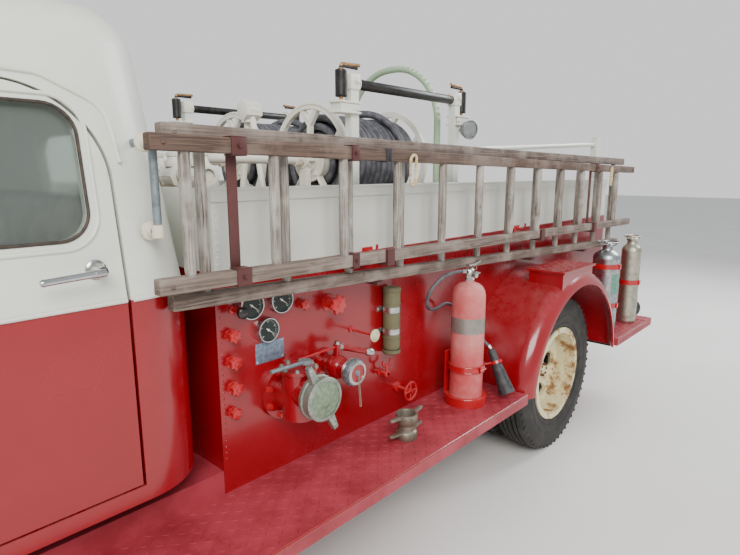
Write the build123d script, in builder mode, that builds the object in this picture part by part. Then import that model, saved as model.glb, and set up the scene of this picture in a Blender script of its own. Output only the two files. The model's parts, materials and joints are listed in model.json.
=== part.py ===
from build123d import *
from math import cos, pi, radians, sin, tan
import os

os.makedirs("parts", exist_ok=True)

# A full-size fire engine: +X is its front, +Y its left side, +Z up.
# The origin lies on the ground, below the middle of its length and width.
# All sizes are in millimetres.

# Driving dimensions
WHEELBASE = 4060
REAR_OVERHANG = 1345
FRONT_OVERHANG = 810
OVERALL_LENGTH = REAR_OVERHANG + WHEELBASE + FRONT_OVERHANG
BODY_REAR_OVERHANG = 1220
BODY_LENGTH = 3336
BODY_HALF_WIDTH = 727
BODY_RIM_HEIGHT = 1584
BODY_COLOUR_SPLIT = 1318
BODY_WALL = 25
HOSE_DECK_HEIGHT = 1060
DECK = 12
REEL_DECK_HEIGHT = 1410
BOARD_HALF_WIDTH = 1090
BOARD_HEIGHT = 555
BOARD_THICKNESS = 50
APRON_HEIGHT = 640
CAB_GAP = 72
CAB_LENGTH = 1163
CAB_HALF_WIDTH = 820
CAB_CORNER_RADIUS = 210
CAB_BOTTOM = 716
CAB_BELT_HEIGHT = 1302
CAB_ROOF_HEIGHT = 2080
CAB_WALL = 40
COWL_LENGTH = 170
HOOD_LENGTH = 1085
HOOD_REAR_HALF_WIDTH = 520
HOOD_FRONT_HALF_WIDTH = 308
HOOD_REAR_HEIGHT = 1335
HOOD_FRONT_HEIGHT = 1205
HOOD_EDGE_HEIGHT = 985
SHEET = 12
DOOR_LENGTH = 851
PILLAR_WIDTH = 80
DOOR_BOTTOM = 765
DOOR_TOP = 1850
PANEL_GAP = 6
TYRE_RADIUS = 460
TYRE_WIDTH = 200
RIM_RADIUS = 276
BEAD_RADIUS = 254
BARREL_RADIUS = 244
FRONT_TYRE_Y = 760
TWIN_OUTER_Y = 880
TWIN_INNER_Y = 640
KINGPIN_Y = 625
FRAME_HALF_WIDTH = 380
FRAME_TOP = 760
FRAME_DEPTH = 170
FRAME_FLANGE = 60
FRAME_WEB = 10
REEL_RADIUS = 250
REEL_HEIGHT = 1690
REEL_Y = 300
REEL_SHAFT_RADIUS = 20
BOOSTER_HOSE_RADIUS = 18
ROLLER_POST_Y = 640
ROLLER_HEIGHT = 1980
LADDER_RUNG_STEP = 294
LADDER_RUNGS = 12
EXTINGUISHER_RADIUS = 77.5
FIT = 0.3

# Stations along the length, from the tail to the nose
TAIL_X = -OVERALL_LENGTH / 2
NOSE_X = OVERALL_LENGTH / 2
REAR_AXLE_X = TAIL_X + REAR_OVERHANG
FRONT_AXLE_X = REAR_AXLE_X + WHEELBASE
BODY_REAR_X = REAR_AXLE_X - BODY_REAR_OVERHANG
BODY_FRONT_X = BODY_REAR_X + BODY_LENGTH
CAB_BACK_X = BODY_FRONT_X + CAB_GAP
CAB_FRONT_X = CAB_BACK_X + CAB_LENGTH
COWL_FRONT_X = CAB_FRONT_X + COWL_LENGTH
HOOD_REAR_X = COWL_FRONT_X + PANEL_GAP
HOOD_FRONT_X = HOOD_REAR_X + HOOD_LENGTH
DOOR_FRONT_X = CAB_FRONT_X - PILLAR_WIDTH
DOOR_REAR_X = DOOR_FRONT_X - DOOR_LENGTH
AXLE_HEIGHT = TYRE_RADIUS
FRAME_BOTTOM = FRAME_TOP - FRAME_DEPTH
SIDES = (("left", 1), ("right", -1))


def box_between(x_span, y_span, z_span, mode=Mode.ADD):
    """A box from one end to the other of each span."""
    spans = (x_span, y_span, z_span)
    with Locations(tuple((low + high) / 2 for low, high in spans)):
        Box(*(abs(high - low) for low, high in spans), mode=mode)


def bar(start, end, radius, mode=Mode.ADD):
    """A round bar from one point to another."""
    run = Vector(*end) - Vector(*start)
    with BuildSketch(Plane(origin=start, z_dir=run)) as section:
        Circle(radius)
    extrude(section.sketch, amount=run.length, mode=mode)


def pipe(points, radius, bend):
    """A round bar along straight runs, with one bend radius or a list of them."""
    first_run = Vector(*points[1]) - Vector(*points[0])
    with BuildLine() as route:
        FilletPolyline(*points, radius=bend)
    with BuildSketch(Plane(origin=points[0], z_dir=first_run)) as section:
        Circle(radius)
    sweep(section.sketch, path=route.line)


def side_plane(x, y, z):
    """A plane that faces the left side, with its own x forward turned to the rear and y up."""
    return Plane(origin=(x, y, z), x_dir=(-1, 0, 0), z_dir=(0, 1, 0))


def front_plane(x, y, z):
    """A plane that faces forward, with its own x to the left and y up."""
    return Plane(origin=(x, y, z), x_dir=(0, 1, 0), z_dir=(1, 0, 0))


def spun_plane(x, z):
    """A level plane on a wheel's axis: its own x is the way out to the left, its y the radius."""
    return Plane(origin=(x, 0, z), x_dir=(0, 1, 0), z_dir=(0, 0, -1))


def left_axis(x, z):
    """The axis of a wheel or arch across the vehicle."""
    return Axis((x, 0, z), (0, -1, 0))


def write(sub_part, name):
    """Labels a finished sub-part and writes its file."""
    sub_part.part.label = name
    export_step(sub_part.part, f"parts/{name}.step")


# Chassis frame: two channel rails, cross members, brackets for the boards and the tow eye
FRAME_REAR_X = BODY_REAR_X + 60
FRAME_FRONT_X = NOSE_X - 65
CROSS_DEPTH = 60
CROSS_HALF_LENGTH = FRAME_HALF_WIDTH - FRAME_WEB - FIT
CROSS_MEMBERS_X = (FRAME_REAR_X + 60, REAR_AXLE_X - 650, REAR_AXLE_X + 900, BODY_FRONT_X, HOOD_FRONT_X - 95,
                   FRAME_FRONT_X - 60)
BOARD_BRACKETS_X = (BODY_REAR_X + 100, REAR_AXLE_X - 700, REAR_AXLE_X + 800, REAR_AXLE_X + 1700, CAB_FRONT_X - 200)
BRACKET_WIDTH = 50
BRACKET_PLATE = 10
BRACKET_BAR = 25
BUMPER_DEPTH = 65
TOW_EYE_RADIUS = 27
TOW_EYE_BOSS = 50
TOW_EYE_LENGTH = 40
TOW_EYE_X = BODY_REAR_X - 30
TOW_EYE_Z = FRAME_BOTTOM + 70

with BuildPart() as chassis_frame:
    box_between((FRAME_REAR_X, FRAME_FRONT_X), (FRAME_HALF_WIDTH - FRAME_FLANGE, FRAME_HALF_WIDTH),
                (FRAME_BOTTOM, FRAME_TOP))
    box_between((FRAME_REAR_X, FRAME_FRONT_X), (FRAME_HALF_WIDTH - FRAME_FLANGE, FRAME_HALF_WIDTH - FRAME_WEB),
                (FRAME_BOTTOM + FRAME_WEB, FRAME_TOP - FRAME_WEB), mode=Mode.SUBTRACT)
    for bracket_x in BOARD_BRACKETS_X:
        bracket_span = (bracket_x - BRACKET_WIDTH / 2, bracket_x + BRACKET_WIDTH / 2)
        bracket_top = BOARD_HEIGHT - BOARD_THICKNESS
        box_between(bracket_span, (FRAME_HALF_WIDTH, FRAME_HALF_WIDTH + BRACKET_PLATE),
                    (bracket_top - BRACKET_BAR, FRAME_TOP - 20))
        box_between(bracket_span, (FRAME_HALF_WIDTH, BOARD_HALF_WIDTH - 60),
                    (bracket_top - BRACKET_BAR, bracket_top))
    mirror(about=Plane.XZ)
    for cross_x in CROSS_MEMBERS_X:
        box_between((cross_x - 40, cross_x + 40), (-CROSS_HALF_LENGTH, CROSS_HALF_LENGTH),
                    (FRAME_TOP - 30 - CROSS_DEPTH, FRAME_TOP - 30))
    box_between((TOW_EYE_X, FRAME_REAR_X + 20), (-TOW_EYE_LENGTH / 2, TOW_EYE_LENGTH / 2),
                (TOW_EYE_Z - TOW_EYE_BOSS * 0.7, TOW_EYE_Z + TOW_EYE_BOSS * 0.7))
    bar((TOW_EYE_X, -TOW_EYE_LENGTH / 2, TOW_EYE_Z), (TOW_EYE_X, TOW_EYE_LENGTH / 2, TOW_EYE_Z), TOW_EYE_BOSS)
    bar((TOW_EYE_X, -TOW_EYE_LENGTH / 2, TOW_EYE_Z), (TOW_EYE_X, TOW_EYE_LENGTH / 2, TOW_EYE_Z),
        TOW_EYE_RADIUS, mode=Mode.SUBTRACT)
write(chassis_frame, "chassis_frame")

# Leaf springs
LEAF = 10
LEAF_COUNT = 5
LEAF_HALF_WIDTH = 28
SPRING_Y = FRAME_HALF_WIDTH - FRAME_FLANGE / 2
SPRING_DROP = 30
FRONT_SPRING_REACH = 460
REAR_SPRING_REACH = 650
LEAF_STEP = 0.17
SPRING_TOP = FRAME_BOTTOM - 35


def leaf_springs(spring_x, half_length):
    """A stack of curved leaves under each rail, hung from its lower flange."""
    for _, side in SIDES:
        with BuildSketch(side_plane(spring_x, side * SPRING_Y - LEAF_HALF_WIDTH, SPRING_TOP)) as stack:
            for leaf in range(LEAF_COUNT):
                reach = half_length * (1 - LEAF_STEP * leaf)
                rise = SPRING_DROP * (reach / half_length) ** 2
                under = -LEAF * leaf
                with BuildLine():
                    ThreePointArc((-reach, rise + under), (0, under), (reach, rise + under))
                    Line((reach, rise + under), (reach, rise + under - LEAF))
                    ThreePointArc((reach, rise + under - LEAF), (0, under - LEAF), (-reach, rise + under - LEAF))
                    Line((-reach, rise + under - LEAF), (-reach, rise + under))
                make_face()
        extrude(stack.sketch, amount=2 * LEAF_HALF_WIDTH)
        for end in (-1, 1):
            hanger_x = spring_x + end * (half_length - 20)
            box_between((hanger_x - 20, hanger_x + 20),
                        (side * SPRING_Y - LEAF_HALF_WIDTH, side * SPRING_Y + LEAF_HALF_WIDTH),
                        (SPRING_TOP + SPRING_DROP - 15, FRAME_BOTTOM))


# Rear axle: tube, differential housing and spindles, with the shaft that drives it
AXLE_TUBE_RADIUS = 42
DIFFERENTIAL_RADIUS = 165
REAR_SPINDLE_RADIUS = 36
SPINDLE_CLEARANCE = FIT
DRUM_INNER_Y = 480
REAR_HUB_Y = 770
SPRING_SEAT_TOP = SPRING_TOP - LEAF * LEAF_COUNT
SHAFT_RADIUS = 38
GEARBOX_REAR_X = CAB_BACK_X + 500

with BuildPart() as rear_axle:
    leaf_springs(REAR_AXLE_X, REAR_SPRING_REACH)
    bar((REAR_AXLE_X, -DRUM_INNER_Y + 10, AXLE_HEIGHT), (REAR_AXLE_X, DRUM_INNER_Y - 10, AXLE_HEIGHT),
        AXLE_TUBE_RADIUS)
    bar((REAR_AXLE_X, -REAR_HUB_Y - 60, AXLE_HEIGHT), (REAR_AXLE_X, REAR_HUB_Y + 60, AXLE_HEIGHT),
        REAR_SPINDLE_RADIUS)
    with Locations((REAR_AXLE_X, 0, AXLE_HEIGHT)):
        Sphere(DIFFERENTIAL_RADIUS)
    for _, side in SIDES:
        box_between((REAR_AXLE_X - 60, REAR_AXLE_X + 60),
                    (side * (SPRING_Y - LEAF_HALF_WIDTH), side * (SPRING_Y + LEAF_HALF_WIDTH)),
                    (AXLE_HEIGHT, SPRING_SEAT_TOP))
    bar((REAR_AXLE_X + 100, 0, AXLE_HEIGHT + 10), (GEARBOX_REAR_X - 5, 0, FRAME_BOTTOM + 60), SHAFT_RADIUS)
write(rear_axle, "rear_axle")

# Front axle: a forged beam that ends in an eye and a kingpin on each side
BEAM_HALF_HEIGHT = 32
BEAM_HALF_WIDTH = 35
BEAM_Z = AXLE_HEIGHT - 55
EYE_RADIUS = 34
EYE_HALF_HEIGHT = 40
KINGPIN_RADIUS = 14
BEAM_END = 55
LUG_THICKNESS = 26
LUG_GAP = 2

with BuildPart() as front_axle:
    leaf_springs(FRONT_AXLE_X, FRONT_SPRING_REACH)
    box_between((FRONT_AXLE_X - BEAM_HALF_WIDTH, FRONT_AXLE_X + BEAM_HALF_WIDTH), (BEAM_END - KINGPIN_Y, KINGPIN_Y - BEAM_END),
                (BEAM_Z - BEAM_HALF_HEIGHT, BEAM_Z + BEAM_HALF_HEIGHT))
    for front_face in (-1, 1):
        box_between((FRONT_AXLE_X + front_face * 14, FRONT_AXLE_X + front_face * BEAM_HALF_WIDTH),
                    (-KINGPIN_Y + 150, KINGPIN_Y - 150),
                    (BEAM_Z - BEAM_HALF_HEIGHT + 12, BEAM_Z + BEAM_HALF_HEIGHT - 12), mode=Mode.SUBTRACT)
    for _, side in SIDES:
        eye_y = side * KINGPIN_Y
        box_between((FRONT_AXLE_X - 28, FRONT_AXLE_X + 28), (side * (KINGPIN_Y - 95), side * (KINGPIN_Y - 20)),
                    (AXLE_HEIGHT - EYE_HALF_HEIGHT + 2, AXLE_HEIGHT + EYE_HALF_HEIGHT))
        bar((FRONT_AXLE_X, eye_y, AXLE_HEIGHT - EYE_HALF_HEIGHT),
            (FRONT_AXLE_X, eye_y, AXLE_HEIGHT + EYE_HALF_HEIGHT), EYE_RADIUS)
        pin_reach = EYE_HALF_HEIGHT + LUG_THICKNESS + LUG_GAP
        bar((FRONT_AXLE_X, eye_y, AXLE_HEIGHT - pin_reach), (FRONT_AXLE_X, eye_y, AXLE_HEIGHT + pin_reach),
            KINGPIN_RADIUS)
        box_between((FRONT_AXLE_X - 45, FRONT_AXLE_X + 45),
                    (side * (SPRING_Y - LEAF_HALF_WIDTH), side * (SPRING_Y + LEAF_HALF_WIDTH)),
                    (BEAM_Z, SPRING_SEAT_TOP))
write(front_axle, "front_axle")

# Steering knuckles: two lugs around the kingpin, a back plate, the spindle and the steering arm
SPINDLE_RADIUS = 24
KNUCKLE_PLATE_Y = KINGPIN_Y + 42
FRONT_HUB_Y = 745
ARM_LENGTH = 150
ARM_Z = AXLE_HEIGHT - EYE_HALF_HEIGHT - LUG_GAP - LUG_THICKNESS / 2
ARM_INSET = 40

for side_name, side in SIDES:
    with BuildPart() as knuckle:
        for lug in (-1, 1):
            lug_near = AXLE_HEIGHT + lug * (EYE_HALF_HEIGHT + LUG_GAP)
            lug_far = lug_near + lug * LUG_THICKNESS
            bar((FRONT_AXLE_X, side * KINGPIN_Y, lug_near), (FRONT_AXLE_X, side * KINGPIN_Y, lug_far), EYE_RADIUS)
            box_between((FRONT_AXLE_X - 30, FRONT_AXLE_X + 30), (side * KINGPIN_Y, side * (KNUCKLE_PLATE_Y + 15)),
                        (lug_near, lug_far))
        box_between((FRONT_AXLE_X - 30, FRONT_AXLE_X + 30),
                    (side * KNUCKLE_PLATE_Y, side * (KNUCKLE_PLATE_Y + 15)),
                    (AXLE_HEIGHT - EYE_HALF_HEIGHT - LUG_GAP - LUG_THICKNESS,
                     AXLE_HEIGHT + EYE_HALF_HEIGHT + LUG_GAP + LUG_THICKNESS))
        bar((FRONT_AXLE_X, side * KNUCKLE_PLATE_Y, AXLE_HEIGHT), (FRONT_AXLE_X, side * (FRONT_HUB_Y + 90), AXLE_HEIGHT),
            SPINDLE_RADIUS)
        bar((FRONT_AXLE_X - 20, side * KINGPIN_Y, ARM_Z),
            (FRONT_AXLE_X - ARM_LENGTH, side * (KINGPIN_Y - ARM_INSET), ARM_Z), 11)
        bar((FRONT_AXLE_X - ARM_LENGTH, side * (KINGPIN_Y - ARM_INSET), ARM_Z - 14),
            (FRONT_AXLE_X - ARM_LENGTH, side * (KINGPIN_Y - ARM_INSET), ARM_Z + 14), 18)
        bar((FRONT_AXLE_X, side * KINGPIN_Y, AXLE_HEIGHT - 90), (FRONT_AXLE_X, side * KINGPIN_Y, AXLE_HEIGHT + 90),
            KINGPIN_RADIUS + FIT, mode=Mode.SUBTRACT)
    write(knuckle, f"knuckle_{side_name}")

# Tie rod: it crosses below the ends of the two steering arms
TIE_ROD_Z = ARM_Z - 45
with BuildPart() as tie_rod:
    bar((FRONT_AXLE_X - ARM_LENGTH, -(KINGPIN_Y - ARM_INSET), TIE_ROD_Z),
        (FRONT_AXLE_X - ARM_LENGTH, KINGPIN_Y - ARM_INSET, TIE_ROD_Z), 14)
    for _, side in SIDES:
        bar((FRONT_AXLE_X - ARM_LENGTH, side * (KINGPIN_Y - ARM_INSET), TIE_ROD_Z - 22),
            (FRONT_AXLE_X - ARM_LENGTH, side * (KINGPIN_Y - ARM_INSET), ARM_Z - 14 - 2 * FIT), 16)
write(tie_rod, "tie_rod")


def tyre(x, y):
    """A tyre around an axis across the vehicle, centred on y."""
    half = TYRE_WIDTH / 2
    with BuildSketch(spun_plane(x, AXLE_HEIGHT)) as section:
        with BuildLine():
            Polyline((y - 74, BEAD_RADIUS + 1), (y + 74, BEAD_RADIUS + 1), (y + 74, RIM_RADIUS + 4),
                     (y + 84, RIM_RADIUS + 8))
            ThreePointArc((y + 84, RIM_RADIUS + 8), (y + half, RIM_RADIUS + 75), (y + 90, TYRE_RADIUS - 28))
            ThreePointArc((y + 90, TYRE_RADIUS - 28), (y + 82, TYRE_RADIUS - 12), (y + 68, TYRE_RADIUS - 6))
            ThreePointArc((y + 68, TYRE_RADIUS - 6), (y, TYRE_RADIUS), (y - 68, TYRE_RADIUS - 6))
            ThreePointArc((y - 68, TYRE_RADIUS - 6), (y - 82, TYRE_RADIUS - 12), (y - 90, TYRE_RADIUS - 28))
            ThreePointArc((y - 90, TYRE_RADIUS - 28), (y - half, RIM_RADIUS + 75), (y - 84, RIM_RADIUS + 8))
            Polyline((y - 84, RIM_RADIUS + 8), (y - 74, RIM_RADIUS + 4), (y - 74, BEAD_RADIUS + 1))
        make_face()
    revolve(section.sketch, axis=left_axis(x, AXLE_HEIGHT))


def ring_profile(x, outline, mode=Mode.ADD):
    """A closed outline of (across, radius) pairs, spun round a wheel's axis."""
    with BuildSketch(spun_plane(x, AXLE_HEIGHT)) as section:
        with BuildLine():
            Polyline(*outline, close=True)
        make_face()
    revolve(section.sketch, axis=left_axis(x, AXLE_HEIGHT), mode=mode)


def rim_barrel(x, y):
    """A flanged rim barrel for the tyre centred on y."""
    ring_profile(x, ((y - 85, BARREL_RADIUS), (y + 85, BARREL_RADIUS), (y + 85, RIM_RADIUS), (y + 76, RIM_RADIUS),
                     (y + 76, BEAD_RADIUS), (y - 76, BEAD_RADIUS), (y - 76, RIM_RADIUS), (y - 85, RIM_RADIUS)))


HAND_HOLES = 6
HAND_HOLE_RADIUS = 26
HAND_HOLE_CIRCLE = 200
DISC = 10
HUB_RADIUS = 88
for side_name, side in SIDES:
    # Twin rear wheels: two tyres, and two rims that meet at one hub with its brake drum
    with BuildPart() as rear_tyres:
        tyre(REAR_AXLE_X, side * TWIN_OUTER_Y)
        tyre(REAR_AXLE_X, side * TWIN_INNER_Y)
    write(rear_tyres, f"rear_tyres_{side_name}")

    bore = REAR_SPINDLE_RADIUS + SPINDLE_CLEARANCE
    with BuildPart() as rear_wheel:
        rim_barrel(REAR_AXLE_X, side * TWIN_OUTER_Y)
        rim_barrel(REAR_AXLE_X, side * TWIN_INNER_Y)
        ring_profile(REAR_AXLE_X, [(side * across, radius) for across, radius in (
            (845, 250), (845, 238), (806, 196), (776, 160), (770, HUB_RADIUS - 20), (760, HUB_RADIUS - 20),
            (760, 160), (790, 200), (832, 250))])
        ring_profile(REAR_AXLE_X, [(side * across, radius) for across, radius in (
            (676, 250), (676, 238), (716, 196), (744, 160), (760, HUB_RADIUS - 20), (760, 160), (730, 200),
            (689, 250))])
        ring_profile(REAR_AXLE_X, [(side * across, radius) for across, radius in (
            (560, bore), (REAR_HUB_Y + 90, bore), (REAR_HUB_Y + 90, 48), (REAR_HUB_Y + 70, 62), (785, 66),
            (785, HUB_RADIUS + 60), (744, HUB_RADIUS + 60), (744, 70), (640, 70), (640, 190), (DRUM_INNER_Y, 190),
            (DRUM_INNER_Y, 172), (620, 172), (620, 60), (560, 60))])
        ring_profile(REAR_AXLE_X, [(side * across, radius) for across, radius in (
            (REAR_HUB_Y + 65, 0), (REAR_HUB_Y + 104, 0), (REAR_HUB_Y + 100, 30), (REAR_HUB_Y + 90, 48),
            (REAR_HUB_Y + 65, 48))])
        with BuildSketch(side_plane(REAR_AXLE_X, side * 700, AXLE_HEIGHT)):
            with PolarLocations(HAND_HOLE_CIRCLE, HAND_HOLES):
                SlotCenterToCenter(40, 2 * HAND_HOLE_RADIUS, rotation=90)
        extrude(amount=side * 160, mode=Mode.SUBTRACT)
    write(rear_wheel, f"rear_wheel_{side_name}")

    # Front wheel: its disc is dished outwards over the hub and brake drum
    with BuildPart() as front_tyre:
        tyre(FRONT_AXLE_X, side * FRONT_TYRE_Y)
    write(front_tyre, f"front_tyre_{side_name}")

    front_bore = SPINDLE_RADIUS + SPINDLE_CLEARANCE
    with BuildPart() as front_wheel:
        rim_barrel(FRONT_AXLE_X, side * FRONT_TYRE_Y)
        ring_profile(FRONT_AXLE_X, [(side * across, radius) for across, radius in (
            (795, 250), (795, 238), (830, 196), (850, 160), (856, 60), (846, 60), (840, 160), (816, 200),
            (782, 250))])
        ring_profile(FRONT_AXLE_X, [(side * across, radius) for across, radius in (
            (700, front_bore), (FRONT_HUB_Y + 95, front_bore), (FRONT_HUB_Y + 110, front_bore), (866, 58),
            (866, 70), (790, 70), (790, 180), (695, 180), (695, 168), (778, 168), (778, 50), (700, 50))])
        ring_profile(FRONT_AXLE_X, [(side * across, radius) for across, radius in (
            (FRONT_HUB_Y + 95, 0), (905, 0), (900, 34), (866, 58), (FRONT_HUB_Y + 95, 58))])
        with BuildSketch(side_plane(FRONT_AXLE_X, side * 770, AXLE_HEIGHT)):
            with PolarLocations(HAND_HOLE_CIRCLE, HAND_HOLES):
                SlotCenterToCenter(40, 2 * HAND_HOLE_RADIUS, rotation=90)
        extrude(amount=side * 100, mode=Mode.SUBTRACT)
    write(front_wheel, f"front_wheel_{side_name}")

# Engine, gearbox, pump and radiator: plain masses between and on the rails
RADIATOR_X = HOOD_FRONT_X - 130
ENGINE_FRONT_X = FRONT_AXLE_X + 230
ENGINE_REAR_X = COWL_FRONT_X + 50
with BuildPart() as engine_and_pump:
    box_between((ENGINE_REAR_X, ENGINE_FRONT_X), (-190, 190), (FRAME_BOTTOM + 20, 1130))
    box_between((GEARBOX_REAR_X, ENGINE_REAR_X), (-130, 130), (FRAME_BOTTOM, FRAME_TOP - 20))
    for mount_x in (ENGINE_REAR_X + 120, ENGINE_FRONT_X - 120):
        box_between((mount_x - 30, mount_x + 30), (FRAME_WEB + 2 - FRAME_HALF_WIDTH, FRAME_HALF_WIDTH - FRAME_WEB - 2),
                    (FRAME_BOTTOM + FRAME_WEB, FRAME_BOTTOM + 60))
    box_between((BODY_FRONT_X - 430, BODY_FRONT_X - 60), (-390, 390), (FRAME_TOP, 1080))
    box_between((RADIATOR_X, RADIATOR_X + 70), (-285, 285), (FRAME_TOP - 30, HOOD_FRONT_HEIGHT - 70))
write(engine_and_pump, "engine_and_pump")

# Exhaust: a pipe and silencer below the right rail
EXHAUST_Y = -250
EXHAUST_Z = FRAME_BOTTOM - 60
SILENCER_X = (REAR_AXLE_X + 1100, REAR_AXLE_X + 1700)
SILENCER_RADIUS = 72
with BuildPart() as exhaust:
    pipe(((ENGINE_REAR_X + 300, EXHAUST_Y, FRAME_BOTTOM + 10), (ENGINE_REAR_X + 200, EXHAUST_Y, EXHAUST_Z),
          (REAR_AXLE_X + 700, EXHAUST_Y, EXHAUST_Z), (REAR_AXLE_X + 560, -560, EXHAUST_Z - 60),
          (REAR_AXLE_X + 560, -760, EXHAUST_Z - 60)), 24, 60)
    bar((SILENCER_X[0], EXHAUST_Y, EXHAUST_Z), (SILENCER_X[1], EXHAUST_Y, EXHAUST_Z), SILENCER_RADIUS)
    for hanger_x in SILENCER_X:
        box_between((hanger_x - 15, hanger_x + 15), (EXHAUST_Y - SILENCER_RADIUS - 12, EXHAUST_Y),
                    (EXHAUST_Z - 15, EXHAUST_Z + 15))
        box_between((hanger_x - 15, hanger_x + 15),
                    (EXHAUST_Y - SILENCER_RADIUS - 12, EXHAUST_Y - SILENCER_RADIUS - 2), (EXHAUST_Z - 15, FRAME_BOTTOM))
write(exhaust, "exhaust")

# Cab: one outer and one inner volume give every panel of it
ROOF_BACK_X = CAB_BACK_X + 70
ROOF_FRONT_X = CAB_FRONT_X - 280
ROOF_HALF_WIDTH = 700
ROOF_EDGE_RADIUS = 150
ROOF_FRONT_CORNER = 190
HINGE_RADIUS = 8
HINGE_PIN_RADIUS = 4
HINGE_BARREL = 40
HINGE_LENGTH = 80
HINGE_X = DOOR_FRONT_X + 1
HINGE_Y = CAB_HALF_WIDTH + 8
DOOR_HINGES_Z = (860, 1225)
HOOD_HINGE_X = (COWL_FRONT_X + HOOD_REAR_X) / 2
HOOD_HINGE_Z = HOOD_REAR_HEIGHT + 8
HOOD_HINGES_Y = (-230, 230)
HOOD_REACH = HOOD_FRONT_X - HOOD_HINGE_X
LEAF_REACH = 24


def hinge_pin(axis_point, along, length, mode=Mode.ADD):
    """The pin of a hinge with a collar at each end, centred on a point."""
    middle = Vector(*axis_point)
    way = Vector(*along)
    bar(tuple(middle - way * length / 2), tuple(middle + way * length / 2), HINGE_PIN_RADIUS)
    for end in (-1, 1):
        bar(tuple(middle + way * end * (HINGE_BARREL / 2 + FIT)), tuple(middle + way * end * length / 2),
            HINGE_RADIUS)


def hinge_barrel(axis_point, along):
    """The barrel that turns on a hinge pin, with its bore."""
    middle = Vector(*axis_point)
    way = Vector(*along)
    bar(tuple(middle - way * HINGE_BARREL / 2), tuple(middle + way * HINGE_BARREL / 2), HINGE_RADIUS)


def cab_volume(inset):
    """The cab's outer volume, or with an inset the room inside its walls."""
    back = CAB_BACK_X + inset
    front = CAB_FRONT_X - inset
    half_width = CAB_HALF_WIDTH - inset
    corner = CAB_CORNER_RADIUS - inset
    with BuildSketch(Plane.XY.offset(CAB_BOTTOM)) as lower_plan:
        with Locations(((back + CAB_FRONT_X) / 2, 0)):
            Rectangle(CAB_FRONT_X - back, 2 * half_width)
        fillet(vertices().group_by(Axis.X)[0], corner)
    extrude(lower_plan.sketch, amount=CAB_BELT_HEIGHT - CAB_BOTTOM)
    roof_back = ROOF_BACK_X + inset
    roof_front = ROOF_FRONT_X - inset
    with BuildSketch(Plane.XY.offset(CAB_BELT_HEIGHT)) as belt_plan:
        with Locations(((back + front) / 2, 0)):
            Rectangle(front - back, 2 * half_width)
        fillet(vertices().group_by(Axis.X)[0], corner)
        fillet(vertices().group_by(Axis.X)[-1], 60)
    with BuildSketch(Plane.XY.offset(CAB_ROOF_HEIGHT - inset)) as roof_plan:
        with Locations(((roof_back + roof_front) / 2, 0)):
            Rectangle(roof_front - roof_back, 2 * (ROOF_HALF_WIDTH - inset))
        fillet(vertices().group_by(Axis.X)[0], corner)
        fillet(vertices().group_by(Axis.X)[-1], ROOF_FRONT_CORNER - inset)
    loft([belt_plan.sketch, roof_plan.sketch])
    fillet(faces().sort_by(Axis.Z)[-1].edges(), ROOF_EDGE_RADIUS - inset)


with BuildPart() as cab_outer:
    cab_volume(0)
with BuildPart() as cab_inner:
    cab_volume(CAB_WALL)

WINDOW_SILL = 1466
WINDOW_TOP = 1800
SIDE_WINDOW_REAR_X = DOOR_REAR_X + 72
WINDSCREEN_SILL = 1420
WINDSCREEN_TOP = 1820
PILLAR_HALF = 22
PANE_HALF_WIDTH = 600
REAR_WINDOW_HALF = 330
DOOR_CORNER = 240
RAKE_START = CAB_BELT_HEIGHT + 40
WINDOW_FRAME = 100
WINDOW_CORNER = 75
GLASS = 6
PANE_DEPTH = 18
DOOR_REAR_GAP = 9


def raked_x(z):
    """The front edge of the door at a height, raked back with the windscreen above the belt."""
    return DOOR_FRONT_X - (z - RAKE_START) * (CAB_FRONT_X - ROOF_FRONT_X) / (CAB_ROOF_HEIGHT - CAB_BELT_HEIGHT)


def door_outline(gap):
    """The door's outline seen from the side, drawn in by a gap."""
    with BuildSketch(side_plane(0, -1000, 0)) as outline:
        with BuildLine():
            rear = -DOOR_REAR_X - gap * DOOR_REAR_GAP / PANEL_GAP
            Polyline((gap - DOOR_FRONT_X, DOOR_BOTTOM + gap), (rear, DOOR_BOTTOM + gap),
                     (rear, DOOR_TOP - gap), (gap - raked_x(DOOR_TOP), DOOR_TOP - gap),
                     (gap - DOOR_FRONT_X, RAKE_START), close=True)
        make_face()
        fillet(vertices().group_by(Axis.Y)[-1].sort_by(Axis.X)[-1], DOOR_CORNER - gap)
        fillet(vertices().group_by(Axis.Y)[-1].sort_by(Axis.X)[0], 90)
    return outline.sketch


def side_window(gap):
    """The outline of a side window, drawn in by a gap."""
    with BuildSketch(side_plane(0, -1000, 0)) as window:
        with BuildLine():
            Polyline((gap + WINDOW_FRAME - raked_x(WINDOW_SILL), WINDOW_SILL + gap),
                     (-SIDE_WINDOW_REAR_X - gap, WINDOW_SILL + gap), (-SIDE_WINDOW_REAR_X - gap, WINDOW_TOP - gap),
                     (gap + WINDOW_FRAME - raked_x(WINDOW_TOP), WINDOW_TOP - gap), close=True)
        make_face()
        fillet(vertices(), WINDOW_CORNER - gap)
    return window.sketch


def cut_side_windows():
    """Both side windows, cut straight across the cab."""
    extrude(side_window(0), amount=2000, mode=Mode.SUBTRACT)


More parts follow.
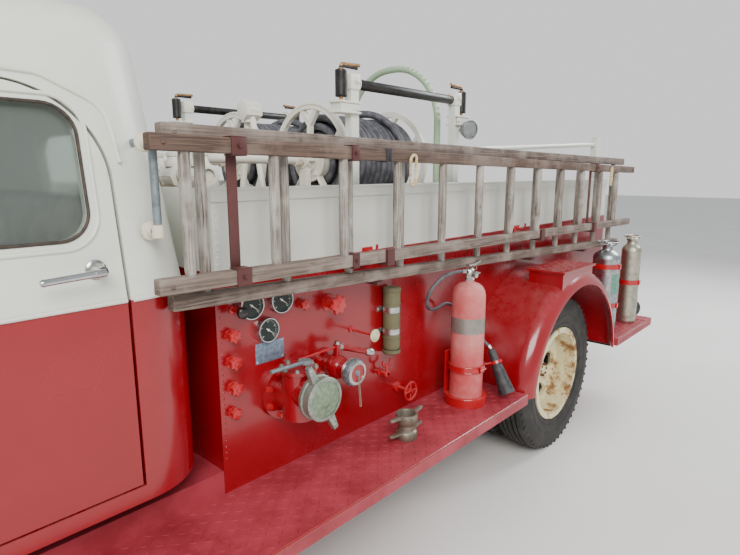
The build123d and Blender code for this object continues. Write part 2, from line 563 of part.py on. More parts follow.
def cut_end_windows():
    """The two windscreen panes and the rear window, cut along the length."""
    pane_width = PANE_HALF_WIDTH - PILLAR_HALF
    for _, side in SIDES:
        with BuildSketch(front_plane(CAB_FRONT_X - 400, side * (PANE_HALF_WIDTH + PILLAR_HALF) / 2,
                                     (WINDSCREEN_SILL + WINDSCREEN_TOP) / 2)) as pane:
            RectangleRounded(pane_width, WINDSCREEN_TOP - WINDSCREEN_SILL, 50)
        extrude(pane.sketch, amount=420, mode=Mode.SUBTRACT)
    with BuildSketch(front_plane(CAB_BACK_X - 10, 0, (WINDOW_SILL + WINDOW_TOP) / 2)) as rear_window:
        RectangleRounded(2 * REAR_WINDOW_HALF, WINDOW_TOP - WINDOW_SILL - 60, 80)
    extrude(rear_window.sketch, amount=150, mode=Mode.SUBTRACT)


CAB_SPAN_X = (CAB_BACK_X - 50, COWL_FRONT_X + 50)
CAB_SPAN_Y = (-1000, 1000)


def cowl_section(x, half_width, top, corner, inset):
    """One upright section of the cowl, open to no edge, with its two upper corners rounded."""
    low = CAB_BOTTOM
    with BuildSketch(front_plane(x, 0, (low + top - inset) / 2)) as section:
        Rectangle(2 * (half_width - inset), top - inset - low)
        fillet(vertices().group_by(Axis.Y)[-1], corner - inset)
    return section.sketch


with BuildPart() as cowl_outer:
    loft([cowl_section(CAB_FRONT_X, CAB_HALF_WIDTH, CAB_BELT_HEIGHT, 60, 0),
          cowl_section(COWL_FRONT_X, HOOD_REAR_HALF_WIDTH, HOOD_REAR_HEIGHT, 200, 0)])
with BuildPart() as cowl_inner:
    loft([cowl_section(CAB_FRONT_X, CAB_HALF_WIDTH, CAB_BELT_HEIGHT, 60, CAB_WALL),
          cowl_section(COWL_FRONT_X, HOOD_REAR_HALF_WIDTH, HOOD_REAR_HEIGHT, 200, CAB_WALL)])

# Lower cab: back and sill panels with the cowl and firewall
with BuildPart() as cab_body:
    add(cab_outer.part)
    add(cab_inner.part, mode=Mode.SUBTRACT)
    extrude(door_outline(0), amount=2000, mode=Mode.SUBTRACT)
    box_between(CAB_SPAN_X, CAB_SPAN_Y, (CAB_BELT_HEIGHT, CAB_ROOF_HEIGHT + 50), mode=Mode.SUBTRACT)
    add(cowl_outer.part)
    add(cowl_inner.part, mode=Mode.SUBTRACT)
    box_between((COWL_FRONT_X - SHEET, COWL_FRONT_X), (60 - HOOD_REAR_HALF_WIDTH, HOOD_REAR_HALF_WIDTH - 60),
                (FRAME_TOP + 20, HOOD_REAR_HEIGHT - CAB_WALL))
    box_between(CAB_SPAN_X, (-FRAME_HALF_WIDTH - 20, FRAME_HALF_WIDTH + 20), (CAB_BOTTOM - 50, FRAME_TOP),
                mode=Mode.SUBTRACT)
    for _, side in SIDES:
        for hinge_z in DOOR_HINGES_Z:
            for end in (-1, 1):
                box_between((HINGE_X, HINGE_X + LEAF_REACH), (side * (CAB_HALF_WIDTH - 2), side * HINGE_Y),
                            (hinge_z + end * (HINGE_BARREL / 2 + FIT), hinge_z + end * HINGE_LENGTH / 2))
            hinge_pin((HINGE_X, side * HINGE_Y, hinge_z), (0, 0, 1), HINGE_LENGTH)
    for hinge_y in HOOD_HINGES_Y:
        for end in (-1, 1):
            box_between((HOOD_HINGE_X - LEAF_REACH, HOOD_HINGE_X),
                        (hinge_y + end * (HINGE_BARREL / 2 + FIT), hinge_y + end * HINGE_LENGTH / 2),
                        (HOOD_HINGE_Z - 18, HOOD_HINGE_Z + 2))
        hinge_pin((HOOD_HINGE_X, hinge_y, HOOD_HINGE_Z), (0, 1, 0), HINGE_LENGTH)
write(cab_body, "cab_body")

# Upper cab: roof, pillars and window surrounds
with BuildPart() as cab_roof:
    add(cab_outer.part)
    add(cab_inner.part, mode=Mode.SUBTRACT)
    extrude(door_outline(0), amount=2000, mode=Mode.SUBTRACT)
    cut_end_windows()
    box_between(CAB_SPAN_X, CAB_SPAN_Y, (CAB_BOTTOM - 50, CAB_BELT_HEIGHT), mode=Mode.SUBTRACT)
write(cab_roof, "cab_roof")

# Doors: the same walls inside the door's outline, with the window cut
DOOR_FLANGE = 14
DOOR_STEP = 14
with BuildPart() as cab_skin:
    cab_volume(DOOR_FLANGE)
with BuildPart() as door_inners:
    extrude(door_outline(PANEL_GAP + DOOR_STEP), amount=2000)
    add(cab_skin.part, mode=Mode.INTERSECT)
    add(cab_inner.part, mode=Mode.SUBTRACT)
with BuildPart() as pane_outer:
    cab_volume(PANE_DEPTH)
with BuildPart() as pane_inner:
    cab_volume(PANE_DEPTH + GLASS)
for side_name, side in SIDES:
    with BuildPart() as door:
        extrude(door_outline(PANEL_GAP), amount=2000)
        add(cab_outer.part, mode=Mode.INTERSECT)
        add(cab_skin.part, mode=Mode.SUBTRACT)
        add(door_inners.part)
        cut_side_windows()
        box_between(CAB_SPAN_X, (0, -side * 1000), (0, 2500), mode=Mode.SUBTRACT)
        for hinge_z in DOOR_HINGES_Z:
            box_between((HINGE_X - LEAF_REACH, DOOR_FRONT_X - PANEL_GAP), (side * (CAB_HALF_WIDTH - 2), side * HINGE_Y),
                        (hinge_z - HINGE_BARREL / 2, hinge_z + HINGE_BARREL / 2))
            box_between((HINGE_X - LEAF_REACH, HINGE_X), (side * (CAB_HALF_WIDTH + FIT), side * HINGE_Y),
                        (hinge_z - HINGE_BARREL / 2, hinge_z + HINGE_BARREL / 2))
            hinge_barrel((HINGE_X, side * HINGE_Y, hinge_z), (0, 0, 1))
            bar((HINGE_X, side * HINGE_Y, hinge_z - HINGE_BARREL), (HINGE_X, side * HINGE_Y, hinge_z + HINGE_BARREL),
                HINGE_PIN_RADIUS + FIT, mode=Mode.SUBTRACT)
    write(door, f"door_{side_name}")
    with BuildPart() as door_glass:
        extrude(side_window(0), amount=2000)
        add(pane_outer.part, mode=Mode.INTERSECT)
        add(pane_inner.part, mode=Mode.SUBTRACT)
        box_between(CAB_SPAN_X, (0, -side * 1000), (0, 2500), mode=Mode.SUBTRACT)
    write(door_glass, f"door_glass_{side_name}")

# Cab floor: a plate on the rails, between the cab's walls, with the box that carries the seat
SEAT_BACK_X = CAB_BACK_X + 70
SEAT_HALF_WIDTH = 590
SEAT_BOX_TOP = 1000
with BuildPart() as cab_floor:
    box_between((SEAT_BACK_X, SEAT_BACK_X + 560), (-SEAT_HALF_WIDTH, SEAT_HALF_WIDTH), (FRAME_TOP + 18, SEAT_BOX_TOP))
    box_between((CAB_BACK_X + CAB_WALL + CAB_CORNER_RADIUS, COWL_FRONT_X - SHEET - 1),
                (60 - HOOD_REAR_HALF_WIDTH, HOOD_REAR_HALF_WIDTH - 60), (FRAME_TOP, FRAME_TOP + 18))
    box_between((CAB_BACK_X + CAB_WALL + CAB_CORNER_RADIUS, CAB_FRONT_X - 60),
                (1 + CAB_WALL - CAB_HALF_WIDTH, CAB_HALF_WIDTH - CAB_WALL - 1), (FRAME_TOP, FRAME_TOP + 18))
    box_between((CAB_BACK_X + CAB_WALL + 1, CAB_FRONT_X - 60),
                (CAB_CORNER_RADIUS - CAB_HALF_WIDTH, CAB_HALF_WIDTH - CAB_CORNER_RADIUS),
                (FRAME_TOP, FRAME_TOP + 18))
write(cab_floor, "cab_floor")

# Dashboard with the steering column
DASH_X = CAB_FRONT_X - 12
STEER_CENTRE = (CAB_FRONT_X - 250, 380, 1240)
STEER_LEAN = 35
COLUMN_DIRECTION = (-sin(radians(90 - STEER_LEAN)), 0, cos(radians(90 - STEER_LEAN)))
COLUMN_LENGTH = 420
column_top = Vector(*STEER_CENTRE) - Vector(*COLUMN_DIRECTION) * FIT
column_foot = Vector(*STEER_CENTRE) - Vector(*COLUMN_DIRECTION) * COLUMN_LENGTH
with BuildPart() as dashboard:
    box_between((DASH_X - 60, DASH_X), (CAB_WALL + FIT - CAB_HALF_WIDTH, CAB_HALF_WIDTH - CAB_WALL - FIT),
                (1140, 1295))
    bar(tuple(column_foot), tuple(column_top), 24)
write(dashboard, "dashboard")

# Steering wheel: rim, spokes and hub across the column
STEER_RADIUS = 210
with BuildPart() as steering_wheel:
    with BuildSketch(Plane(origin=STEER_CENTRE, x_dir=(0, 1, 0), z_dir=COLUMN_DIRECTION)):
        Circle(STEER_RADIUS + 12)
        Circle(STEER_RADIUS - 12, mode=Mode.SUBTRACT)
    extrude(amount=24)
    with BuildSketch(Plane(origin=STEER_CENTRE, x_dir=(0, 1, 0), z_dir=COLUMN_DIRECTION)):
        Circle(38)
        with PolarLocations(STEER_RADIUS / 2, 3, start_angle=90):
            Rectangle(STEER_RADIUS, 22)
    extrude(amount=20)
write(steering_wheel, "steering_wheel")

# Seat: a bench cushion and its back
with BuildPart() as seat:
    box_between((SEAT_BACK_X + 125, SEAT_BACK_X + 600), (-SEAT_HALF_WIDTH, SEAT_HALF_WIDTH), (SEAT_BOX_TOP + FIT, 1150))
    fillet(edges().filter_by(Axis.Y).group_by(Axis.Z)[-1], 40)
    box_between((SEAT_BACK_X, SEAT_BACK_X + 124), (-SEAT_HALF_WIDTH, SEAT_HALF_WIDTH), (SEAT_BOX_TOP + FIT, 1560))
    fillet(edges().filter_by(Axis.Y).group_by(Axis.Z)[-1], 50)
write(seat, "seat")

# Cab glass: two windscreen panes and the rear window, in the middle of their walls
rake = Vector(ROOF_FRONT_X - CAB_FRONT_X, 0, CAB_ROOF_HEIGHT - CAB_BELT_HEIGHT).normalized()
windscreen_normal = Vector(rake.Z, 0, -rake.X)
windscreen_foot = Vector(CAB_FRONT_X, 0, CAB_BELT_HEIGHT) - windscreen_normal * CAB_WALL * 0.6
with BuildPart() as cab_glass:
    for _, side in SIDES:
        with BuildSketch(front_plane(CAB_FRONT_X - 400, side * (PANE_HALF_WIDTH + PILLAR_HALF) / 2,
                                     (WINDSCREEN_SILL + WINDSCREEN_TOP) / 2)):
            RectangleRounded(PANE_HALF_WIDTH - PILLAR_HALF, WINDSCREEN_TOP - WINDSCREEN_SILL, 50)
        extrude(amount=420)
    with BuildSketch(Plane(origin=windscreen_foot, x_dir=(0, 1, 0), z_dir=windscreen_normal)):
        Rectangle(2000, 3000)
    extrude(amount=GLASS, mode=Mode.INTERSECT)
    with BuildSketch(front_plane(CAB_BACK_X + 36, 0, (WINDOW_SILL + WINDOW_TOP) / 2)):
        RectangleRounded(2 * REAR_WINDOW_HALF, WINDOW_TOP - WINDOW_SILL - 60, 80)
    extrude(amount=GLASS)
write(cab_glass, "cab_glass")

# Hood: a lofted shell that narrows to the front
HOOD_REAR_CORNER = 200
HOOD_FRONT_CORNER = 150


def hood_volume(inset):
    """The hood's outer volume, or the room under it."""
    sections = ((HOOD_REAR_X, HOOD_REAR_HALF_WIDTH, HOOD_REAR_HEIGHT, HOOD_REAR_CORNER),
                (HOOD_FRONT_X, HOOD_FRONT_HALF_WIDTH, HOOD_FRONT_HEIGHT, HOOD_FRONT_CORNER))
    outlines = []
    for x, half_width, top, corner in sections:
        with BuildSketch(front_plane(x, 0, (HOOD_EDGE_HEIGHT + top - inset) / 2)) as section:
            Rectangle(2 * (half_width - inset), top - inset - HOOD_EDGE_HEIGHT)
            fillet(vertices().group_by(Axis.Y)[-1], corner - inset)
        outlines.append(section.sketch)
    loft(outlines)


with BuildPart() as hood_room:
    hood_volume(SHEET)
with BuildPart() as hood:
    hood_volume(0)
    add(hood_room.part, mode=Mode.SUBTRACT)
    bar((HOOD_HINGE_X, -700, HOOD_HINGE_Z), (HOOD_HINGE_X, 700, HOOD_HINGE_Z), HOOD_REACH, mode=Mode.INTERSECT)
    for hinge_y in HOOD_HINGES_Y:
        box_between((HOOD_HINGE_X, HOOD_HINGE_X + LEAF_REACH), (hinge_y - HINGE_BARREL / 2, hinge_y + HINGE_BARREL / 2),
                    (HOOD_HINGE_Z - 18, HOOD_HINGE_Z + 2))
        hinge_barrel((HOOD_HINGE_X, hinge_y, HOOD_HINGE_Z), (0, 1, 0))
        bar((HOOD_HINGE_X, hinge_y - HINGE_BARREL, HOOD_HINGE_Z), (HOOD_HINGE_X, hinge_y + HINGE_BARREL, HOOD_HINGE_Z),
            HINGE_PIN_RADIUS + FIT, mode=Mode.SUBTRACT)
write(hood, "hood")

# Grille shell: a rounded nose with upright bars
GRILLE_FRONT_X = HOOD_FRONT_X + 90
GRILLE_REAR_X = HOOD_FRONT_X - 50
GRILLE_HALF_WIDTH = 285
GRILLE_BOTTOM = 600
GRILLE_BARS = 13
with BuildPart() as grille_shell:
    with BuildSketch(front_plane(GRILLE_REAR_X, 0, (GRILLE_BOTTOM + HOOD_FRONT_HEIGHT) / 2)):
        Rectangle(2 * HOOD_FRONT_HALF_WIDTH, HOOD_FRONT_HEIGHT - GRILLE_BOTTOM)
        fillet(vertices().group_by(Axis.Y)[-1], HOOD_FRONT_CORNER)
    extrude(amount=GRILLE_FRONT_X - GRILLE_REAR_X)
    fillet(faces().sort_by(Axis.X)[-1].edges(), 50)
    with BuildSketch(front_plane(GRILLE_REAR_X - 10, 0, (GRILLE_BOTTOM + HOOD_FRONT_HEIGHT) / 2 - 20)):
        RectangleRounded(2 * GRILLE_HALF_WIDTH - 90, HOOD_FRONT_HEIGHT - GRILLE_BOTTOM - 160, 90)
    extrude(amount=200, mode=Mode.SUBTRACT)
    for grille_bar in range(GRILLE_BARS):
        bar_y = (grille_bar - (GRILLE_BARS - 1) / 2) * 35
        box_between((GRILLE_FRONT_X - 50, GRILLE_FRONT_X - 30), (bar_y - 7, bar_y + 7),
                    (GRILLE_BOTTOM + 30 + abs(bar_y) * 0.12, HOOD_FRONT_HEIGHT - 70 - abs(bar_y) * 0.12))
    bar((HOOD_HINGE_X, -700, HOOD_HINGE_Z), (HOOD_HINGE_X, 700, HOOD_HINGE_Z), HOOD_REACH + PANEL_GAP,
        mode=Mode.SUBTRACT)
    for _, side in SIDES:
        box_between((GRILLE_FRONT_X - 80, GRILLE_FRONT_X - 50),
                    (side * (HOOD_FRONT_HALF_WIDTH - 10), side * (FRAME_HALF_WIDTH - 5)), (FRAME_TOP, FRAME_TOP + SHEET))
write(grille_shell, "grille_shell")

# Front bumper: a pressed bar on two irons from the rails
with BuildPart() as front_bumper:
    box_between((NOSE_X - BUMPER_DEPTH, NOSE_X), (-900, 900), (490, 650))
    box_between((NOSE_X - BUMPER_DEPTH, NOSE_X - SHEET), (-900 + SHEET, 900 - SHEET), (490 + SHEET, 650 - SHEET),
                mode=Mode.SUBTRACT)
    for _, side in SIDES:
        box_between((FRAME_FRONT_X, NOSE_X - SHEET), (side * (FRAME_HALF_WIDTH - 50), side * (FRAME_HALF_WIDTH - 10)),
                    (560, 640))
write(front_bumper, "front_bumper")

# Front fenders: a crown over each wheel that sweeps down to the board, with its inner apron
FENDER_RADIUS = 600
FENDER_INNER_Y = 540
FENDER_OUTER_Y = 985
FENDER_SHOULDER = 110
FENDER_OPENING = 535
CATWALK_TOP = HOOD_EDGE_HEIGHT - 13
APRON_Y = 396


def front_fender_outline(inset):
    """The side view of the fender: its crown, its tail and its open lower edge."""
    radius = FENDER_RADIUS - inset
    tail_angle = radians(150)
    low = BOARD_HEIGHT - AXLE_HEIGHT
    with BuildLine() as outline:
        arc_start = (radius * cos(radians(14)), radius * sin(radians(14)))
        arc_end = (radius * cos(tail_angle), radius * sin(tail_angle))
        ThreePointArc(arc_start, (0, radius), arc_end)
        tail = JernArc(arc_end, (-sin(radians(150)), cos(radians(150))), 300 + inset, -50)
        Line(tail @ 1, ((tail @ 1).X, low))
        Line(((tail @ 1).X, low), (arc_start[0], low))
        Line((arc_start[0], low), arc_start)
    make_face(outline.edges())


with BuildPart() as fender_outer:
    with BuildSketch(Plane(origin=(FRONT_AXLE_X, FENDER_INNER_Y, AXLE_HEIGHT), x_dir=(1, 0, 0), z_dir=(0, -1, 0))):
        front_fender_outline(0)
    extrude(amount=-(FENDER_OUTER_Y - FENDER_INNER_Y))
    outer_crown = faces().sort_by(Axis.Y)[-1].edges().filter_by(GeomType.CIRCLE)
    fillet(outer_crown, FENDER_SHOULDER)

with BuildPart() as fender_room:
    with BuildSketch(Plane(origin=(FRONT_AXLE_X, FENDER_INNER_Y + SHEET, AXLE_HEIGHT), x_dir=(1, 0, 0),
                           z_dir=(0, -1, 0))):
        front_fender_outline(SHEET)
    extrude(amount=-(FENDER_OUTER_Y - FENDER_INNER_Y - 2 * SHEET))
    inner_crown = faces().sort_by(Axis.Y)[-1].edges().filter_by(GeomType.CIRCLE)
    fillet(inner_crown, FENDER_SHOULDER - SHEET)

with BuildPart() as front_fenders:
    add(fender_outer.part)
    add(fender_room.part, mode=Mode.SUBTRACT)
    bar((FRONT_AXLE_X, FENDER_INNER_Y - 10, AXLE_HEIGHT), (FRONT_AXLE_X, FENDER_OUTER_Y + 10, AXLE_HEIGHT),
        FENDER_OPENING, mode=Mode.SUBTRACT)
    box_between((COWL_FRONT_X, HOOD_FRONT_X), (APRON_Y, FENDER_INNER_Y + SHEET),
                (CATWALK_TOP - SHEET, CATWALK_TOP))
    box_between((COWL_FRONT_X, HOOD_FRONT_X), (APRON_Y, APRON_Y + SHEET), (FRAME_BOTTOM, CATWALK_TOP))
    add(cowl_outer.part, mode=Mode.SUBTRACT)
    mirror(about=Plane.XZ)
write(front_fenders, "front_fenders")

# Lamps: a bullet headlamp on a foot on each front fender, and a tail lamp on each side of the rear wall
LAMP_X = FRONT_AXLE_X + 330
LAMP_Y = 690
LAMP_Z = 1120
LAMP_RADIUS = 105
with BuildPart() as lamps:
    for _, side in SIDES:
        with BuildSketch(Plane(origin=(LAMP_X, side * LAMP_Y, LAMP_Z), x_dir=(1, 0, 0), z_dir=(0, -1, 0))):
            with BuildLine():
                Polyline((-150, 0), (110, 0), (104, 40), (90, 80), (80, LAMP_RADIUS), (60, LAMP_RADIUS))
                ThreePointArc((60, LAMP_RADIUS), (-70, 80), (-150, 0))
            make_face()
        revolve(axis=Axis((LAMP_X, side * LAMP_Y, LAMP_Z), (1, 0, 0)))
        bar((LAMP_X, side * LAMP_Y, 900), (LAMP_X, side * LAMP_Y, LAMP_Z - 60), 26)
    add(fender_outer.part, mode=Mode.SUBTRACT)
    add(mirror(fender_outer.part, about=Plane.XZ, mode=Mode.PRIVATE), mode=Mode.SUBTRACT)
    for _, side in SIDES:
        bar((BODY_REAR_X, side * 600, 900), (BODY_REAR_X - 55, side * 600, 900), 55)
write(lamps, "lamps")

# Running boards: side boards, the rear board and the apron behind them
FENDER_RISE = 630
REAR_OPENING = 550
BOARD_FENDER_X = REAR_AXLE_X + FENDER_RISE + 1
REAR_BOARD_X = REAR_AXLE_X - FENDER_RISE - 1
BOARD_FRONT_X = CAB_FRONT_X - 20
TAIL_BOARD_LIFT = 3
with BuildPart() as running_boards:
    for _, side in SIDES:
        outer = side * BOARD_HALF_WIDTH
        inner = side * BODY_HALF_WIDTH
        box_between((BOARD_FENDER_X, BOARD_FRONT_X), (inner, outer), (BOARD_HEIGHT - BOARD_THICKNESS, BOARD_HEIGHT))
        box_between((BODY_REAR_X, REAR_BOARD_X), (inner, outer), (BOARD_HEIGHT - BOARD_THICKNESS, BOARD_HEIGHT))
        box_between((BODY_FRONT_X + 1, BOARD_FRONT_X), (inner - side * BODY_WALL, inner), (BOARD_HEIGHT - 20, APRON_HEIGHT))
        box_between((BODY_FRONT_X + 1, BOARD_FRONT_X), (side * (FRAME_HALF_WIDTH + BRACKET_PLATE + 1), inner),
                    (APRON_HEIGHT - 10, APRON_HEIGHT))
    box_between((TAIL_X, BODY_REAR_X), (-BOARD_HALF_WIDTH, BOARD_HALF_WIDTH),
                (BOARD_HEIGHT - BOARD_THICKNESS, BOARD_HEIGHT + TAIL_BOARD_LIFT))
write(running_boards, "running_boards")

# Rear fenders: an arch over each pair of wheels, with the wheelhouse inside the body
WHEELHOUSE_INNER_Y = 488
FENDER_CROWN_Y = 1000
STEP_SPAN_X = (REAR_AXLE_X - 150, REAR_AXLE_X + 250)
STEP_SPAN_Y = (870, 1066)
STEP_TOP = 1115
with BuildPart() as step_boxes:
    for _, side in SIDES:
        box_between(STEP_SPAN_X, (side * STEP_SPAN_Y[0], side * STEP_SPAN_Y[1]), (980, STEP_TOP))
        box_between((STEP_SPAN_X[0] - 12, STEP_SPAN_X[1] + 12),
                    (side * (STEP_SPAN_Y[0] - 12), side * (STEP_SPAN_Y[1] + 12)), (STEP_TOP - SHEET, STEP_TOP))
        ring_profile(REAR_AXLE_X, ((side * 700, 0), (side * 700, FENDER_RISE - 6), (side * FENDER_CROWN_Y, FENDER_RISE - 6),
                                   (side * 1045, 612), (side * 1072, 585), (side * 1084, REAR_OPENING),
                                   (side * 1084, 0)), mode=Mode.SUBTRACT)

with BuildPart() as rear_fenders:
    add(step_boxes.part)
    for _, side in SIDES:
        arch_plane = spun_plane(REAR_AXLE_X, AXLE_HEIGHT)
        with BuildSketch(arch_plane):
            with BuildLine():
                Line((side * 727, FENDER_RISE), (side * 1000, FENDER_RISE))
                ThreePointArc((side * 1000, FENDER_RISE), (side * 1064, 607), (side * 1090, REAR_OPENING))
                Line((side * 1090, REAR_OPENING), (side * 1078, REAR_OPENING))
                ThreePointArc((side * 1078, REAR_OPENING), (side * 1055, 598), (side * 1000, 618))
                Line((side * 1000, 618), (side * 727, 618))
                Line((side * 727, 618), (side * 727, FENDER_RISE))
            make_face()
        revolve(axis=left_axis(REAR_AXLE_X, AXLE_HEIGHT), revolution_arc=180)
        with BuildSketch(arch_plane):
            with BuildLine():
                Polyline((side * 727, 560), (side * 727, 618), (side * 715, 618), (side * 715, 587),
                         (side * WHEELHOUSE_INNER_Y, 587), (side * WHEELHOUSE_INNER_Y, 240),
                         (side * (WHEELHOUSE_INNER_Y + SHEET), 240), (side * (WHEELHOUSE_INNER_Y + SHEET), 575),
                         (side * 715, 575), (side * 727, 560))
            make_face()
        revolve(axis=left_axis(REAR_AXLE_X, AXLE_HEIGHT), revolution_arc=180)
    box_between((REAR_AXLE_X - 800, REAR_AXLE_X + 800), (-1200, 1200), (0, BOARD_HEIGHT - 40), mode=Mode.SUBTRACT)
    box_between((REAR_AXLE_X - 300, REAR_AXLE_X + 300), (-600, 600), (0, FRAME_TOP), mode=Mode.SUBTRACT)
write(rear_fenders, "rear_fenders")

# Body: lower panels, with the wheel arches cut from the sides
WALL_INNER = BODY_HALF_WIDTH - BODY_WALL
with BuildPart() as body_panels:
    box_between((BODY_REAR_X, BODY_FRONT_X), (-BODY_HALF_WIDTH, BODY_HALF_WIDTH), (BOARD_HEIGHT, BODY_COLOUR_SPLIT))
    box_between((BODY_REAR_X + BODY_WALL, BODY_FRONT_X - BODY_WALL), (-WALL_INNER, WALL_INNER),
                (BOARD_HEIGHT, BODY_COLOUR_SPLIT), mode=Mode.SUBTRACT)
    box_between((BODY_REAR_X, BODY_REAR_X + BODY_WALL), (-WALL_INNER, WALL_INNER),
                (HOSE_DECK_HEIGHT - DECK, BODY_COLOUR_SPLIT), mode=Mode.SUBTRACT)
    box_between((BODY_REAR_X - 10, BODY_FRONT_X + 10), (-FRAME_HALF_WIDTH - 15, FRAME_HALF_WIDTH + 15),
                (BOARD_HEIGHT - 10, FRAME_TOP + 1), mode=Mode.SUBTRACT)
    bar((REAR_AXLE_X, -800, AXLE_HEIGHT), (REAR_AXLE_X, 800, AXLE_HEIGHT), 618, mode=Mode.SUBTRACT)
write(body_panels, "body_panels")

# Upper body: pale side panels with a folded rim, open at the rear
RIM_DEPTH = 40
RIM_WIDTH = 45
with BuildPart() as body_upper:
    box_between((BODY_REAR_X, BODY_FRONT_X), (-BODY_HALF_WIDTH, BODY_HALF_WIDTH), (BODY_COLOUR_SPLIT, BODY_RIM_HEIGHT))
    box_between((BODY_REAR_X - 1, BODY_FRONT_X - BODY_WALL), (-WALL_INNER, WALL_INNER),
                (BODY_COLOUR_SPLIT - 1, BODY_RIM_HEIGHT + 1), mode=Mode.SUBTRACT)
    for _, side in SIDES:
        box_between((BODY_REAR_X, BODY_FRONT_X), (side * (BODY_HALF_WIDTH - RIM_WIDTH), side * (BODY_HALF_WIDTH + 8)),
                    (BODY_RIM_HEIGHT - RIM_DEPTH, BODY_RIM_HEIGHT))
write(body_upper, "body_upper")

# Inner decks: the hose floor, the bulkhead and the deck below the reels
BULKHEAD_X = REAR_AXLE_X + 600
REAR_POST_SIZE = 80
REAR_POST_HALF_WIDTH = 20
with BuildPart() as body_decks:
    box_between((BODY_REAR_X, BULKHEAD_X), (-WALL_INNER, WALL_INNER), (HOSE_DECK_HEIGHT - DECK, HOSE_DECK_HEIGHT))
    for _, side in SIDES:
        post_y = side * ROLLER_POST_Y
        box_between((BODY_REAR_X, BODY_REAR_X + REAR_POST_SIZE),
                    (post_y - REAR_POST_HALF_WIDTH, post_y + REAR_POST_HALF_WIDTH),
                    (HOSE_DECK_HEIGHT - DECK, HOSE_DECK_HEIGHT), mode=Mode.SUBTRACT)
    box_between((BULKHEAD_X - DECK, BULKHEAD_X), (-WALL_INNER, WALL_INNER), (HOSE_DECK_HEIGHT, REEL_DECK_HEIGHT))
    box_between((BULKHEAD_X - DECK, BODY_FRONT_X - BODY_WALL), (-WALL_INNER, WALL_INNER),
                (REEL_DECK_HEIGHT - DECK, REEL_DECK_HEIGHT))
write(body_decks, "body_decks")

# Hose reels: spoked flanges on a drum, around a shaft that runs lengthwise
REEL_FRONT_X = REAR_AXLE_X + 1335
REEL_REAR_X = REAR_AXLE_X + 770
REEL_RING = 26
FLANGE = 22
DRUM_RADIUS = 95
COIL_RADIUS = 205
REEL_SPOKES = 5
SPOKE_HALF_WIDTH = 10
FORK_RADIUS = 160
FORK_SPREAD = 66
BEARING_RADIUS = 34
STUB_LENGTH = 60
COIL_TURNS = 14
fork_end = REEL_RADIUS - REEL_RING / 2 - 13
for side_name, side in SIDES:
    reel_y = side * REEL_Y
    with BuildPart() as reel:
        for flange_x in (REEL_REAR_X, REEL_FRONT_X - FLANGE):
            with BuildSketch(front_plane(flange_x, reel_y, REEL_HEIGHT)):
                Circle(REEL_RADIUS)
                Circle(REEL_RADIUS - REEL_RING, mode=Mode.SUBTRACT)
                Circle(DRUM_RADIUS)
                with PolarLocations(0, REEL_SPOKES, start_angle=90):
                    Polygon((DRUM_RADIUS - 10, -SPOKE_HALF_WIDTH), (FORK_RADIUS - 10, -SPOKE_HALF_WIDTH),
                            (fork_end, -FORK_SPREAD), (fork_end + 6, -FORK_SPREAD + 22), (FORK_RADIUS + 14, 0),
                            (fork_end + 6, FORK_SPREAD - 22), (fork_end, FORK_SPREAD),
                            (FORK_RADIUS - 10, SPOKE_HALF_WIDTH), (DRUM_RADIUS - 10, SPOKE_HALF_WIDTH), align=None)
            extrude(amount=FLANGE)
        bar((REEL_REAR_X, reel_y, REEL_HEIGHT), (REEL_FRONT_X, reel_y, REEL_HEIGHT), DRUM_RADIUS)
        bar((REEL_REAR_X - STUB_LENGTH, reel_y, REEL_HEIGHT), (REEL_FRONT_X + STUB_LENGTH, reel_y, REEL_HEIGHT),
            REEL_SHAFT_RADIUS)
    write(reel, f"reel_{side_name}")

    # The hose wound on the reel, ridged by its turns
    coil_start = REEL_REAR_X + FLANGE + 1
    coil_end = REEL_FRONT_X - FLANGE - 1
    turn = (coil_end - coil_start) / COIL_TURNS
    with BuildPart() as reel_hose:
        with BuildSketch(Plane(origin=(coil_start, reel_y, REEL_HEIGHT), x_dir=(1, 0, 0), z_dir=(0, -1, 0))):
            with BuildLine():
                for coil in range(COIL_TURNS):
                    ThreePointArc((coil * turn, COIL_RADIUS - 14), ((coil + 0.5) * turn, COIL_RADIUS),
                                  ((coil + 1) * turn, COIL_RADIUS - 14))
                Line((COIL_TURNS * turn, COIL_RADIUS - 14), (COIL_TURNS * turn, DRUM_RADIUS + FIT))
                Line((COIL_TURNS * turn, DRUM_RADIUS + FIT), (0, DRUM_RADIUS + FIT))
                Line((0, DRUM_RADIUS + FIT), (0, COIL_RADIUS - 14))
            make_face()
        revolve(axis=Axis((0, reel_y, REEL_HEIGHT), (1, 0, 0)))
    write(reel_hose, f"reel_hose_{side_name}")

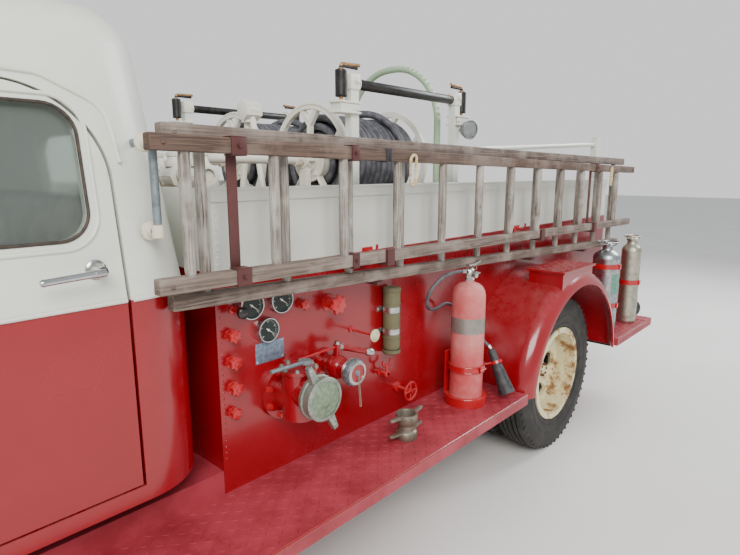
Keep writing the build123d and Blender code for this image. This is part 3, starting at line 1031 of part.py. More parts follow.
# Reel stands: a cross beam at each end with two bearing legs, and the front one's A-frame
STAND_PLATE = 30
STAND_FRONT_X = REEL_FRONT_X + 12
STAND_REAR_X = REEL_REAR_X - 12 - STAND_PLATE
BEAM_LOW = REEL_DECK_HEIGHT
BEAM_HIGH = REEL_DECK_HEIGHT + 50
HEX_BLOCK_Z = 1920
with BuildPart() as reel_stands:
    for stand_x in (STAND_REAR_X, STAND_FRONT_X):
        box_between((stand_x, stand_x + STAND_PLATE), (-WALL_INNER, WALL_INNER), (BEAM_LOW, BEAM_HIGH))
        for _, side in SIDES:
            box_between((stand_x, stand_x + STAND_PLATE), (side * REEL_Y - 22, side * REEL_Y + 22),
                        (BEAM_HIGH, REEL_HEIGHT))
            bar((stand_x, side * REEL_Y, REEL_HEIGHT), (stand_x + STAND_PLATE, side * REEL_Y, REEL_HEIGHT),
                BEARING_RADIUS)
            bar((stand_x - 1, side * REEL_Y, REEL_HEIGHT),
                (stand_x + STAND_PLATE + 1, side * REEL_Y, REEL_HEIGHT), REEL_SHAFT_RADIUS + FIT, mode=Mode.SUBTRACT)
    a_frame_x = STAND_FRONT_X + STAND_PLATE + 60
    for _, side in SIDES:
        bar((a_frame_x, side * 110, BEAM_LOW + 10), (a_frame_x, side * 16, HEX_BLOCK_Z - 30), 15)
        box_between((a_frame_x - 25, a_frame_x + 25), (side * 80, side * 140), (BEAM_LOW, BEAM_LOW + 20))
    bar((a_frame_x - 40, 0, HEX_BLOCK_Z), (a_frame_x + 40, 0, HEX_BLOCK_Z), 42)
    box_between((a_frame_x - 20, a_frame_x + 20), (-60, 60), (HEX_BLOCK_Z - 170, HEX_BLOCK_Z - 140))
write(reel_stands, "reel_stands")

# Manifold: the valves and pipes that feed the reels
MANIFOLD_X = BODY_FRONT_X - 180
MANIFOLD_Z = 1620
with BuildPart() as manifold:
    bar((MANIFOLD_X, -420, MANIFOLD_Z), (MANIFOLD_X, 420, MANIFOLD_Z), 24)
    for valve_y in (-380, -190, 40, 190, 380):
        bar((MANIFOLD_X, valve_y - 38, MANIFOLD_Z), (MANIFOLD_X, valve_y + 38, MANIFOLD_Z), 42)
        bar((MANIFOLD_X, valve_y, MANIFOLD_Z), (MANIFOLD_X, valve_y, MANIFOLD_Z + 90), 24)
    for foot_y in (-300, 300):
        bar((MANIFOLD_X, foot_y, REEL_DECK_HEIGHT), (MANIFOLD_X, foot_y, MANIFOLD_Z), 28)
write(manifold, "manifold")

# Guide rollers: a level one between each pair of posts, and an upright one outside each post
POST_FRONT_X = REAR_AXLE_X + 1400
POST_REAR_X = REAR_AXLE_X + 680
POST_SIZE = 44
GUIDE_RADIUS = 22
ROLLER_RADIUS = 18
GUIDE_LOW = 1925
GUIDE_HIGH = 2025
SHELF_Z = 1905
with BuildPart() as guide_rollers:
    for _, side in SIDES:
        bar((POST_REAR_X + POST_SIZE / 2, side * ROLLER_POST_Y, ROLLER_HEIGHT),
            (POST_FRONT_X - POST_SIZE / 2, side * ROLLER_POST_Y, ROLLER_HEIGHT), ROLLER_RADIUS)
        for post_x, outward in ((POST_FRONT_X, 1), (POST_REAR_X, -1)):
            guide_x = post_x + outward * 60
            bar((guide_x, side * ROLLER_POST_Y, SHELF_Z), (guide_x, side * ROLLER_POST_Y, GUIDE_HIGH + 15), 7)
            bar((guide_x, side * ROLLER_POST_Y, GUIDE_LOW), (guide_x, side * ROLLER_POST_Y, GUIDE_HIGH), GUIDE_RADIUS)
            bar((guide_x, side * ROLLER_POST_Y, GUIDE_HIGH + 15),
                (guide_x - outward * 90, side * ROLLER_POST_Y, GUIDE_HIGH + 15), 6)
write(guide_rollers, "guide_rollers")

# Hoop: a pale green tube behind the left reel
HOOP_X = REAR_AXLE_X + 640
HOOP_SPAN_Y = (-110, 510)
HOOP_TOP = 2180
HOOP_RADIUS = 17
HOOP_BEND = 290

# Body rails: the roller posts with their shelves, the rear corner posts and the handrails between them
POST_TOP = 1885
RAIL_RADIUS = 14
RAIL_FRONT_Z = 1743
RAIL_REAR_Z = 1835
with BuildPart() as body_rails:
    pipe(((HOOP_X, HOOP_SPAN_Y[0], REEL_DECK_HEIGHT), (HOOP_X, HOOP_SPAN_Y[0], HOOP_TOP),
          (HOOP_X, HOOP_SPAN_Y[1], HOOP_TOP), (HOOP_X, HOOP_SPAN_Y[1], REEL_DECK_HEIGHT)), HOOP_RADIUS, HOOP_BEND)
    for _, side in SIDES:
        post_y = side * ROLLER_POST_Y
        for post_x, outward in ((POST_FRONT_X, 1), (POST_REAR_X, -1)):
            box_between((post_x - POST_SIZE / 2, post_x + POST_SIZE / 2), (post_y - 18, post_y + 18),
                        (REEL_DECK_HEIGHT, ROLLER_HEIGHT + 30))
            box_between((post_x, post_x + outward * 90), (post_y - 28, post_y + 28), (SHELF_Z - 40, SHELF_Z))
        box_between((BODY_REAR_X, BODY_REAR_X + REAR_POST_SIZE),
                    (post_y - REAR_POST_HALF_WIDTH, post_y + REAR_POST_HALF_WIDTH), (HOSE_DECK_HEIGHT - DECK, POST_TOP))
        bar((BODY_REAR_X + REAR_POST_SIZE / 2, post_y, RAIL_REAR_Z), (POST_REAR_X, post_y, RAIL_FRONT_Z), RAIL_RADIUS)
write(body_rails, "body_rails")

# Ladders: two rails with round rungs, hung one outside the other on the left side
RAIL_THICKNESS = 38
RAIL_DEPTH = 44
RUNG_RADIUS = 16.5
OUTER_LADDER = {"y": 882, "front_x": REAR_AXLE_X + 2378, "rear_x": REAR_AXLE_X - 1265, "front_z": (1337, 1711),
                "rear_z": (1277, 1650), "first_rung_x": REAR_AXLE_X + 2280}
INNER_LADDER = {"y": 828, "front_x": REAR_AXLE_X + 2318, "rear_x": REAR_AXLE_X - 1200, "front_z": (1275, 1742),
                "rear_z": (1130, 1707), "first_rung_x": REAR_AXLE_X + 2200}


def ladder_height(ladder, rail, x):
    """The height of one rail's middle line at a station."""
    share = (x - ladder["rear_x"]) / (ladder["front_x"] - ladder["rear_x"])
    return ladder["rear_z"][rail] + share * (ladder["front_z"][rail] - ladder["rear_z"][rail])


with BuildPart() as ladders:
    for ladder in (OUTER_LADDER, INNER_LADDER):
        for rail in (0, 1):
            front_z = ladder["front_z"][rail]
            rear_z = ladder["rear_z"][rail]
            with BuildSketch(Plane(origin=(0, ladder["y"] - RAIL_THICKNESS / 2, 0), x_dir=(1, 0, 0),
                                   z_dir=(0, -1, 0))):
                with BuildLine():
                    Polyline((ladder["rear_x"], rear_z - RAIL_DEPTH / 2), (ladder["front_x"], front_z - RAIL_DEPTH / 2),
                             (ladder["front_x"], front_z + RAIL_DEPTH / 2), (ladder["rear_x"], rear_z + RAIL_DEPTH / 2),
                             close=True)
                make_face()
            extrude(amount=-RAIL_THICKNESS)
        for rung in range(LADDER_RUNGS):
            rung_x = ladder["first_rung_x"] - rung * LADDER_RUNG_STEP
            bar((rung_x, ladder["y"], ladder_height(ladder, 0, rung_x)),
                (rung_x, ladder["y"], ladder_height(ladder, 1, rung_x)), RUNG_RADIUS)
write(ladders, "ladders")

# Ladder brackets: arms from the body below both ladders, each with a stop at its end
ARM_X = (REAR_AXLE_X + 1470, REAR_AXLE_X + 190, REAR_AXLE_X - 560)
ARM_WIDTH = 40
ARM_THICKNESS = 12
with BuildPart() as ladder_brackets:
    for arm_x in ARM_X:
        for ladder, arm_slack in ((INNER_LADDER, 1.1), (OUTER_LADDER, 0.7)):
            arm_top = ladder_height(ladder, 0, arm_x) - RAIL_DEPTH / 2 - arm_slack
            box_between((arm_x - ARM_WIDTH / 2, arm_x + ARM_WIDTH / 2), (BODY_HALF_WIDTH, ladder["y"] + 32),
                        (arm_top - ARM_THICKNESS, arm_top))
        box_between((arm_x - ARM_WIDTH / 2, arm_x + ARM_WIDTH / 2), (OUTER_LADDER["y"] + 20, OUTER_LADDER["y"] + 32),
                    (arm_top, arm_top + 50))
write(ladder_brackets, "ladder_brackets")

# Pump fittings on the left side, and the like on the right: an upright suction chamber behind a capped
# inlet, and a discharge valve with its lever
FLANGE_X = REAR_AXLE_X + 1857
FLANGE_Z = 852
FLANGE_RADIUS = 100
FLANGE_DEPTH = 22
CHAMBER_Y = 820
CHAMBER_RADIUS = 62
CHAMBER_SPAN_Z = (783, 952)
CHAMBER_LID = 12
LID_RADIUS = 70
INLET_Z = 880
INLET_X = REAR_AXLE_X + 1854
INLET_RADIUS = 60
INLET_FACE_Y = 906
CAP_RADIUS = 72.5
CAP_DEPTH = 46
CAP_BAR_LENGTH = 277
CAP_BAR_LEAN = 25
WRENCH_Z = 993
WRENCH_FOOT_Z = WRENCH_Z - 7
OUTLET_X = REAR_AXLE_X + 1650
OUTLET_Z = 905
OUTLET_BALL_Y = 800
OUTLET_BALL_RADIUS = 47
OUTLET_END_Y = 864
LEVER_ROOT_Z = 982
with BuildPart() as pump_fittings:
    for _, side in SIDES:
        face = side * BODY_HALF_WIDTH
        bar((FLANGE_X, face, FLANGE_Z), (FLANGE_X, face + side * FLANGE_DEPTH, FLANGE_Z), FLANGE_RADIUS)
        bar((FLANGE_X, face + side * FLANGE_DEPTH, FLANGE_Z), (FLANGE_X, side * CHAMBER_Y, FLANGE_Z), CHAMBER_RADIUS)
        bar((FLANGE_X, side * CHAMBER_Y, CHAMBER_SPAN_Z[0]), (FLANGE_X, side * CHAMBER_Y, CHAMBER_SPAN_Z[1]),
            CHAMBER_RADIUS)
        bar((FLANGE_X, side * CHAMBER_Y, CHAMBER_SPAN_Z[1]),
            (FLANGE_X, side * CHAMBER_Y, CHAMBER_SPAN_Z[1] + CHAMBER_LID), LID_RADIUS)
        bar((FLANGE_X, side * (CHAMBER_Y + 40), CHAMBER_SPAN_Z[1]),
            (FLANGE_X, side * (CHAMBER_Y + 40), WRENCH_FOOT_Z - FIT), 9)
        bar((INLET_X, side * CHAMBER_Y, INLET_Z), (INLET_X, side * INLET_FACE_Y, INLET_Z), INLET_RADIUS)
        bar((OUTLET_X, face, OUTLET_Z), (OUTLET_X, face + side * 14, OUTLET_Z), 58)
        bar((OUTLET_X, face + side * 14, OUTLET_Z), (OUTLET_X, side * OUTLET_END_Y, OUTLET_Z), 36)
        with Locations((OUTLET_X, side * OUTLET_BALL_Y, OUTLET_Z)):
            Sphere(OUTLET_BALL_RADIUS)
        bar((OUTLET_X, side * OUTLET_END_Y, OUTLET_Z), (OUTLET_X, side * (OUTLET_END_Y + 42), OUTLET_Z), 45)
        bar((OUTLET_X, side * OUTLET_BALL_Y, OUTLET_Z), (OUTLET_X, side * OUTLET_BALL_Y, LEVER_ROOT_Z + 14), 15)
        bar((OUTLET_X - 8, side * OUTLET_BALL_Y, LEVER_ROOT_Z), (OUTLET_X - 130, side * 860, LEVER_ROOT_Z - 39), 11)
write(pump_fittings, "pump_fittings")

# Suction caps: each with a lugged bar across it, and a wrench on the left chamber
with BuildPart() as suction_caps:
    for _, side in SIDES:
        bar((INLET_X, side * INLET_FACE_Y, INLET_Z), (INLET_X, side * (INLET_FACE_Y + CAP_DEPTH), INLET_Z), CAP_RADIUS)
        with BuildSketch(side_plane(INLET_X, side * (INLET_FACE_Y + CAP_DEPTH - 24), INLET_Z)) as cap_bar:
            Rectangle(20, CAP_BAR_LENGTH, rotation=CAP_BAR_LEAN)
        extrude(cap_bar.sketch, amount=side * 16)
        bar((FLANGE_X, side * (CHAMBER_Y + 40), WRENCH_FOOT_Z), (FLANGE_X, side * (CHAMBER_Y + 40), WRENCH_Z + 8), 18)
        bar((FLANGE_X, side * (CHAMBER_Y + 40), WRENCH_Z), (FLANGE_X + 150, side * (CHAMBER_Y + 40), WRENCH_Z + 3), 7)
write(suction_caps, "suction_caps")

# Each row: how far ahead of the rear axle, height, radius and how far it stands out
PANEL_ITEMS = (
    {"ahead": 1991, "z": 1196, "radius": 48, "reach": 24},
    {"ahead": 1865, "z": 1195, "radius": 48, "reach": 24},
    {"ahead": 1927, "z": 1099, "radius": 44, "reach": 24},
    {"ahead": 2058, "z": 1190, "radius": 18, "reach": 60},
    {"ahead": 2065, "z": 1107, "radius": 22, "reach": 30},
    {"ahead": 2066, "z": 1015, "radius": 22, "reach": 30},
    {"ahead": 2065, "z": 924, "radius": 22, "reach": 30},
    {"ahead": 2069, "z": 837, "radius": 18, "reach": 26},
    {"ahead": 1759, "z": 1159, "radius": 18, "reach": 26},
    {"ahead": 1621, "z": 1139, "radius": 36, "reach": 60},
    {"ahead": 1500, "z": 1006, "radius": 19, "reach": 140},
    {"ahead": 1211, "z": 674, "radius": 38, "reach": 90},
)
KNOB_DEPTH = 16
STEM_RADIUS = 7
with BuildPart() as panel_controls:
    for item in PANEL_ITEMS:
        item_x = REAR_AXLE_X + item["ahead"]
        item_face = BODY_HALF_WIDTH + item["reach"]
        bar((item_x, BODY_HALF_WIDTH, item["z"]), (item_x, item_face, item["z"]), STEM_RADIUS)
        bar((item_x, item_face - KNOB_DEPTH, item["z"]), (item_x, item_face, item["z"]), item["radius"])
write(panel_controls, "panel_controls")

# Olive tube with a rounded foot, upright on the panel
TUBE_X = REAR_AXLE_X + 1291
TUBE_RADIUS = 37
TUBE_TOP = 1150
with BuildPart() as panel_tube:
    bar((TUBE_X, BODY_HALF_WIDTH + TUBE_RADIUS, 868), (TUBE_X, BODY_HALF_WIDTH + TUBE_RADIUS, TUBE_TOP), TUBE_RADIUS)
    fillet(edges().group_by(Axis.Z)[0], 30)
write(panel_tube, "panel_tube")

# Hose adapter that stands on the board
ADAPTER_X = REAR_AXLE_X + 1380
ADAPTER_Y = 925
with BuildPart() as hose_adapter:
    for low, high, radius in ((0, 42, 40), (42, 62, 32), (62, 108, 40)):
        bar((ADAPTER_X, ADAPTER_Y, BOARD_HEIGHT + low), (ADAPTER_X, ADAPTER_Y, BOARD_HEIGHT + high), radius)
    bar((ADAPTER_X, ADAPTER_Y, BOARD_HEIGHT + 20), (ADAPTER_X, ADAPTER_Y, BOARD_HEIGHT + 112), 29, mode=Mode.SUBTRACT)
    for lug_z in (22, 84):
        for end in (-1, 1):
            bar((ADAPTER_X + end * 36, ADAPTER_Y, BOARD_HEIGHT + lug_z), (ADAPTER_X + end * 105, ADAPTER_Y, BOARD_HEIGHT + lug_z), 8)
write(hose_adapter, "hose_adapter")

# Extinguisher on the left board: bottle, valve with its two levers, and the horn beside it
BOTTLE_X = REAR_AXLE_X + 900
BOTTLE_Y = 900
BOTTLE_FOOT = BOARD_HEIGHT + 12
BOTTLE_SHOULDER = 1125
VALVE_SPAN_Z = (1150, 1206)
VALVE_RADIUS = 23
HORN_TOP = Vector(REAR_AXLE_X + 731.2, 931.7, 776.9)
HORN_MOUTH = Vector(REAR_AXLE_X + 742, 1036, 584)
HORN_TOP_RADIUS = 18.5
HORN_MOUTH_RADIUS = 38.5
HORN_WALL = 3
HOSE_RADIUS = 8
HOSE_EXIT_GAP = Vector(1.3, 0, 0)
horn_run = HORN_MOUTH - HORN_TOP
horn_way = horn_run.normalized()

# The extinguisher's hose: each corner as ahead of the bottle's axis, out from it, and height
HOSE_POINTS = [Vector(BOTTLE_X + ahead, BOTTLE_Y + out, height) for ahead, out, height in (
    (27, -5, 1190), (124, -24, 1203), (220, -62, 1130), (205, -95, 1040), (108, -117, 1000), (0, -120, 1030),
    (-82, -100, 960), (-135, -45, 868), (-169, 30, 780))]


def horn_cone(top_radius, mouth_radius, start, length, mode=Mode.ADD):
    """A round cone along the horn's axis, from a distance below its top."""
    with Locations(Plane(origin=HORN_TOP + horn_way * start, z_dir=horn_way).location):
        Cone(top_radius, mouth_radius, length, align=(Align.CENTER, Align.CENTER, Align.MIN), mode=mode)


with BuildPart() as extinguisher:
    bar((BOTTLE_X, BOTTLE_Y, BOTTLE_FOOT), (BOTTLE_X, BOTTLE_Y, BOTTLE_SHOULDER), EXTINGUISHER_RADIUS)
    fillet(edges().group_by(Axis.Z)[-1], 62)
    fillet(edges().group_by(Axis.Z)[0], 12)
    bar((BOTTLE_X, BOTTLE_Y, BOTTLE_SHOULDER - 10), (BOTTLE_X, BOTTLE_Y, VALVE_SPAN_Z[0]), 17)
    bar((BOTTLE_X, BOTTLE_Y, VALVE_SPAN_Z[0]), (BOTTLE_X, BOTTLE_Y, VALVE_SPAN_Z[1]), VALVE_RADIUS)
    bar((BOTTLE_X, BOTTLE_Y, HOSE_POINTS[0].Z), tuple(HOSE_POINTS[0] - HOSE_EXIT_GAP), 13)
    for lever_z, reach in ((1168, 60), (1214, 68)):
        box_between((BOTTLE_X - reach, BOTTLE_X + 20), (BOTTLE_Y - 11, BOTTLE_Y + 11), (lever_z, lever_z + 8))
    box_between((BOTTLE_X - 10, BOTTLE_X + 20), (BOTTLE_Y - 9, BOTTLE_Y + 9), (VALVE_SPAN_Z[1] - 2, 1222))
    horn_cone(HORN_TOP_RADIUS, HORN_MOUTH_RADIUS, 0, horn_run.length)
    horn_cone(HORN_TOP_RADIUS - HORN_WALL + 6, HORN_MOUTH_RADIUS - HORN_WALL, 60, horn_run.length - 59, mode=Mode.SUBTRACT)
write(extinguisher, "extinguisher")

# Its hose: straight runs joined by arcs as large as they allow
hose_radii = []
for before, corner, after in zip(HOSE_POINTS, HOSE_POINTS[1:], HOSE_POINTS[2:]):
    half_turn = radians((corner - before).get_angle(after - corner)) / 2
    hose_radii.append(0.45 * min((corner - before).length, (after - corner).length) / tan(half_turn))
with BuildLine() as hose_route:
    FilletPolyline(*HOSE_POINTS, radius=hose_radii)
with BuildPart() as extinguisher_hose:
    with BuildSketch(Plane(origin=HOSE_POINTS[0], z_dir=HOSE_POINTS[1] - HOSE_POINTS[0])) as hose_section:
        Circle(HOSE_RADIUS)
    sweep(hose_section.sketch, path=hose_route.line)
hose_length = sum(edge.length for edge in hose_route.edges())
print("hose radii", [round(radius) for radius in hose_radii], "length", round(hose_length), "volume share",
      round(extinguisher_hose.part.volume / (pi * HOSE_RADIUS ** 2 * hose_length), 4))
write(extinguisher_hose, "extinguisher_hose")

# Its bracket: a cup, a back plate, a clamp band, and a ring that holds the horn
CUP_RADIUS = EXTINGUISHER_RADIUS + 22
CLAMP_SPAN_Z = (722, 748)
RING_START = 56
RING_LENGTH = 14
ring_middle = HORN_TOP + horn_way * (RING_START + RING_LENGTH / 2)
ring_radius = HORN_TOP_RADIUS + (HORN_MOUTH_RADIUS - HORN_TOP_RADIUS) * RING_START / horn_run.length
with BuildPart() as extinguisher_bracket:
    bar((BOTTLE_X, BOTTLE_Y, BOARD_HEIGHT), (BOTTLE_X, BOTTLE_Y, BOARD_HEIGHT + 42), CUP_RADIUS)
    bar((BOTTLE_X, BOTTLE_Y, CLAMP_SPAN_Z[0]), (BOTTLE_X, BOTTLE_Y, CLAMP_SPAN_Z[1]), EXTINGUISHER_RADIUS + 8)
    box_between((BOTTLE_X + 5, BOTTLE_X + 55), (BOTTLE_Y - EXTINGUISHER_RADIUS - 10, BOTTLE_Y - EXTINGUISHER_RADIUS - 2),
                (BOARD_HEIGHT, 800))
    to_ring = Vector(ring_middle.X - BOTTLE_X, ring_middle.Y - BOTTLE_Y, 0).normalized()
    arm_start = Vector(BOTTLE_X, BOTTLE_Y, ring_middle.Z) + to_ring * EXTINGUISHER_RADIUS
    bar(tuple(arm_start), tuple(ring_middle), 5)
    horn_cone(ring_radius + 9, ring_radius + 10, RING_START, RING_LENGTH)
    bar((BOTTLE_X, BOTTLE_Y, BOTTLE_FOOT), (BOTTLE_X, BOTTLE_Y, 900), EXTINGUISHER_RADIUS + FIT, mode=Mode.SUBTRACT)
    horn_cone(HORN_TOP_RADIUS + FIT, HORN_MOUTH_RADIUS + FIT, 0, horn_run.length, mode=Mode.SUBTRACT)
write(extinguisher_bracket, "extinguisher_bracket")

# Two tall bottles on the rear of the left board.
# Each row: how far behind the rear axle, how far out, radius, shoulder and top
REAR_BOTTLES = (
    {"behind": 820, "y": 910, "radius": 88, "shoulder": 1082, "top": 1170},
    {"behind": 1120, "y": 975, "radius": 66, "shoulder": 1105, "top": 1190},
)
COLLAR_RADIUS = 44
BOTTLE_CURVE = 38
with BuildPart() as rear_extinguishers:
    for bottle in REAR_BOTTLES:
        foot = (REAR_AXLE_X - bottle["behind"], bottle["y"], BOARD_HEIGHT)
        bar(foot, (foot[0], foot[1], bottle["shoulder"]), bottle["radius"])
        fillet(edges(Select.LAST).group_by(Axis.Z)[-1], BOTTLE_CURVE)
        bar((foot[0], foot[1], bottle["shoulder"] - 8), (foot[0], foot[1], bottle["top"]), 34)
        bar((foot[0], foot[1], bottle["top"] - 28), (foot[0], foot[1], bottle["top"]), COLLAR_RADIUS)
write(rear_extinguishers, "rear_extinguishers")

# Grab handles on the rear corners of the cab
HANDLE_X = DOOR_REAR_X - 74
HANDLE_Y = 848
HANDLE_LOW = 1480
HANDLE_HIGH = 1712
HANDLE_RADIUS = 11
with BuildPart() as grab_handles:
    for _, side in SIDES:
        handle_y = side * HANDLE_Y
        pipe(((HANDLE_X, side * (CAB_HALF_WIDTH - 70), HANDLE_LOW), (HANDLE_X, handle_y, HANDLE_LOW),
              (HANDLE_X, handle_y, HANDLE_HIGH), (HANDLE_X, side * (CAB_HALF_WIDTH - 110), HANDLE_HIGH)),
             HANDLE_RADIUS, 13)
    add(cab_outer.part, mode=Mode.SUBTRACT)
write(grab_handles, "grab_handles")
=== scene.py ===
import json
import math
import random
from functools import partial

import bmesh
import bpy
from bpy.props import FloatProperty, FloatVectorProperty, IntProperty, PointerProperty
from mathutils import Matrix, Vector


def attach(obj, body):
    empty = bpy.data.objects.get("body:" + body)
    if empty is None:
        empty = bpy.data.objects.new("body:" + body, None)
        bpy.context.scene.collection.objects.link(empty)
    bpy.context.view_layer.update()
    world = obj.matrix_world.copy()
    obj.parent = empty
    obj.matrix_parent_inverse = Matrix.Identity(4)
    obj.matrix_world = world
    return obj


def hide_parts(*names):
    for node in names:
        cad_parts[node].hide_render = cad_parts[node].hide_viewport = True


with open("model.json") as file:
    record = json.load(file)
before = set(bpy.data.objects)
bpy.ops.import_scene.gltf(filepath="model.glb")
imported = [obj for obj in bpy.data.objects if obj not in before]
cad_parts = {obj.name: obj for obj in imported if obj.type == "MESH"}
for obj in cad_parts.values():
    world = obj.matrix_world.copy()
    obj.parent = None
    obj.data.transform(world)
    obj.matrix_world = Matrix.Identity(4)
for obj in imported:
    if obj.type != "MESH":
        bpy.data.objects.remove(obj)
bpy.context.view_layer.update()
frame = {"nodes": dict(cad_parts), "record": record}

bl_info = {
    "name": "Fire Engine",
    "version": (1, 0, 0),
    "blender": (4, 5, 0),
    "location": "3D View > Sidebar > Fire Engine",
    "description": "Dresses an old pumper with its paint, fittings, ladders, reels and tyres",
    "category": "Object",
}

MM = 0.001
SIDES = (("left", 1), ("right", -1))

# Stations and sizes of the vehicle, in metres, in the frame's own axes
REAR_AXLE_X = -1.7625
FRONT_AXLE_X = 2.2975
AXLE_HEIGHT = 0.460
BODY_REAR_X = -2.9825
BODY_FRONT_X = 0.3535
BODY_HALF_WIDTH = 0.727
BODY_RIM_HEIGHT = 1.584
BOARD_HEIGHT = 0.555
CAB_FRONT_X = 1.5885
CAB_HALF_WIDTH = 0.820
CAB_BELT_HEIGHT = 1.302
# From the belt to the roof the cab narrows and its front leans back by these amounts
CAB_ROOF_RISE = 0.778
CAB_NARROWING = 0.120
ROOF_LEAN = 0.280
PILLAR_X = 1.5085
PILLAR_FOOT = 1.342
DOOR_REAR_X = 0.6575
WINDOW_CORNER = 0.075


def linear(colour):
    """An sRGB hex colour as linear red, green, blue and alpha, or a colour that is linear already."""
    if not isinstance(colour, str):
        return colour
    channels = [int(colour[i:i + 2], 16) / 255 for i in (1, 3, 5)]
    return tuple(c / 12.92 if c <= 0.04045 else ((c + 0.055) / 1.055) ** 2.4 for c in channels) + (1.0,)


# Finishes
def add_node(tree, kind, inputs=None, out=0, **settings):
    """Adds a node with its settings, fills or links its inputs, and gives back one of its outputs."""
    made = tree.nodes.new("ShaderNode" + kind)
    for name, value in settings.items():
        setattr(made, name, value)
    for socket, value in (inputs or {}).items():
        if isinstance(value, bpy.types.NodeSocket):
            tree.links.new(value, made.inputs[socket])
        else:
            made.inputs[socket].default_value = linear(value)
    return made.outputs[out] if len(made.outputs) else made


def new_finish(name, recipe):
    """A material whose recipe says, from its place in metres, what goes into each of the shader's sockets."""
    material = bpy.data.materials.new(name)
    material.use_nodes = True
    material.node_tree.nodes.clear()
    node = partial(add_node, material.node_tree)
    shader = node("BsdfPrincipled", recipe(node, node("TexCoord", out="Object")))
    node("OutputMaterial", {"Surface": shader})
    return material


SOFT = {"interpolation_type": "SMOOTHSTEP"}
MIX = {"data_type": "RGBA"}
TIMES = {"operation": "MULTIPLY"}
PLUS = {"operation": "ADD", "use_clamp": True}
LESS = {"operation": "SUBTRACT", "use_clamp": True}


def cloud(node, place, size_mm, detail=4.0, rough=0.55, stretch=(1, 1, 1), distortion=0.0):
    """Cloudy noise whose patches are about size_mm wide, drawn out along the axes by stretch."""
    scaled = node("Mapping", {"Vector": place, "Scale": tuple(1 / s for s in stretch)})
    return node("TexNoise", {"Vector": scaled, "Scale": 1 / (size_mm * MM), "Detail": detail,
            "Roughness": rough, "Distortion": distortion})


def worn_edges(node, radius_mm, amount=1.0):
    """As much as amount along sharp outer edges, and nothing on flat faces."""
    dot = node("VectorMath", {0: node("Bevel", {"Radius": radius_mm * MM}, samples=4),
            1: node("NewGeometry", out="Normal")}, "Value", operation="DOT_PRODUCT")
    return node("MapRange", {0: dot, 1: 0.97, 2: 0.80, 4: amount}, **SOFT)


def facing_up(node, amount):
    """As much as amount on faces that look up, where dust and rain lie."""
    height = node("SeparateXYZ", {0: node("NewGeometry", out="Normal")}, "Z")
    return node("MapRange", {0: height, 1: 0.35, 2: 0.95, 4: amount}, **SOFT)


def raised(node, pattern, depth_mm):
    """The normal of a surface that a pattern raises by a real depth."""
    return node("Bump", {"Height": pattern, "Strength": 1.0, "Distance": depth_mm * MM})


def bare_spots(node, place, mottle, spots, low, high, amount):
    """Where paint has gone from edges and in pits."""
    edge = node("Math", {0: worn_edges(node, 4), 1: node("MapRange", {0: mottle, 1: 0.50, 2: 0.60}, **SOFT)},
            **TIMES)
    pits = node("Math", {0: node("MapRange", {0: cloud(node, place, 9, 5, 0.7), 1: 0.70, 2: 0.74}, **SOFT),
            1: node("MapRange", {0: spots, 1: low, 2: high}, **SOFT)}, **TIMES)
    return node("Math", {0: node("Math", {0: edge, 1: pits}, **PLUS), 1: amount}, **TIMES)


def aged_paint(name, colour, faded, under, fade=0.5, streaks=0.3, chips=0.3, gloss=0.28, dust=0.3, coat=0.3,
        dust_colour="#A89A8C"):
    """Old enamel over steel: it chalks on top, chips to its under colour at edges and carries rust runs."""
    def recipe(node, place):
        mottle = cloud(node, place, 38, 6, 0.65)
        spots = cloud(node, place, 150, 4, 0.6)
        chalk = node("Math", {0: node("MapRange", {0: cloud(node, place, 420, 5, 0.6), 1: 0.38, 2: 0.72,
                4: fade}, **SOFT), 1: node("MapRange", {0: mottle, 1: 0.45, 2: 0.75, 4: fade * 0.35}, **SOFT)},
                **PLUS)
        paint = node("Mix", {0: chalk, 6: colour, 7: faded}, 2, **MIX)
        runs = node("MapRange", {0: cloud(node, place, 26, 5, 0.6, (1, 1, 14)), 1: 0.62, 2: 0.74, 4: streaks},
                **SOFT)
        runs = node("Math", {0: runs, 1: node("MapRange", {0: spots, 1: 0.50, 2: 0.66}, **SOFT)}, **TIMES)
        paint = node("Mix", {0: runs, 6: paint, 7: "#8A4A22"}, 2, **MIX)
        bare = bare_spots(node, place, mottle, spots, 0.48, 0.60, chips)
        paint = node("Mix", {0: bare, 6: paint, 7: under}, 2, **MIX)
        settled = node("Math", {0: facing_up(node, dust),
                1: node("MapRange", {0: mottle, 1: 0.30, 2: 0.62}, **SOFT)}, **TIMES)
        paint = node("Mix", {0: settled, 6: paint, 7: dust_colour}, 2, **MIX)
        rough = node("Math", {0: node("MapRange", {0: chalk, 3: gloss, 4: gloss + 0.22}),
                1: node("Math", {0: settled, 1: 0.45}, **TIMES)}, **PLUS)
        rough = node("Math", {0: rough, 1: node("Math", {0: bare, 1: 0.4}, **TIMES)}, **PLUS)
        relief = node("Math", {0: node("Math", {0: cloud(node, place, 3.5, 3), 1: 0.25}, **TIMES),
                1: node("Math", {0: bare, 1: 0.6}, **TIMES)}, **LESS)
        return {"Base Color": paint, "Roughness": rough, "Coat Weight": coat, "Coat Roughness": 0.12,
                "Normal": raised(node, relief, 0.35)}
    return new_finish(name, recipe)


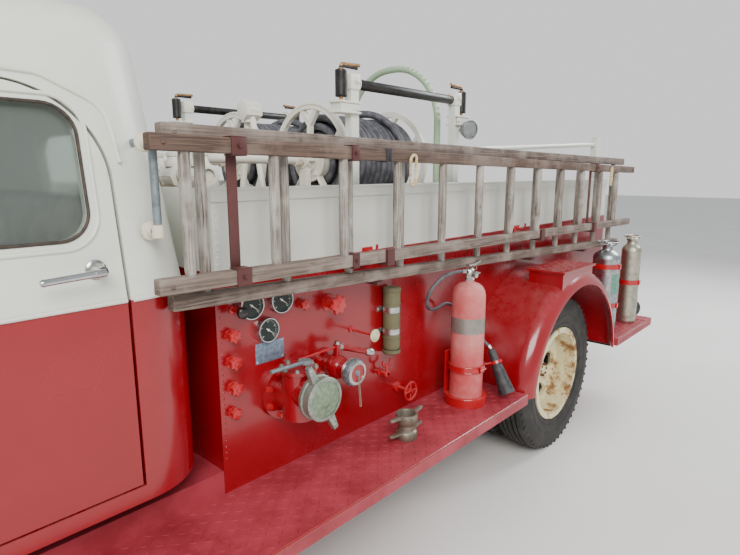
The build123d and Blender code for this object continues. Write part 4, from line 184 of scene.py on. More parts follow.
def two_tone(name, lower, upper, height):
    """Enamel in two colours that meet on a level line, chalked and chipped like the rest of the body."""
    def recipe(node, place):
        above = node("MapRange", {0: node("SeparateXYZ", {0: place}, "Z"), 1: height - MM, 2: height + MM},
                **SOFT)
        mottle = cloud(node, place, 38, 6, 0.65)
        spots = cloud(node, place, 150, 4, 0.6)
        chalk = node("MapRange", {0: cloud(node, place, 420, 5, 0.6), 1: 0.38, 2: 0.72, 4: 0.4}, **SOFT)
        low, high = (node("Mix", {0: chalk, 6: fresh, 7: faded}, 2, **MIX) for fresh, faded in (lower, upper))
        paint = node("Mix", {0: above, 6: low, 7: high}, 2, **MIX)
        bare = bare_spots(node, place, mottle, spots, 0.50, 0.62, 0.5)
        paint = node("Mix", {0: bare, 6: paint, 7: "#6A3A26"}, 2, **MIX)
        runs = node("MapRange", {0: cloud(node, place, 26, 5, 0.6, (1, 1, 14)), 1: 0.64, 2: 0.76, 4: 0.35},
                **SOFT)
        paint = node("Mix", {0: node("Math", {0: runs, 1: above}, **TIMES), 6: paint, 7: "#9A6A44"}, 2, **MIX)
        rough = node("MapRange", {0: node("Math", {0: chalk, 1: bare}, **PLUS), 3: 0.22, 4: 0.5})
        grain = node("Math", {0: cloud(node, place, 3.5, 3), 1: 0.3}, **TIMES)
        return {"Base Color": paint, "Roughness": rough, "Coat Weight": 0.4, "Coat Roughness": 0.12,
                "Normal": raised(node, grain, 0.3)}
    return new_finish(name, recipe)


def old_metal(name, colour, tarnish, rough=0.35, stain=0.5, rust=0.0, metallic=1.0):
    """Bare or plated metal that has dulled in patches, with rust where rust is above 0."""
    def recipe(node, place):
        dull = node("MapRange", {0: cloud(node, place, 30, 6, 0.65), 1: 0.36, 2: 0.68, 4: stain}, **SOFT)
        rusty = node("MapRange", {0: cloud(node, place, 18, 6, 0.7), 1: 0.62 - rust * 0.3,
                2: 0.70 - rust * 0.3, 4: min(1.0, rust * 1.6)}, **SOFT)
        shade = node("Mix", {0: rusty, 6: node("Mix", {0: dull, 6: colour, 7: tarnish}, 2, **MIX),
                7: "#6B3A1E"}, 2, **MIX)
        bright = node("Math", {0: node("Math", {0: 1.0, 1: rusty}, **LESS), 1: metallic}, **TIMES)
        grit = node("Math", {0: node("Math", {0: dull, 1: rusty}, **PLUS), 1: 0.4}, **TIMES)
        fine = node("Math", {0: cloud(node, place, 3, 4, 0.6), 1: 0.4}, **TIMES)
        return {"Base Color": shade, "Metallic": bright, "Roughness": node("Math", {0: grit, 1: rough},
                **PLUS), "Normal": raised(node, node("Math", {0: fine, 1: rusty}, **PLUS), 0.25)}
    return new_finish(name, recipe)


def old_rubber(name, colour, dusty, dust=0.5, rough=0.8, patch_mm=60):
    """Black rubber that has greyed, with road dust on it."""
    def recipe(node, place):
        grey = node("MapRange", {0: cloud(node, place, patch_mm, 6, 0.6), 1: 0.38, 2: 0.68, 4: dust}, **SOFT)
        return {"Base Color": node("Mix", {0: grey, 6: colour, 7: dusty}, 2, **MIX),
                "Roughness": node("MapRange", {0: grey, 3: rough - 0.15, 4: rough + 0.1}),
                "Normal": raised(node, cloud(node, place, 2.5, 3), 0.3)}
    return new_finish(name, recipe)


def grey_wood(name, colour, dark, pale, stretch=(45, 1, 1)):
    """Wood left out in the weather: silver-grey, with open grain and dark checks along its length."""
    def recipe(node, place):
        grain = cloud(node, place, 5, 8, 0.6, stretch, 0.4)
        checks = cloud(node, place, 3.2, 5, 0.5, tuple(s * 1.4 for s in stretch))
        knots = cloud(node, place, 60, 3, 0.5, tuple(max(1, s / 20) for s in stretch))
        split = node("MapRange", {0: checks, 1: 0.37, 2: 0.31}, **SOFT)
        shade = node("Mix", {0: node("MapRange", {0: grain, 1: 0.36, 2: 0.66}, **SOFT), 6: dark, 7: colour}, 2,
                **MIX)
        for mask, above in ((node("MapRange", {0: cloud(node, place, 170, 4, 0.6), 1: 0.42, 2: 0.68, 4: 0.7},
                **SOFT), pale), (node("Math", {0: split, 1: 0.85}, **TIMES), "#2E2822"),
                (node("MapRange", {0: knots, 1: 0.66, 2: 0.72, 4: 0.6}, **SOFT), "#4A3E33"),
                (worn_edges(node, 5, 0.45), pale)):
            shade = node("Mix", {0: mask, 6: shade, 7: above}, 2, **MIX)
        return {"Base Color": shade, "Roughness": 0.82, "Normal": raised(node,
                node("Math", {0: grain, 1: split}, **LESS), 0.9)}
    return new_finish(name, recipe)


def rusted_enamel(name, colour, faded, rust):
    """Cream wheel enamel where rust has bled through in broad blooms."""
    def recipe(node, place):
        blooms = cloud(node, place, 90, 7, 0.68)
        fine = cloud(node, place, 14, 6, 0.7)
        mixed = node("Math", {0: node("Math", {0: blooms, 1: 0.75}, **TIMES),
                1: node("Math", {0: fine, 1: 0.25}, **TIMES)}, **PLUS)
        bloom = node("MapRange", {0: mixed, 1: 0.50, 2: 0.60}, **SOFT)
        paint = node("Mix", {0: node("MapRange", {0: fine, 1: 0.35, 2: 0.65}, **SOFT), 6: colour, 7: faded}, 2,
                **MIX)
        halo = node("MapRange", {0: blooms, 1: 0.44, 2: 0.60, 4: 0.55}, **SOFT)
        paint = node("Mix", {0: halo, 6: paint, 7: "#B8863E"}, 2, **MIX)
        paint = node("Mix", {0: node("Math", {0: bloom, 1: 0.85}, **TIMES), 6: paint, 7: rust}, 2, **MIX)
        relief = node("Math", {0: node("Math", {0: bloom, 1: 0.5}, **TIMES),
                1: node("Math", {0: fine, 1: 0.4}, **TIMES)}, **PLUS)
        return {"Base Color": paint, "Roughness": node("MapRange", {0: bloom, 3: 0.42, 4: 0.85}),
                "Normal": raised(node, relief, 0.6)}
    return new_finish(name, recipe)


def flat_finish(name, colour, second, rough=0.45, metallic=0.0, patch_mm=20, depth=0.1, coat=0.0):
    """A plain finish that is mottled between two near colours, with a fine grain."""
    def recipe(node, place):
        patches = cloud(node, place, patch_mm, 5, 0.6)
        mask = node("MapRange", {0: patches, 1: 0.35, 2: 0.68}, **SOFT)
        return {"Base Color": node("Mix", {0: mask, 6: colour, 7: second}, 2, **MIX),
                "Roughness": node("MapRange", {0: patches, 3: rough - 0.06, 4: rough + 0.10}),
                "Metallic": metallic, "Coat Weight": coat,
                "Normal": raised(node, cloud(node, place, 2.0, 3), depth)}
    return new_finish(name, recipe)


def lamp_lens(name, colour, ribs_mm=6.0):
    """Pressed lens glass: coloured, glossy, with upright ribs."""
    def recipe(node, place):
        ribs = node("TexWave", {"Vector": place, "Scale": 1 / (ribs_mm * MM) / 6.283}, "Fac",
                bands_direction="Y")
        return {"Base Color": colour, "Transmission Weight": 0.75, "Roughness": 0.10,
                "Normal": raised(node, ribs, 0.6)}
    return new_finish(name, recipe)


def window_glass(name):
    """Old float glass in a vehicle: clear, slightly green, with a thin film of dust."""
    def recipe(node, place):
        film = cloud(node, place, 120, 5, 0.6)
        return {"Base Color": "#DDE8E2", "Transmission Weight": 0.93, "IOR": 1.45,
                "Roughness": node("MapRange", {0: film, 3: 0.02, 4: 0.14})}
    return new_finish(name, recipe)


def cracked_leather(name, colour, dark):
    """Old leathercloth on a bench: fine pebbled grain, rubbed pale on top."""
    def recipe(node, place):
        pebbles = node("TexVoronoi", {"Vector": place, "Scale": 1 / (4 * MM)}, "Distance")
        rubbed = cloud(node, place, 140, 5, 0.6)
        mask = node("MapRange", {0: rubbed, 1: 0.35, 2: 0.66}, **SOFT)
        return {"Base Color": node("Mix", {0: mask, 6: dark, 7: colour}, 2, **MIX),
                "Roughness": node("MapRange", {0: rubbed, 3: 0.42, 4: 0.66}),
                "Normal": raised(node, pebbles, 0.5)}
    return new_finish(name, recipe)


MATERIALS = {}


def make_materials(paint):
    """Every finish of the vehicle, by the name of its slot in the record."""
    # Alkyd enamel, brushed and sprayed over the years: deep red, glossy, chalky on top
    MATERIALS["red_paint"] = aged_paint("RedEnamel", paint.red, paint.red_faded, "#4E2018", fade=0.40,
            streaks=0.25, chips=0.4, gloss=0.20, dust=0.20, coat=0.5, dust_colour="#B05A58")
    # Off-white enamel with a green cast, matt with age, with rust runs from its seams
    MATERIALS["cream_paint"] = aged_paint("CreamEnamel", paint.cream, paint.cream_faded, "#8C5A38", fade=0.5,
            streaks=0.5, chips=0.45, gloss=0.34, dust=0.25, coat=0.15, dust_colour="#A9A290")
    # Wheel enamel with rust coming through
    MATERIALS["wheel_paint"] = rusted_enamel("WheelEnamel", paint.wheel, "#E6DEB8", "#7A4A1E")
    # Black chassis paint under road dust
    MATERIALS["frame_black"] = aged_paint("ChassisBlack", "#1E1C1A", "#3A3632", "#4A2E1E", fade=0.6,
            streaks=0.6, chips=0.7, gloss=0.5, dust=0.6, coat=0.0, dust_colour="#6E6458")
    # White enamel on cast reels
    MATERIALS["reel_paint"] = aged_paint("ReelEnamel", "#EAE6D8", "#F2EFE4", "#8A5A34", fade=0.5, streaks=0.7,
            chips=0.6, gloss=0.36, dust=0.3, coat=0.1, dust_colour="#A59A84")
    # Sun-bleached red on the hand extinguisher
    MATERIALS["faded_red_paint"] = aged_paint("BleachedRed", paint.bottle, "#D98E88", "#8A8A84", fade=0.9,
            streaks=0.3, chips=0.5, gloss=0.45, dust=0.3, coat=0.0, dust_colour="#D0A8A0")
    # Olive drab paint on a steel tube
    MATERIALS["olive_paint"] = aged_paint("OliveDrab", "#5E5A3E", "#7A765A", "#3A2E22", fade=0.6, streaks=0.5,
            chips=0.6, gloss=0.55, dust=0.3, coat=0.0, dust_colour="#8A8470")
    # Tyre tread compound, greyed by the road
    MATERIALS["tyre_rubber"] = old_rubber("TyreRubber", paint.tyre, "#4A4640", dust=0.55)
    # Smooth rubber cover of booster hose
    MATERIALS["hose_rubber"] = old_rubber("HoseRubber", "#4A4A50", "#77767C", dust=0.6, rough=0.55, patch_mm=30)
    # Phenolic rollers, black and dull
    MATERIALS["black_rollers"] = old_rubber("RollerBlack", "#141312", "#3C3834", dust=0.4, rough=0.5,
            patch_mm=40)
    # Moulded hard rubber of the steering wheel
    MATERIALS["black_plastic"] = old_rubber("HardRubber", "#121212", "#2A2826", dust=0.3, rough=0.35,
            patch_mm=80)
    MATERIALS["window_glass"] = window_glass("WindowGlass")
    # Chromium plate over brass, pitted in places
    MATERIALS["bright_chrome"] = old_metal("PittedChrome", "#C9CBCC", "#8A8782", rough=0.12, stain=0.4,
            rust=0.08)
    # Bronze fittings that have browned
    MATERIALS["old_brass"] = old_metal("BrownedBronze", "#9C8256", "#5A4A34", rough=0.38, stain=0.8)
    # Galvanised steel pipe, blue-grey, rust at its threads
    MATERIALS["weathered_steel"] = old_metal("GreyPipe", "#8C979C", "#5C6468", rough=0.48, stain=0.6,
            rust=0.12, metallic=0.6)
    # Mild steel exhaust, rusted through its finish
    MATERIALS["rusty_steel"] = old_metal("RustyExhaust", "#5A4A40", "#3A2C24", rough=0.75, stain=0.7, rust=0.7,
            metallic=0.5)
    # Cast iron under oil and dust
    MATERIALS["cast_iron_block"] = old_metal("OilyIron", "#3E3C3A", "#26221E", rough=0.6, stain=0.7, rust=0.15,
            metallic=0.6)
    # Ash rails and rungs, silvered by the weather
    MATERIALS["weathered_wood"] = grey_wood("SilveredAsh", paint.wood, "#54463E", "#A0948A")
    # Leathercloth, grey-brown
    MATERIALS["seat_leather"] = cracked_leather("BenchLeathercloth", "#8A7A68", "#5C4E42")


# Nodes whose paint on the vehicle isn't the one of their slot
OWN_FINISH = {"door_left": "door_paint", "door_right": "door_paint", "reel_stands": "reel_paint",
        "running_boards": "board_paint", "ladder_brackets": "brown_iron", "extinguisher_bracket": "pump_red"}


def paint_frame():
    """Gives every carried-over CAD node its finish."""
    slots = {row["node"]: row["material_slot"] for row in frame["record"]["subparts"]}
    for name, node in frame["nodes"].items():
        finish = MATERIALS[OWN_FINISH.get(name, slots[name])]
        node.data.materials.clear()
        node.data.materials.append(finish)


def make_trim_materials(paint):
    """Finishes of the small pieces that the record has no slot for."""
    # Ash rungs: the same silvered wood with its grain upright
    MATERIALS["rung_wood"] = grey_wood("SilveredAshRung", "#A39B92", "#6A6058", "#C2BCB2", stretch=(1, 1, 30))
    # The top rail's ash, still brown where hands and straps have rubbed it
    MATERIALS["browned_wood"] = grey_wood("BrownedAshRail", "#6A5448", "#43332B", "#877468")
    # Red lead primer gone brown on strap iron
    MATERIALS["brown_iron"] = aged_paint("BrownStrapIron", "#4E2624", "#643834", "#2E1A16", fade=0.6,
            streaks=0.5, chips=0.8, gloss=0.5, dust=0.2, coat=0.0, dust_colour="#6E5A54")
    # Friction tape and blackened rod
    MATERIALS["black_tape"] = flat_finish("FrictionTape", "#1E1C1E", "#38343A", rough=0.75)
    # Cream braided cord stiff with paint
    MATERIALS["cream_cord"] = flat_finish("CreamRing", "#E4D6AE", "#B89A62", rough=0.6, patch_mm=12, depth=0.4)
    # Bent rod under yellowed varnish
    MATERIALS["tan_rod"] = flat_finish("TanRod", "#C49A6A", "#8A6A48", rough=0.4, metallic=0.5, patch_mm=10)
    MATERIALS["frame_grey"] = flat_finish("GreyLampEnamel", "#8E9494", "#6E7474", rough=0.4, coat=0.2)
    MATERIALS["lamp_lens"] = lamp_lens("LampLens", "#E8EEF0")
    MATERIALS["red_lens"] = lamp_lens("RedLens", "#A80E12", ribs_mm=4.0)
    # Pipe unions where rust has come through the white enamel
    MATERIALS["rusty_joint"] = aged_paint("RustedUnion", "#E2DAC6", "#D9CDB4", "#8A4418", fade=0.7,
            streaks=1.0, chips=1.0, gloss=0.5, dust=0.2, coat=0.0)
    # The hoop's pale green: partly its own enamel, partly a painted reflection of green surroundings
    MATERIALS["hoop_green_and_reflection"] = aged_paint("PaleGreenEnamelAndReflection", paint.hoop, "#B2C8AA", "#7A5A3A", fade=0.5,
            streaks=0.4, chips=0.4, gloss=0.4, dust=0.2, coat=0.0)
    MATERIALS["door_paint"] = two_tone("DoorEnamel", (paint.red, paint.red_faded),
            (paint.cream, paint.cream_faded), CAB_BELT_HEIGHT + 0.002)
    # Dial cards under glass
    MATERIALS["dial_dark"] = flat_finish("DialBlack", "#16201E", "#22302C", rough=0.5)
    MATERIALS["dial_mark"] = flat_finish("DialMark", "#E8E6DA", "#D8D6CA", rough=0.5)
    # Anodised blank plate, blue-grey
    MATERIALS["blank_plate"] = flat_finish("BlankPlate", "#8FA0B4", "#6E7E92", rough=0.38, metallic=0.5,
            patch_mm=14)
    # Moulded black knob
    MATERIALS["black_knob"] = flat_finish("BlackKnob", "#181617", "#2A2628", rough=0.3, coat=0.3)
    MATERIALS["cream_knob"] = flat_finish("CreamKnob", "#D8D0AE", "#B8AE8A", rough=0.3, coat=0.4)
    # Cast caps: grey-green with bright turned edges
    MATERIALS["cap_grey"] = old_metal("CapCasting", "#A9AFA4", "#6E7A6C", rough=0.42, stain=0.7, metallic=0.75)
    MATERIALS["cap_green"] = flat_finish("CapGreen", "#6E7E66", "#8A9A80", rough=0.5, metallic=0.3, patch_mm=16)
    MATERIALS["blue_cap"] = flat_finish("BlueGreyCap", "#8C9AA0", "#6A787E", rough=0.42, metallic=0.6,
            patch_mm=12)
    # Glossy red of the pump's castings
    MATERIALS["pump_red"] = aged_paint("PumpRed", "#B40E1A", "#BC2A2C", "#5A221C", fade=0.35, streaks=0.1,
            chips=0.5, gloss=0.22, dust=0.2, coat=0.5, dust_colour="#C08078")
    # Bare metal band on the bottle
    MATERIALS["band_metal"] = flat_finish("BareBand", "#9C968E", "#8E8880", rough=0.5, metallic=0.5,
            patch_mm=40)
    MATERIALS["black_horn"] = flat_finish("HornRubber", "#2A2A2C", "#4A4A4C", rough=0.55, patch_mm=30)
    MATERIALS["valve_silver"] = old_metal("ValveSilver", "#C9C7C2", "#8E8A84", rough=0.25, stain=0.4)
    MATERIALS["nickel"] = old_metal("DulledNickel", "#B4B8BA", "#7E8284", rough=0.26, stain=0.6)
    MATERIALS["green_label"] = flat_finish("GreenLabel", "#4E8A78", "#7AA090", rough=0.5, patch_mm=18)
    MATERIALS["aged_brass"] = old_metal("WornNickelBrass", "#C2BEAE", "#8E8A78", rough=0.32, stain=0.6)
    MATERIALS["adapter_bronze"] = old_metal("GreyBronze", "#9A9484", "#6A6456", rough=0.42, stain=0.7,
            metallic=0.8)
    # Sunned enamel on the running boards: pink where feet and sun have worn it
    MATERIALS["board_paint"] = flat_finish("SunnedBoardEnamel", paint.board, "#8C2630", rough=0.5,
            patch_mm=160, depth=0.2)
    MATERIALS["window_rubber"] = flat_finish("WindowRubber", "#2A2420", "#4A3C32", rough=0.6)
    MATERIALS["rusty_nuts"] = old_metal("RustedNuts", "#6E5A4A", "#4A3426", rough=0.6, stain=0.8, rust=0.6,
            metallic=0.6)


# Tools that make pieces
UP = (0, 0, 1)
AHEAD = (1, 0, 0)
BACK = (-1, 0, 0)


def add_object(name, data):
    """Puts a mesh, curve, lamp or camera into the scene as an object at the origin."""
    made = bpy.data.objects.new(name, data)
    bpy.context.scene.collection.objects.link(made)
    return made


def turned(origin, way, across=None):
    """A matrix whose own z runs along way, with its x nearest to across."""
    z = Vector(way).normalized()
    x = Vector(across) if across else (Vector((0, 0, 1)) if abs(z.z) < 0.9 else Vector((1, 0, 0)))
    y = z.cross(x).normalized()
    x = y.cross(z)
    return Matrix(((x.x, y.x, z.x, origin[0]), (x.y, y.y, z.y, origin[1]), (x.z, y.z, z.z, origin[2]),
            (0, 0, 0, 1)))


def add_box(mesh, low, high, bevel=0.0, place=None):
    """A box between two corners, with its edges rounded off."""
    middle = [(a + b) / 2 for a, b in zip(low, high)]
    size = [abs(b - a) for a, b in zip(low, high)]
    made = bmesh.ops.create_cube(mesh, size=1.0, matrix=Matrix.Translation(middle)
            @ Matrix.Diagonal((*size, 1)))
    verts = made["verts"]
    if bevel:
        edges = list({edge for vert in verts for edge in vert.link_edges})
        faces = bmesh.ops.bevel(mesh, geom=edges, offset=bevel, affect="EDGES", segments=2, profile=0.5,
                material=-1)["faces"]
        verts = list({vert for face in faces for vert in face.verts})
    if place:
        bmesh.ops.transform(mesh, matrix=place, verts=verts)
    return verts


def add_rod(mesh, start, end, radius, end_radius=None, sides=20):
    """A round rod or cone between two points."""
    run = Vector(end) - Vector(start)
    middle = (Vector(start) + Vector(end)) / 2
    bmesh.ops.create_cone(mesh, cap_ends=True, segments=sides, radius1=radius,
            radius2=radius if end_radius is None else end_radius, depth=run.length, matrix=turned(middle, run))


def add_lathe(mesh, origin, axis, profile, sides=48):
    """A profile of (along, radius) pairs, spun all the way round an axis."""
    place = turned(origin, axis)
    verts = [bmesh.ops.create_vert(mesh, co=place @ Vector((radius, 0, along)))["vert"][0] for along,
            radius in profile]
    edges = [bmesh.ops.contextual_create(mesh, geom=[a, b])["edges"][0] for a, b in zip(verts, verts[1:])]
    bmesh.ops.spin(mesh, geom=verts + edges, cent=origin, axis=Vector(axis).normalized(), angle=math.tau,
            steps=sides, use_merge=True, use_normal_flip=False)


def add_turned(mesh, origin, axis, profile, sides=48):
    """A turned shape whose profile is in millimetres, spun all the way round an axis."""
    add_lathe(mesh, origin, axis, [(along * MM, radius * MM) for along, radius in profile], sides)


def around(count, start=0.0):
    """The cosine and sine of evenly spaced directions round a circle, from a share of one step."""
    angles = (math.tau * (i + start) / count for i in range(count))
    return [(math.cos(angle), math.sin(angle)) for angle in angles]


def add_ring(mesh, origin, axis, radius, thick, sides=48, round_sides=10):
    """A round ring of round section."""
    add_lathe(mesh, origin, axis, [(thick * math.sin(math.tau * i / round_sides),
            radius + thick * math.cos(math.tau * i / round_sides)) for i in range(round_sides + 1)], sides)


def add_plate(mesh, outline, thick, place, bevel=0.0):
    """A flat plate from an outline of (x, y) pairs, raised along its place's own z."""
    verts = [bmesh.ops.create_vert(mesh, co=place @ Vector((x, y, 0)))["vert"][0] for x, y in outline]
    face = bmesh.ops.contextual_create(mesh, geom=verts)["faces"][0]
    made = bmesh.ops.extrude_face_region(mesh, geom=[face], use_keep_orig=True)["geom"]
    top = [item for item in made if isinstance(item, bmesh.types.BMVert)]
    rise = (place.to_3x3() @ Vector((0, 0, 1))) * thick
    bmesh.ops.translate(mesh, vec=rise, verts=top)
    if bevel:
        caps = [item for item in made if isinstance(item, bmesh.types.BMFace)]
        edges = list({edge for cap in caps for edge in cap.edges})
        bmesh.ops.bevel(mesh, geom=edges, offset=bevel, affect="EDGES", segments=2, profile=0.5, material=-1)


def add_tube(mesh, points, radius, sides=12, closed=False, tip=None):
    """A round tube through a row of points, with rings bridged one to the next."""
    rings = []
    points = [Vector(point) for point in points]
    side = None
    for i, point in enumerate(points):
        ahead = points[(i + 1) % len(points)] if closed or i + 1 < len(points) else point
        behind = points[i - 1] if closed or i else point
        way = (ahead - behind).normalized()
        if side is None:
            side = way.orthogonal().normalized()
        side = (side - way * side.dot(way)).normalized()
        width = radius if tip is None else radius + (tip - radius) * i / (len(points) - 1)
        rings.append(bmesh.ops.create_circle(mesh, segments=sides, radius=width,
                matrix=turned(point, way, side))["verts"])
    pairs = list(zip(rings, rings[1:])) + ([(rings[-1], rings[0])] if closed else [])
    for first, second in pairs:
        edges = [edge for ring in (first, second) for edge in ring_edges(ring)]
        bmesh.ops.bridge_loops(mesh, edges=edges)
    if not closed:
        for ring in (rings[0], rings[-1]):
            bmesh.ops.contextual_create(mesh, geom=ring)


def ring_edges(ring):
    """The edges that join the corners of one ring."""
    members = set(ring)
    return list({edge for vert in ring for edge in vert.link_edges if edge.other_vert(vert) in members})


def swung(first, last, steps):
    """An arm of one direction swung evenly into another, as a list of its places."""
    turn = first.angle(last)
    shares = [i / steps for i in range(steps + 1)]
    return [(first * math.sin((1 - share) * turn) + last * math.sin(share * turn)) / math.sin(turn)
            for share in shares]


def rounded(points, bend, steps=6):
    """A route through points, with each corner turned into an arc."""
    points = [Vector(point) for point in points]
    route = [points[0]]
    for before, corner, after in zip(points, points[1:], points[2:]):
        back = (before - corner).normalized()
        ahead = (after - corner).normalized()
        half = back.angle(ahead) / 2
        cut = min(bend / math.tan(half), 0.48 * min((before - corner).length, (after - corner).length))
        centre_way = (back + ahead).normalized()
        radius = cut * math.tan(half)
        centre = corner + centre_way * radius / math.sin(half)
        first = corner + back * cut - centre
        last = corner + ahead * cut - centre
        route += [centre + arm for arm in swung(first, last, steps)]
    route.append(points[-1])
    return route


def add_hex(mesh, origin, axis, radius, height):
    """A hexagon bolt head or nut that stands on a face, with its washer."""
    way = Vector(axis).normalized()
    foot = Vector(origin)
    add_rod(mesh, foot, foot + way * height * 0.2, radius * 1.35, sides=14)
    add_rod(mesh, foot + way * height * 0.2, foot + way * height, radius, radius * 0.94, sides=6)


def add_dome(mesh, origin, axis, radius, height):
    """A low round head, as on a rivet or screw."""
    add_lathe(mesh, origin, axis, [(0, radius), (height * 0.6, radius * 0.8), (height * 0.92, radius * 0.42),
            (height, 0.0)], 10)


def finish_piece(name, mesh, finish, body="chassis", hides=(), smooth=40.0):
    """Turns a bmesh into a piece with its finish, and fixes it to a body."""
    bmesh.ops.remove_doubles(mesh, verts=mesh.verts, dist=0.00002)
    bmesh.ops.recalc_face_normals(mesh, faces=mesh.faces)
    data = bpy.data.meshes.new(name)
    mesh.to_mesh(data)
    mesh.free()
    for face in data.polygons:
        face.use_smooth = True
    data.set_sharp_from_angle(angle=math.radians(smooth))
    piece = add_object(name, data)
    data.materials.append(MATERIALS[finish])
    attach(piece, body)
    if hides:
        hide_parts(*hides)
    return piece


# Ladders
LADDERS = {
    # y of the middle, ends along the length, rail heights at the front and at the rear, first rung
    "Outer": {"y": 0.882, "front": 0.6155, "rear": -3.0275, "front_z": (1.337, 1.711), "rear_z": (1.277, 1.650),
              "first": 0.5175},
    "Inner": {"y": 0.828, "front": 0.5555, "rear": -2.9625, "front_z": (1.275, 1.742), "rear_z": (1.130, 1.707),
              "first": 0.4375},
}
RUNG_STEP = 0.294
RUNGS = 12
LADDER_RAIL = (0.038, 0.044)


def rail_height(ladder, rail, x):
    """The middle height of a ladder's lower or upper rail at a station."""
    share = (x - ladder["rear"]) / (ladder["front"] - ladder["rear"])
    return ladder["rear_z"][rail] + share * (ladder["front_z"][rail] - ladder["rear_z"][rail])


def along_rail(ladder, rail, x):
    """A place on a rail's middle line, with its own x along the rail and z up."""
    slope = rail_height(ladder, rail, x + 1) - rail_height(ladder, rail, x)
    return (Matrix.Translation((x, ladder["y"], rail_height(ladder, rail, x)))
            @ Matrix.Rotation(-math.atan(slope), 4, "Y"))


def make_ladders(sizes):
    """The two hung ladders: sawn rails with worn corners, and round rungs let into them."""
    rails = bmesh.new()
    rungs = bmesh.new()
    chance = random.Random(4)
    top_rail = bmesh.new()
    for ladder_name, ladder in LADDERS.items():
        length = ladder["front"] - ladder["rear"]
        for rail in (0, 1):
            wood = top_rail if (ladder_name, rail) == ("Outer", 1) else rails
            middle = along_rail(ladder, rail, (ladder["front"] + ladder["rear"]) / 2)
            for half in (-1, 1):
                add_box(wood, (half * length / 2, -LADDER_RAIL[0] / 2, -LADDER_RAIL[1] / 2),
                        (0, LADDER_RAIL[0] / 2, LADDER_RAIL[1] / 2), 0.0045, middle)
            for end in (-1, 1):
                bolt_x = (ladder["front"] + ladder["rear"]) / 2 + end * (length / 2 - 0.035)
                spot = along_rail(ladder, rail, bolt_x) @ Vector((0, LADDER_RAIL[0] / 2, 0))
                add_dome(wood, spot, (0, 1, 0), 0.009, 0.004)
        for rung in range(RUNGS):
            x = ladder["first"] - rung * RUNG_STEP
            low = rail_height(ladder, 0, x)
            high = rail_height(ladder, 1, x)
            lean = chance.uniform(-0.003, 0.003)
            add_lathe(rungs, (x + lean, ladder["y"], low + 0.01), UP,
                    [(0, 0.0135), (0.03, 0.0165), ((high - low) * 0.5,
                    sizes.rung_radius + chance.uniform(-0.0006, 0.0006)), (high - low - 0.05, 0.0162),
                    (high - low - 0.02, 0.0135)], 18)
    finish_piece("LadderRails", rails, "weathered_wood", hides=("ladders",))
    finish_piece("LadderTopRail", top_rail, "browned_wood")
    finish_piece("LadderRungs", rungs, "rung_wood")


def make_ladder_straps():
    """Iron straps and clips that hold the ladders together, the tape, and the oval hand rings."""
    outer = LADDERS["Outer"]
    inner = LADDERS["Inner"]
    irons = bmesh.new()
    dark = bmesh.new()
    rings = bmesh.new()
    half_y, half_z = (thick / 2 + 0.001 for thick in LADDER_RAIL)
    # Each row: how far ahead of the rear axle, which rail, and the clip's width
    for ahead, rail, width in ((2.120, 1, 0.050), (2.120, 0, 0.050), (1.650, 1, 0.036), (1.650, 0, 0.034),
            (-0.550, 1, 0.040), (-0.550, 0, 0.040)):
        spot = along_rail(outer, rail, REAR_AXLE_X + ahead)
        for low, high in (((-width / 2, half_y, -half_z - 0.003), (width / 2, half_y + 0.004, half_z + 0.003)),
                ((-width / 2, -half_y, half_z), (width / 2, half_y + 0.004, half_z + 0.004)),
                ((-width / 2, -half_y, -half_z - 0.004), (width / 2, half_y + 0.004, -half_z))):
            add_box(irons, low, high, 0.0012, spot)
        add_hex(irons, spot @ Vector((0, half_y + 0.004, 0)), (0, 1, 0), 0.006, 0.007)
    # The flat strap between the ladders, from the upper rail to the lower
    strap_y = (inner["y"] + LADDER_RAIL[0] / 2 + 0.002, outer["y"] - LADDER_RAIL[0] / 2 - 0.001)
    for ahead, width in ((2.120, 0.034), (-0.550, 0.030)):
        x = REAR_AXLE_X + ahead
        add_box(irons, (x - width / 2, strap_y[1] - 0.006, rail_height(outer, 0, x) - half_z - 0.004),
                (x + width / 2, strap_y[1], rail_height(outer, 1, x) + half_z + 0.004), 0.0015)
    # Thin rods behind the first rungs
    for rung, low_share in ((0, 0.0), (1, 0.35), (2, 0.4)):
        x = outer["first"] - rung * RUNG_STEP - 0.024
        low = rail_height(outer, 0, x)
        high = rail_height(outer, 1, x)
        add_rod(dark, (x, strap_y[1] - 0.004, low + (high - low) * low_share),
                (x - 0.006, strap_y[1] - 0.004, high), 0.004, sides=8)
    # Tape round the upper rail
    spot = along_rail(outer, 1, REAR_AXLE_X + 1.475)
    for turn in (-0.008, 0.007):
        add_box(dark, (turn - 0.009, -half_y - 0.0012, -half_z - 0.0012),
                (turn + 0.009, half_y + 0.0012, half_z + 0.0012), 0.001,
                spot @ Matrix.Rotation(0.06 + turn * 8, 4, "Y"))
    # Oval rings that hang on the upper rail
    for ahead in (1.340, -0.780):
        x = REAR_AXLE_X + ahead
        top = rail_height(outer, 1, x) + 0.020
        y = outer["y"] + LADDER_RAIL[0] / 2 + 0.009
        points = []
        for cosine, sine in around(24):
            straight = 0.036 if sine > 0 else -0.036
            points.append((x + 0.021 * cosine - 0.004 * sine, y + 0.003 * cosine,
                    top - 0.072 + straight + 0.021 * sine))
        add_tube(rings, points, 0.0055, sides=8, closed=True)
    finish_piece("LadderStraps", irons, "brown_iron")
    finish_piece("LadderTapeAndRods", dark, "black_tape")
    finish_piece("LadderHandRings", rings, "cream_cord")


# Reels, with the hose wound on them
REEL_FRONT_X = -0.4275
REEL_REAR_X = -0.9925
REEL_Y = 0.300
REEL_Z = 1.690
HOSE_TURN_RADIUS = 0.018


